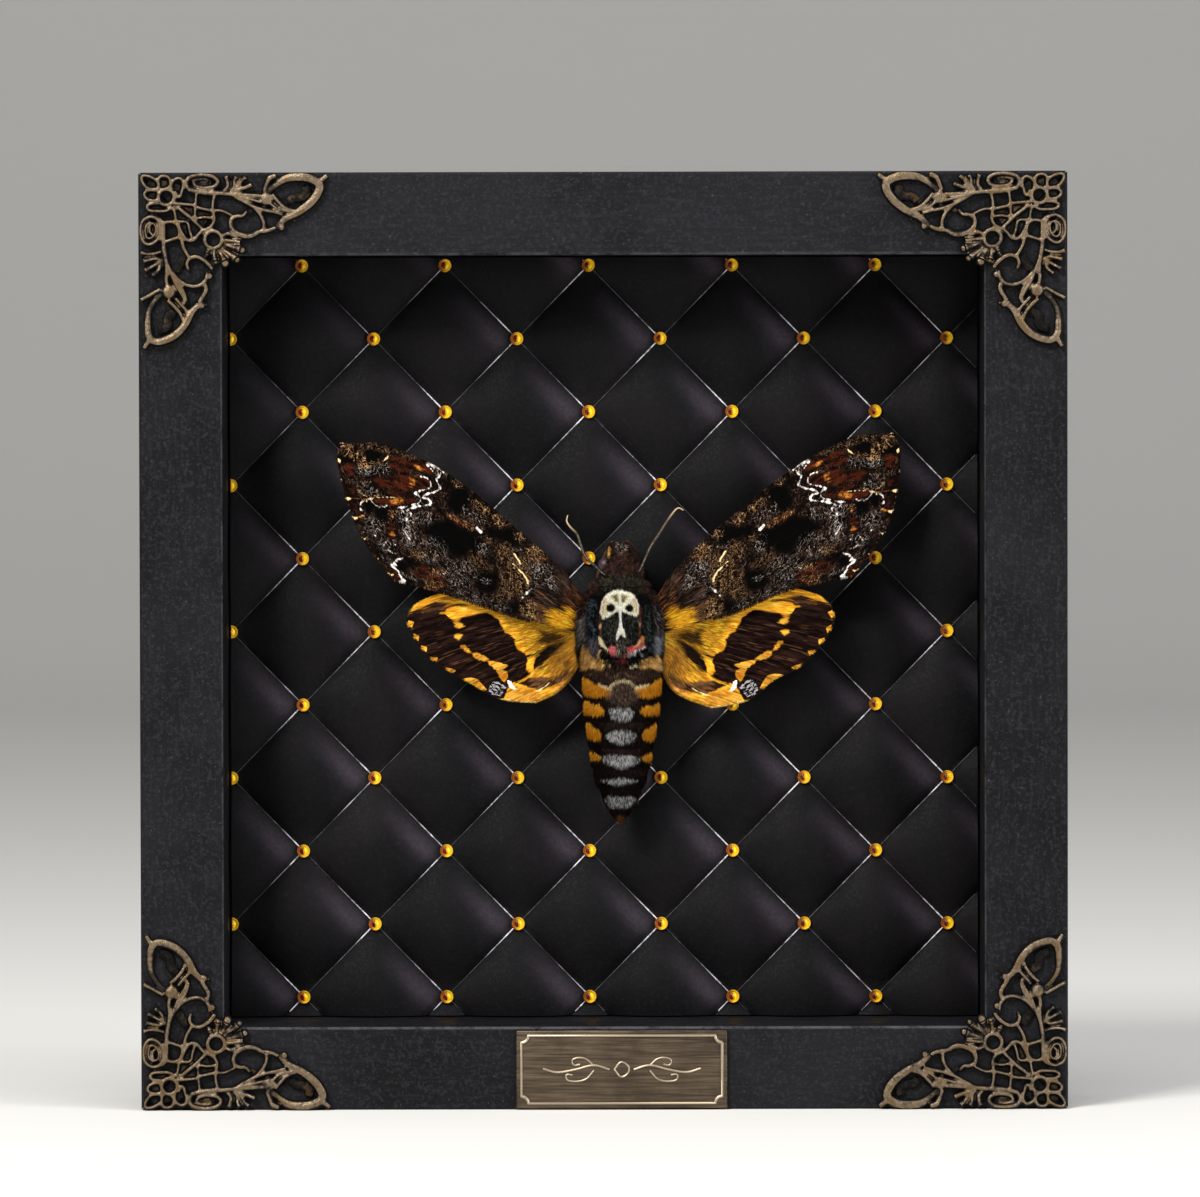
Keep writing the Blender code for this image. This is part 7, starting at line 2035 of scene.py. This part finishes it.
# Places of feelers and legs as (x, z, h) on the moth.
ANTENNA_POINTS = {
    "left": [(-2.2, 9.6, 16), (-3.4, 10.1, 17.9), (-5.2, 11.7, 17.4), (-7.5, 14, 16.6), (-8.5, 16.5, 16.2),
        (-9.3, 18.8, 16), (-10.8, 20.4, 15.8), (-11.5, 21.6, 15.6), (-11.3, 22.9, 15.5)],
    "right": [(3, 9.9, 16), (4.2, 10.8, 17.6), (5.4, 13.3, 17.2), (6.6, 15.9, 16.6), (8.5, 18.8, 16.2),
        (10, 21.2, 15.9), (11.2, 22.9, 15.7), (12.2, 24.1, 15.6), (12.9, 24.4, 15.5), (13.8, 23.9, 15.4)],
}
LEG_POINTS = {
    "fore": [(2.6, 5, 9.4), (4.6, 9, 6.6), (3.4, 13.4, 5.9), (1.6, 17, 5.4)],
    "mid": [(4.6, 0.5, 9.2), (7.6, -3, 6.2), (6.4, -10.5, 5.4), (4.6, -17, 5.1)],
    "hind": [(3, -4, 9.2), (4.3, -8, 6.1), (2.9, -16, 5.3), (1.6, -24, 5)],
}
LEG_RADII = (0.85, 0.8, 0.55, 0.3)


def antenna_horn():
    """Feelers: dark at the root, dull tan and paler towards the hooked tip."""
    f = Finish("antenna_horn", 0.55, Specular_IOR_Level=0.25)
    share = f.kept("along", "Fac")
    front = f.kept("front", "Fac")
    rings = f.noise(f.place(), 2600, 2.0, 0.5)
    base = f.ramp(share, 0.05, 0.75, "0c0907", "3a2f22")
    base = f.over(base, f.step(share, 0.72, 0.95), "bfa67c")
    line = f.times(f.step(front, 0.8, 1.0), f.step(rings, 0.42, 0.58, 0.0, 0.7))
    base = f.over(base, f.times(line, f.step(share, 0.0, 0.5, 1.0, 0.6)), "8f836e")
    f.bump(rings, 0.0001, 0.5)
    return f.finish(base)


def make_antennae():
    """The two feelers, faintly ringed."""
    finish = antenna_horn()
    for side, points in ANTENNA_POINTS.items():
        count = 110
        path = smooth_path([moth(*p) for p in points], count)
        share = np.linspace(0, 1, count)
        radii = 0.22 + 0.11 * np.sin(math.pi * share) - 0.11 * share**3
        radii *= 1 + 0.06 * np.where(np.arange(count) % 2 == 0, 1, -1)
        feeler = rod("feeler_" + side, path, radii * MM, 4)
        feeler.name = feeler.data.name = "feeler_" + side
        places = points_of(feeler)
        gaps = np.linalg.norm(places[:, None, :] - path[None, :, :], axis=2)
        near = gaps.argmin(1)
        mark(feeler, "along", near / (count - 1))
        mark(feeler, "front", (path[near, 1] - places[:, 1]) / (radii[near] * MM))
        soften(feeler, 60)
        show(feeler, finish, "horn", "antenna_" + side)


def eye_finish():
    """Dry compound eye: dull pinkish grey with fine facets."""
    f = Finish("eye_facets", 0.42, Specular_IOR_Level=0.3)
    place = f.place()
    facets = f.cells(place, 3600)
    cloud = f.noise(place, 700, 3.0, 0.6)
    base = f.ramp(cloud, 0.35, 0.65, "33242a", "6e5a62")
    base = f.over(base, f.step(facets, 0.25, 0.5, 0.0, 0.5), "2c2022")
    f.bump(facets, 0.00008, 0.6)
    return f.finish(base)


def make_eyes():
    """Two round eyes."""
    finish = eye_finish()
    for side, place in EYE_PLACES.items():
        bpy.ops.mesh.primitive_uv_sphere_add(segments=40, ring_count=24, radius=EYE_RADIUS,
            location=moth(*place))
        eye = settle(take_new("eye_ball_" + side))
        soften(eye, 60)
        show(eye, finish, "eye", "eye_" + side)


def horn():
    """Brown horn of the legs and the tongue."""
    f = Finish("horn", 0.45, Specular_IOR_Level=0.4)
    place = f.place()
    cloud = f.noise(place, 500, 4.0, 0.6)
    base = f.ramp(cloud, 0.35, 0.65, "2a1b11", "5e432c")
    f.bump(f.noise(place, 2200, 3.0, 0.6), 0.0001, 0.5)
    return f.finish(base)


def make_tongue_and_legs():
    """The coiled tongue under the face and six legs folded under the body."""
    finish = horn()
    path = [moth(0.0, 13.0, 10.7)]
    for k in range(61):
        share = k / 60
        angle = math.radians(75) + 2 * math.pi * 1.3 * share
        reach = 2.0 - 1.35 * share
        path.append(moth(0.0, 13.6 + reach * math.cos(angle), 7.3 + reach * math.sin(angle)))
    tongue = rod("tongue_coil", path, np.linspace(0.42, 0.28, len(path)) * MM, 4)
    tongue.name = tongue.data.name = "tongue_coil"
    soften(tongue, 50)
    show(tongue, finish, "horn", "tongue")
    for pair, points in LEG_POINTS.items():
        for side, sign in (("left", -1), ("right", 1)):
            path, radii = [], []
            corners = [np.array(moth(sign * x, z, h)) for x, z, h in points]
            for i, (start, end) in enumerate(zip(corners, corners[1:])):
                for share in np.linspace(0.0, 0.94, 12):
                    path.append(start + (end - start) * share)
                    swell = 0.78 + 0.22 * math.sin(math.pi * share)
                    radii.append(swell * (LEG_RADII[i] * (1 - share) + LEG_RADII[i + 1] * share))
            path.append(corners[-1])
            radii.append(LEG_RADII[-1] * 0.5)
            leg = rod("leg", path, np.array(radii) * MM, 3)
            leg.name = leg.data.name = f"folded_leg_{pair}_{side}"
            soften(leg, 50)
            show(leg, finish, "horn", f"leg_{pair}_{side}")


# Stage, light and camera

def make_stage():
    """A plain pale floor that sweeps up behind."""
    bpy.ops.mesh.primitive_plane_add(size=1.0)
    floor = take_new("floor")
    floor.scale = (9.0, 6.0, 1.0)
    floor.location = (0.0, 0.3, 0.0)
    settle(floor)
    bpy.ops.object.mode_set(mode="EDIT")
    bpy.ops.mesh.select_mode(type="EDGE")
    bpy.ops.mesh.select_all(action="DESELECT")
    bpy.ops.object.mode_set(mode="OBJECT")
    far = max(corner.co.y for corner in floor.data.vertices)
    for edge in floor.data.edges:
        edge.select = all(floor.data.vertices[i].co.y > far - 0.01 for i in edge.vertices)
    bpy.ops.object.mode_set(mode="EDIT")
    bpy.ops.mesh.extrude_edges_move(TRANSFORM_OT_translate={"value": (0, 0, 4.0)})
    bpy.ops.object.mode_set(mode="OBJECT")
    modify(floor, "BEVEL", width=1.2, segments=16, limit_method="ANGLE")
    soften(floor, 60)
    f = Finish("pale_floor", 0.9)
    tint = f.noise(f.place(), 3.0, 3.0, 0.6)
    floor.data.materials.append(f.finish(f.blend(tint, paint("d9d8d4"), paint("dedcd8"))))


def add_light(name, place, target, size, power, colour=(1.0, 1.0, 1.0)):
    """A soft square lamp."""
    bpy.ops.object.light_add(type="AREA", location=place)
    lamp = bpy.context.active_object
    lamp.name = name
    lamp.data.size = size
    lamp.data.energy = power
    lamp.data.color = colour
    lamp.rotation_euler = (Vector(target) - Vector(place)).to_track_quat("-Z", "Y").to_euler()


def make_lights():
    """Soft studio light, strongest from the upper left."""
    middle = (0, 0, BOX_MIDDLE)
    add_light("key", (-0.75, -1.25, 1.2), middle, 0.55, 34, (1.0, 0.98, 0.95))
    add_light("side", (1.2, -0.8, 0.5), middle, 0.5, 12, (0.97, 0.97, 1.0))
    add_light("top", (0.1, -0.5, 1.5), middle, 0.8, 10)
    world = bpy.data.worlds.new("studio")
    bpy.context.scene.world = world
    world.use_nodes = True
    world.node_tree.nodes["Background"].inputs[0].default_value = (0.95, 0.97, 1.0, 1.0)
    world.node_tree.nodes["Background"].inputs[1].default_value = 0.32
    bpy.context.scene.view_settings.view_transform = "Standard"


def make_camera():
    """The camera, nearly square to the box and a little above its middle."""
    bpy.ops.object.camera_add()
    camera = bpy.context.active_object
    camera.name = "camera"
    camera.data.lens = CAMERA_LENS
    camera.data.sensor_width = CAMERA_SENSOR
    camera.data.clip_end = 20.0
    ahead = Vector((
        math.sin(CAMERA_YAW) * math.cos(CAMERA_PITCH),
        math.cos(CAMERA_YAW) * math.cos(CAMERA_PITCH),
        math.sin(CAMERA_PITCH),
    ))
    level = Vector((math.cos(CAMERA_YAW), -math.sin(CAMERA_YAW), 0.0))
    above = level.cross(ahead)
    right = math.cos(CAMERA_ROLL) * level + math.sin(CAMERA_ROLL) * above
    up = -math.sin(CAMERA_ROLL) * level + math.cos(CAMERA_ROLL) * above
    turn = Matrix((right, up, -ahead)).transposed().to_4x4()
    camera.matrix_world = Matrix.Translation(CAMERA_PLACE) @ turn
    bpy.context.scene.camera = camera


def finish_frame_pieces():
    """Give the carried-over pieces of the frame their finishes."""
    finishes = {"rail_": black_wood(), "backboard": board(), "mount_pin": pin_steel()}
    for name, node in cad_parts.items():
        for start, finish in finishes.items():
            if name.startswith(start):
                node.data.materials.clear()
                node.data.materials.append(finish)


def main():
    """Make every piece, then the stage, light and camera."""
    deselect()
    rng = np.random.default_rng(7)
    finish_frame_pieces()
    make_pad()
    make_seams(rng)
    make_buttons()
    make_corners()
    make_plaque()
    make_wings()
    skin = make_skin()
    make_body_coat(skin, rng)
    make_wing_hair(rng)
    make_antennae()
    make_eyes()
    make_tongue_and_legs()
    make_stage()
    make_lights()
    make_camera()


main()
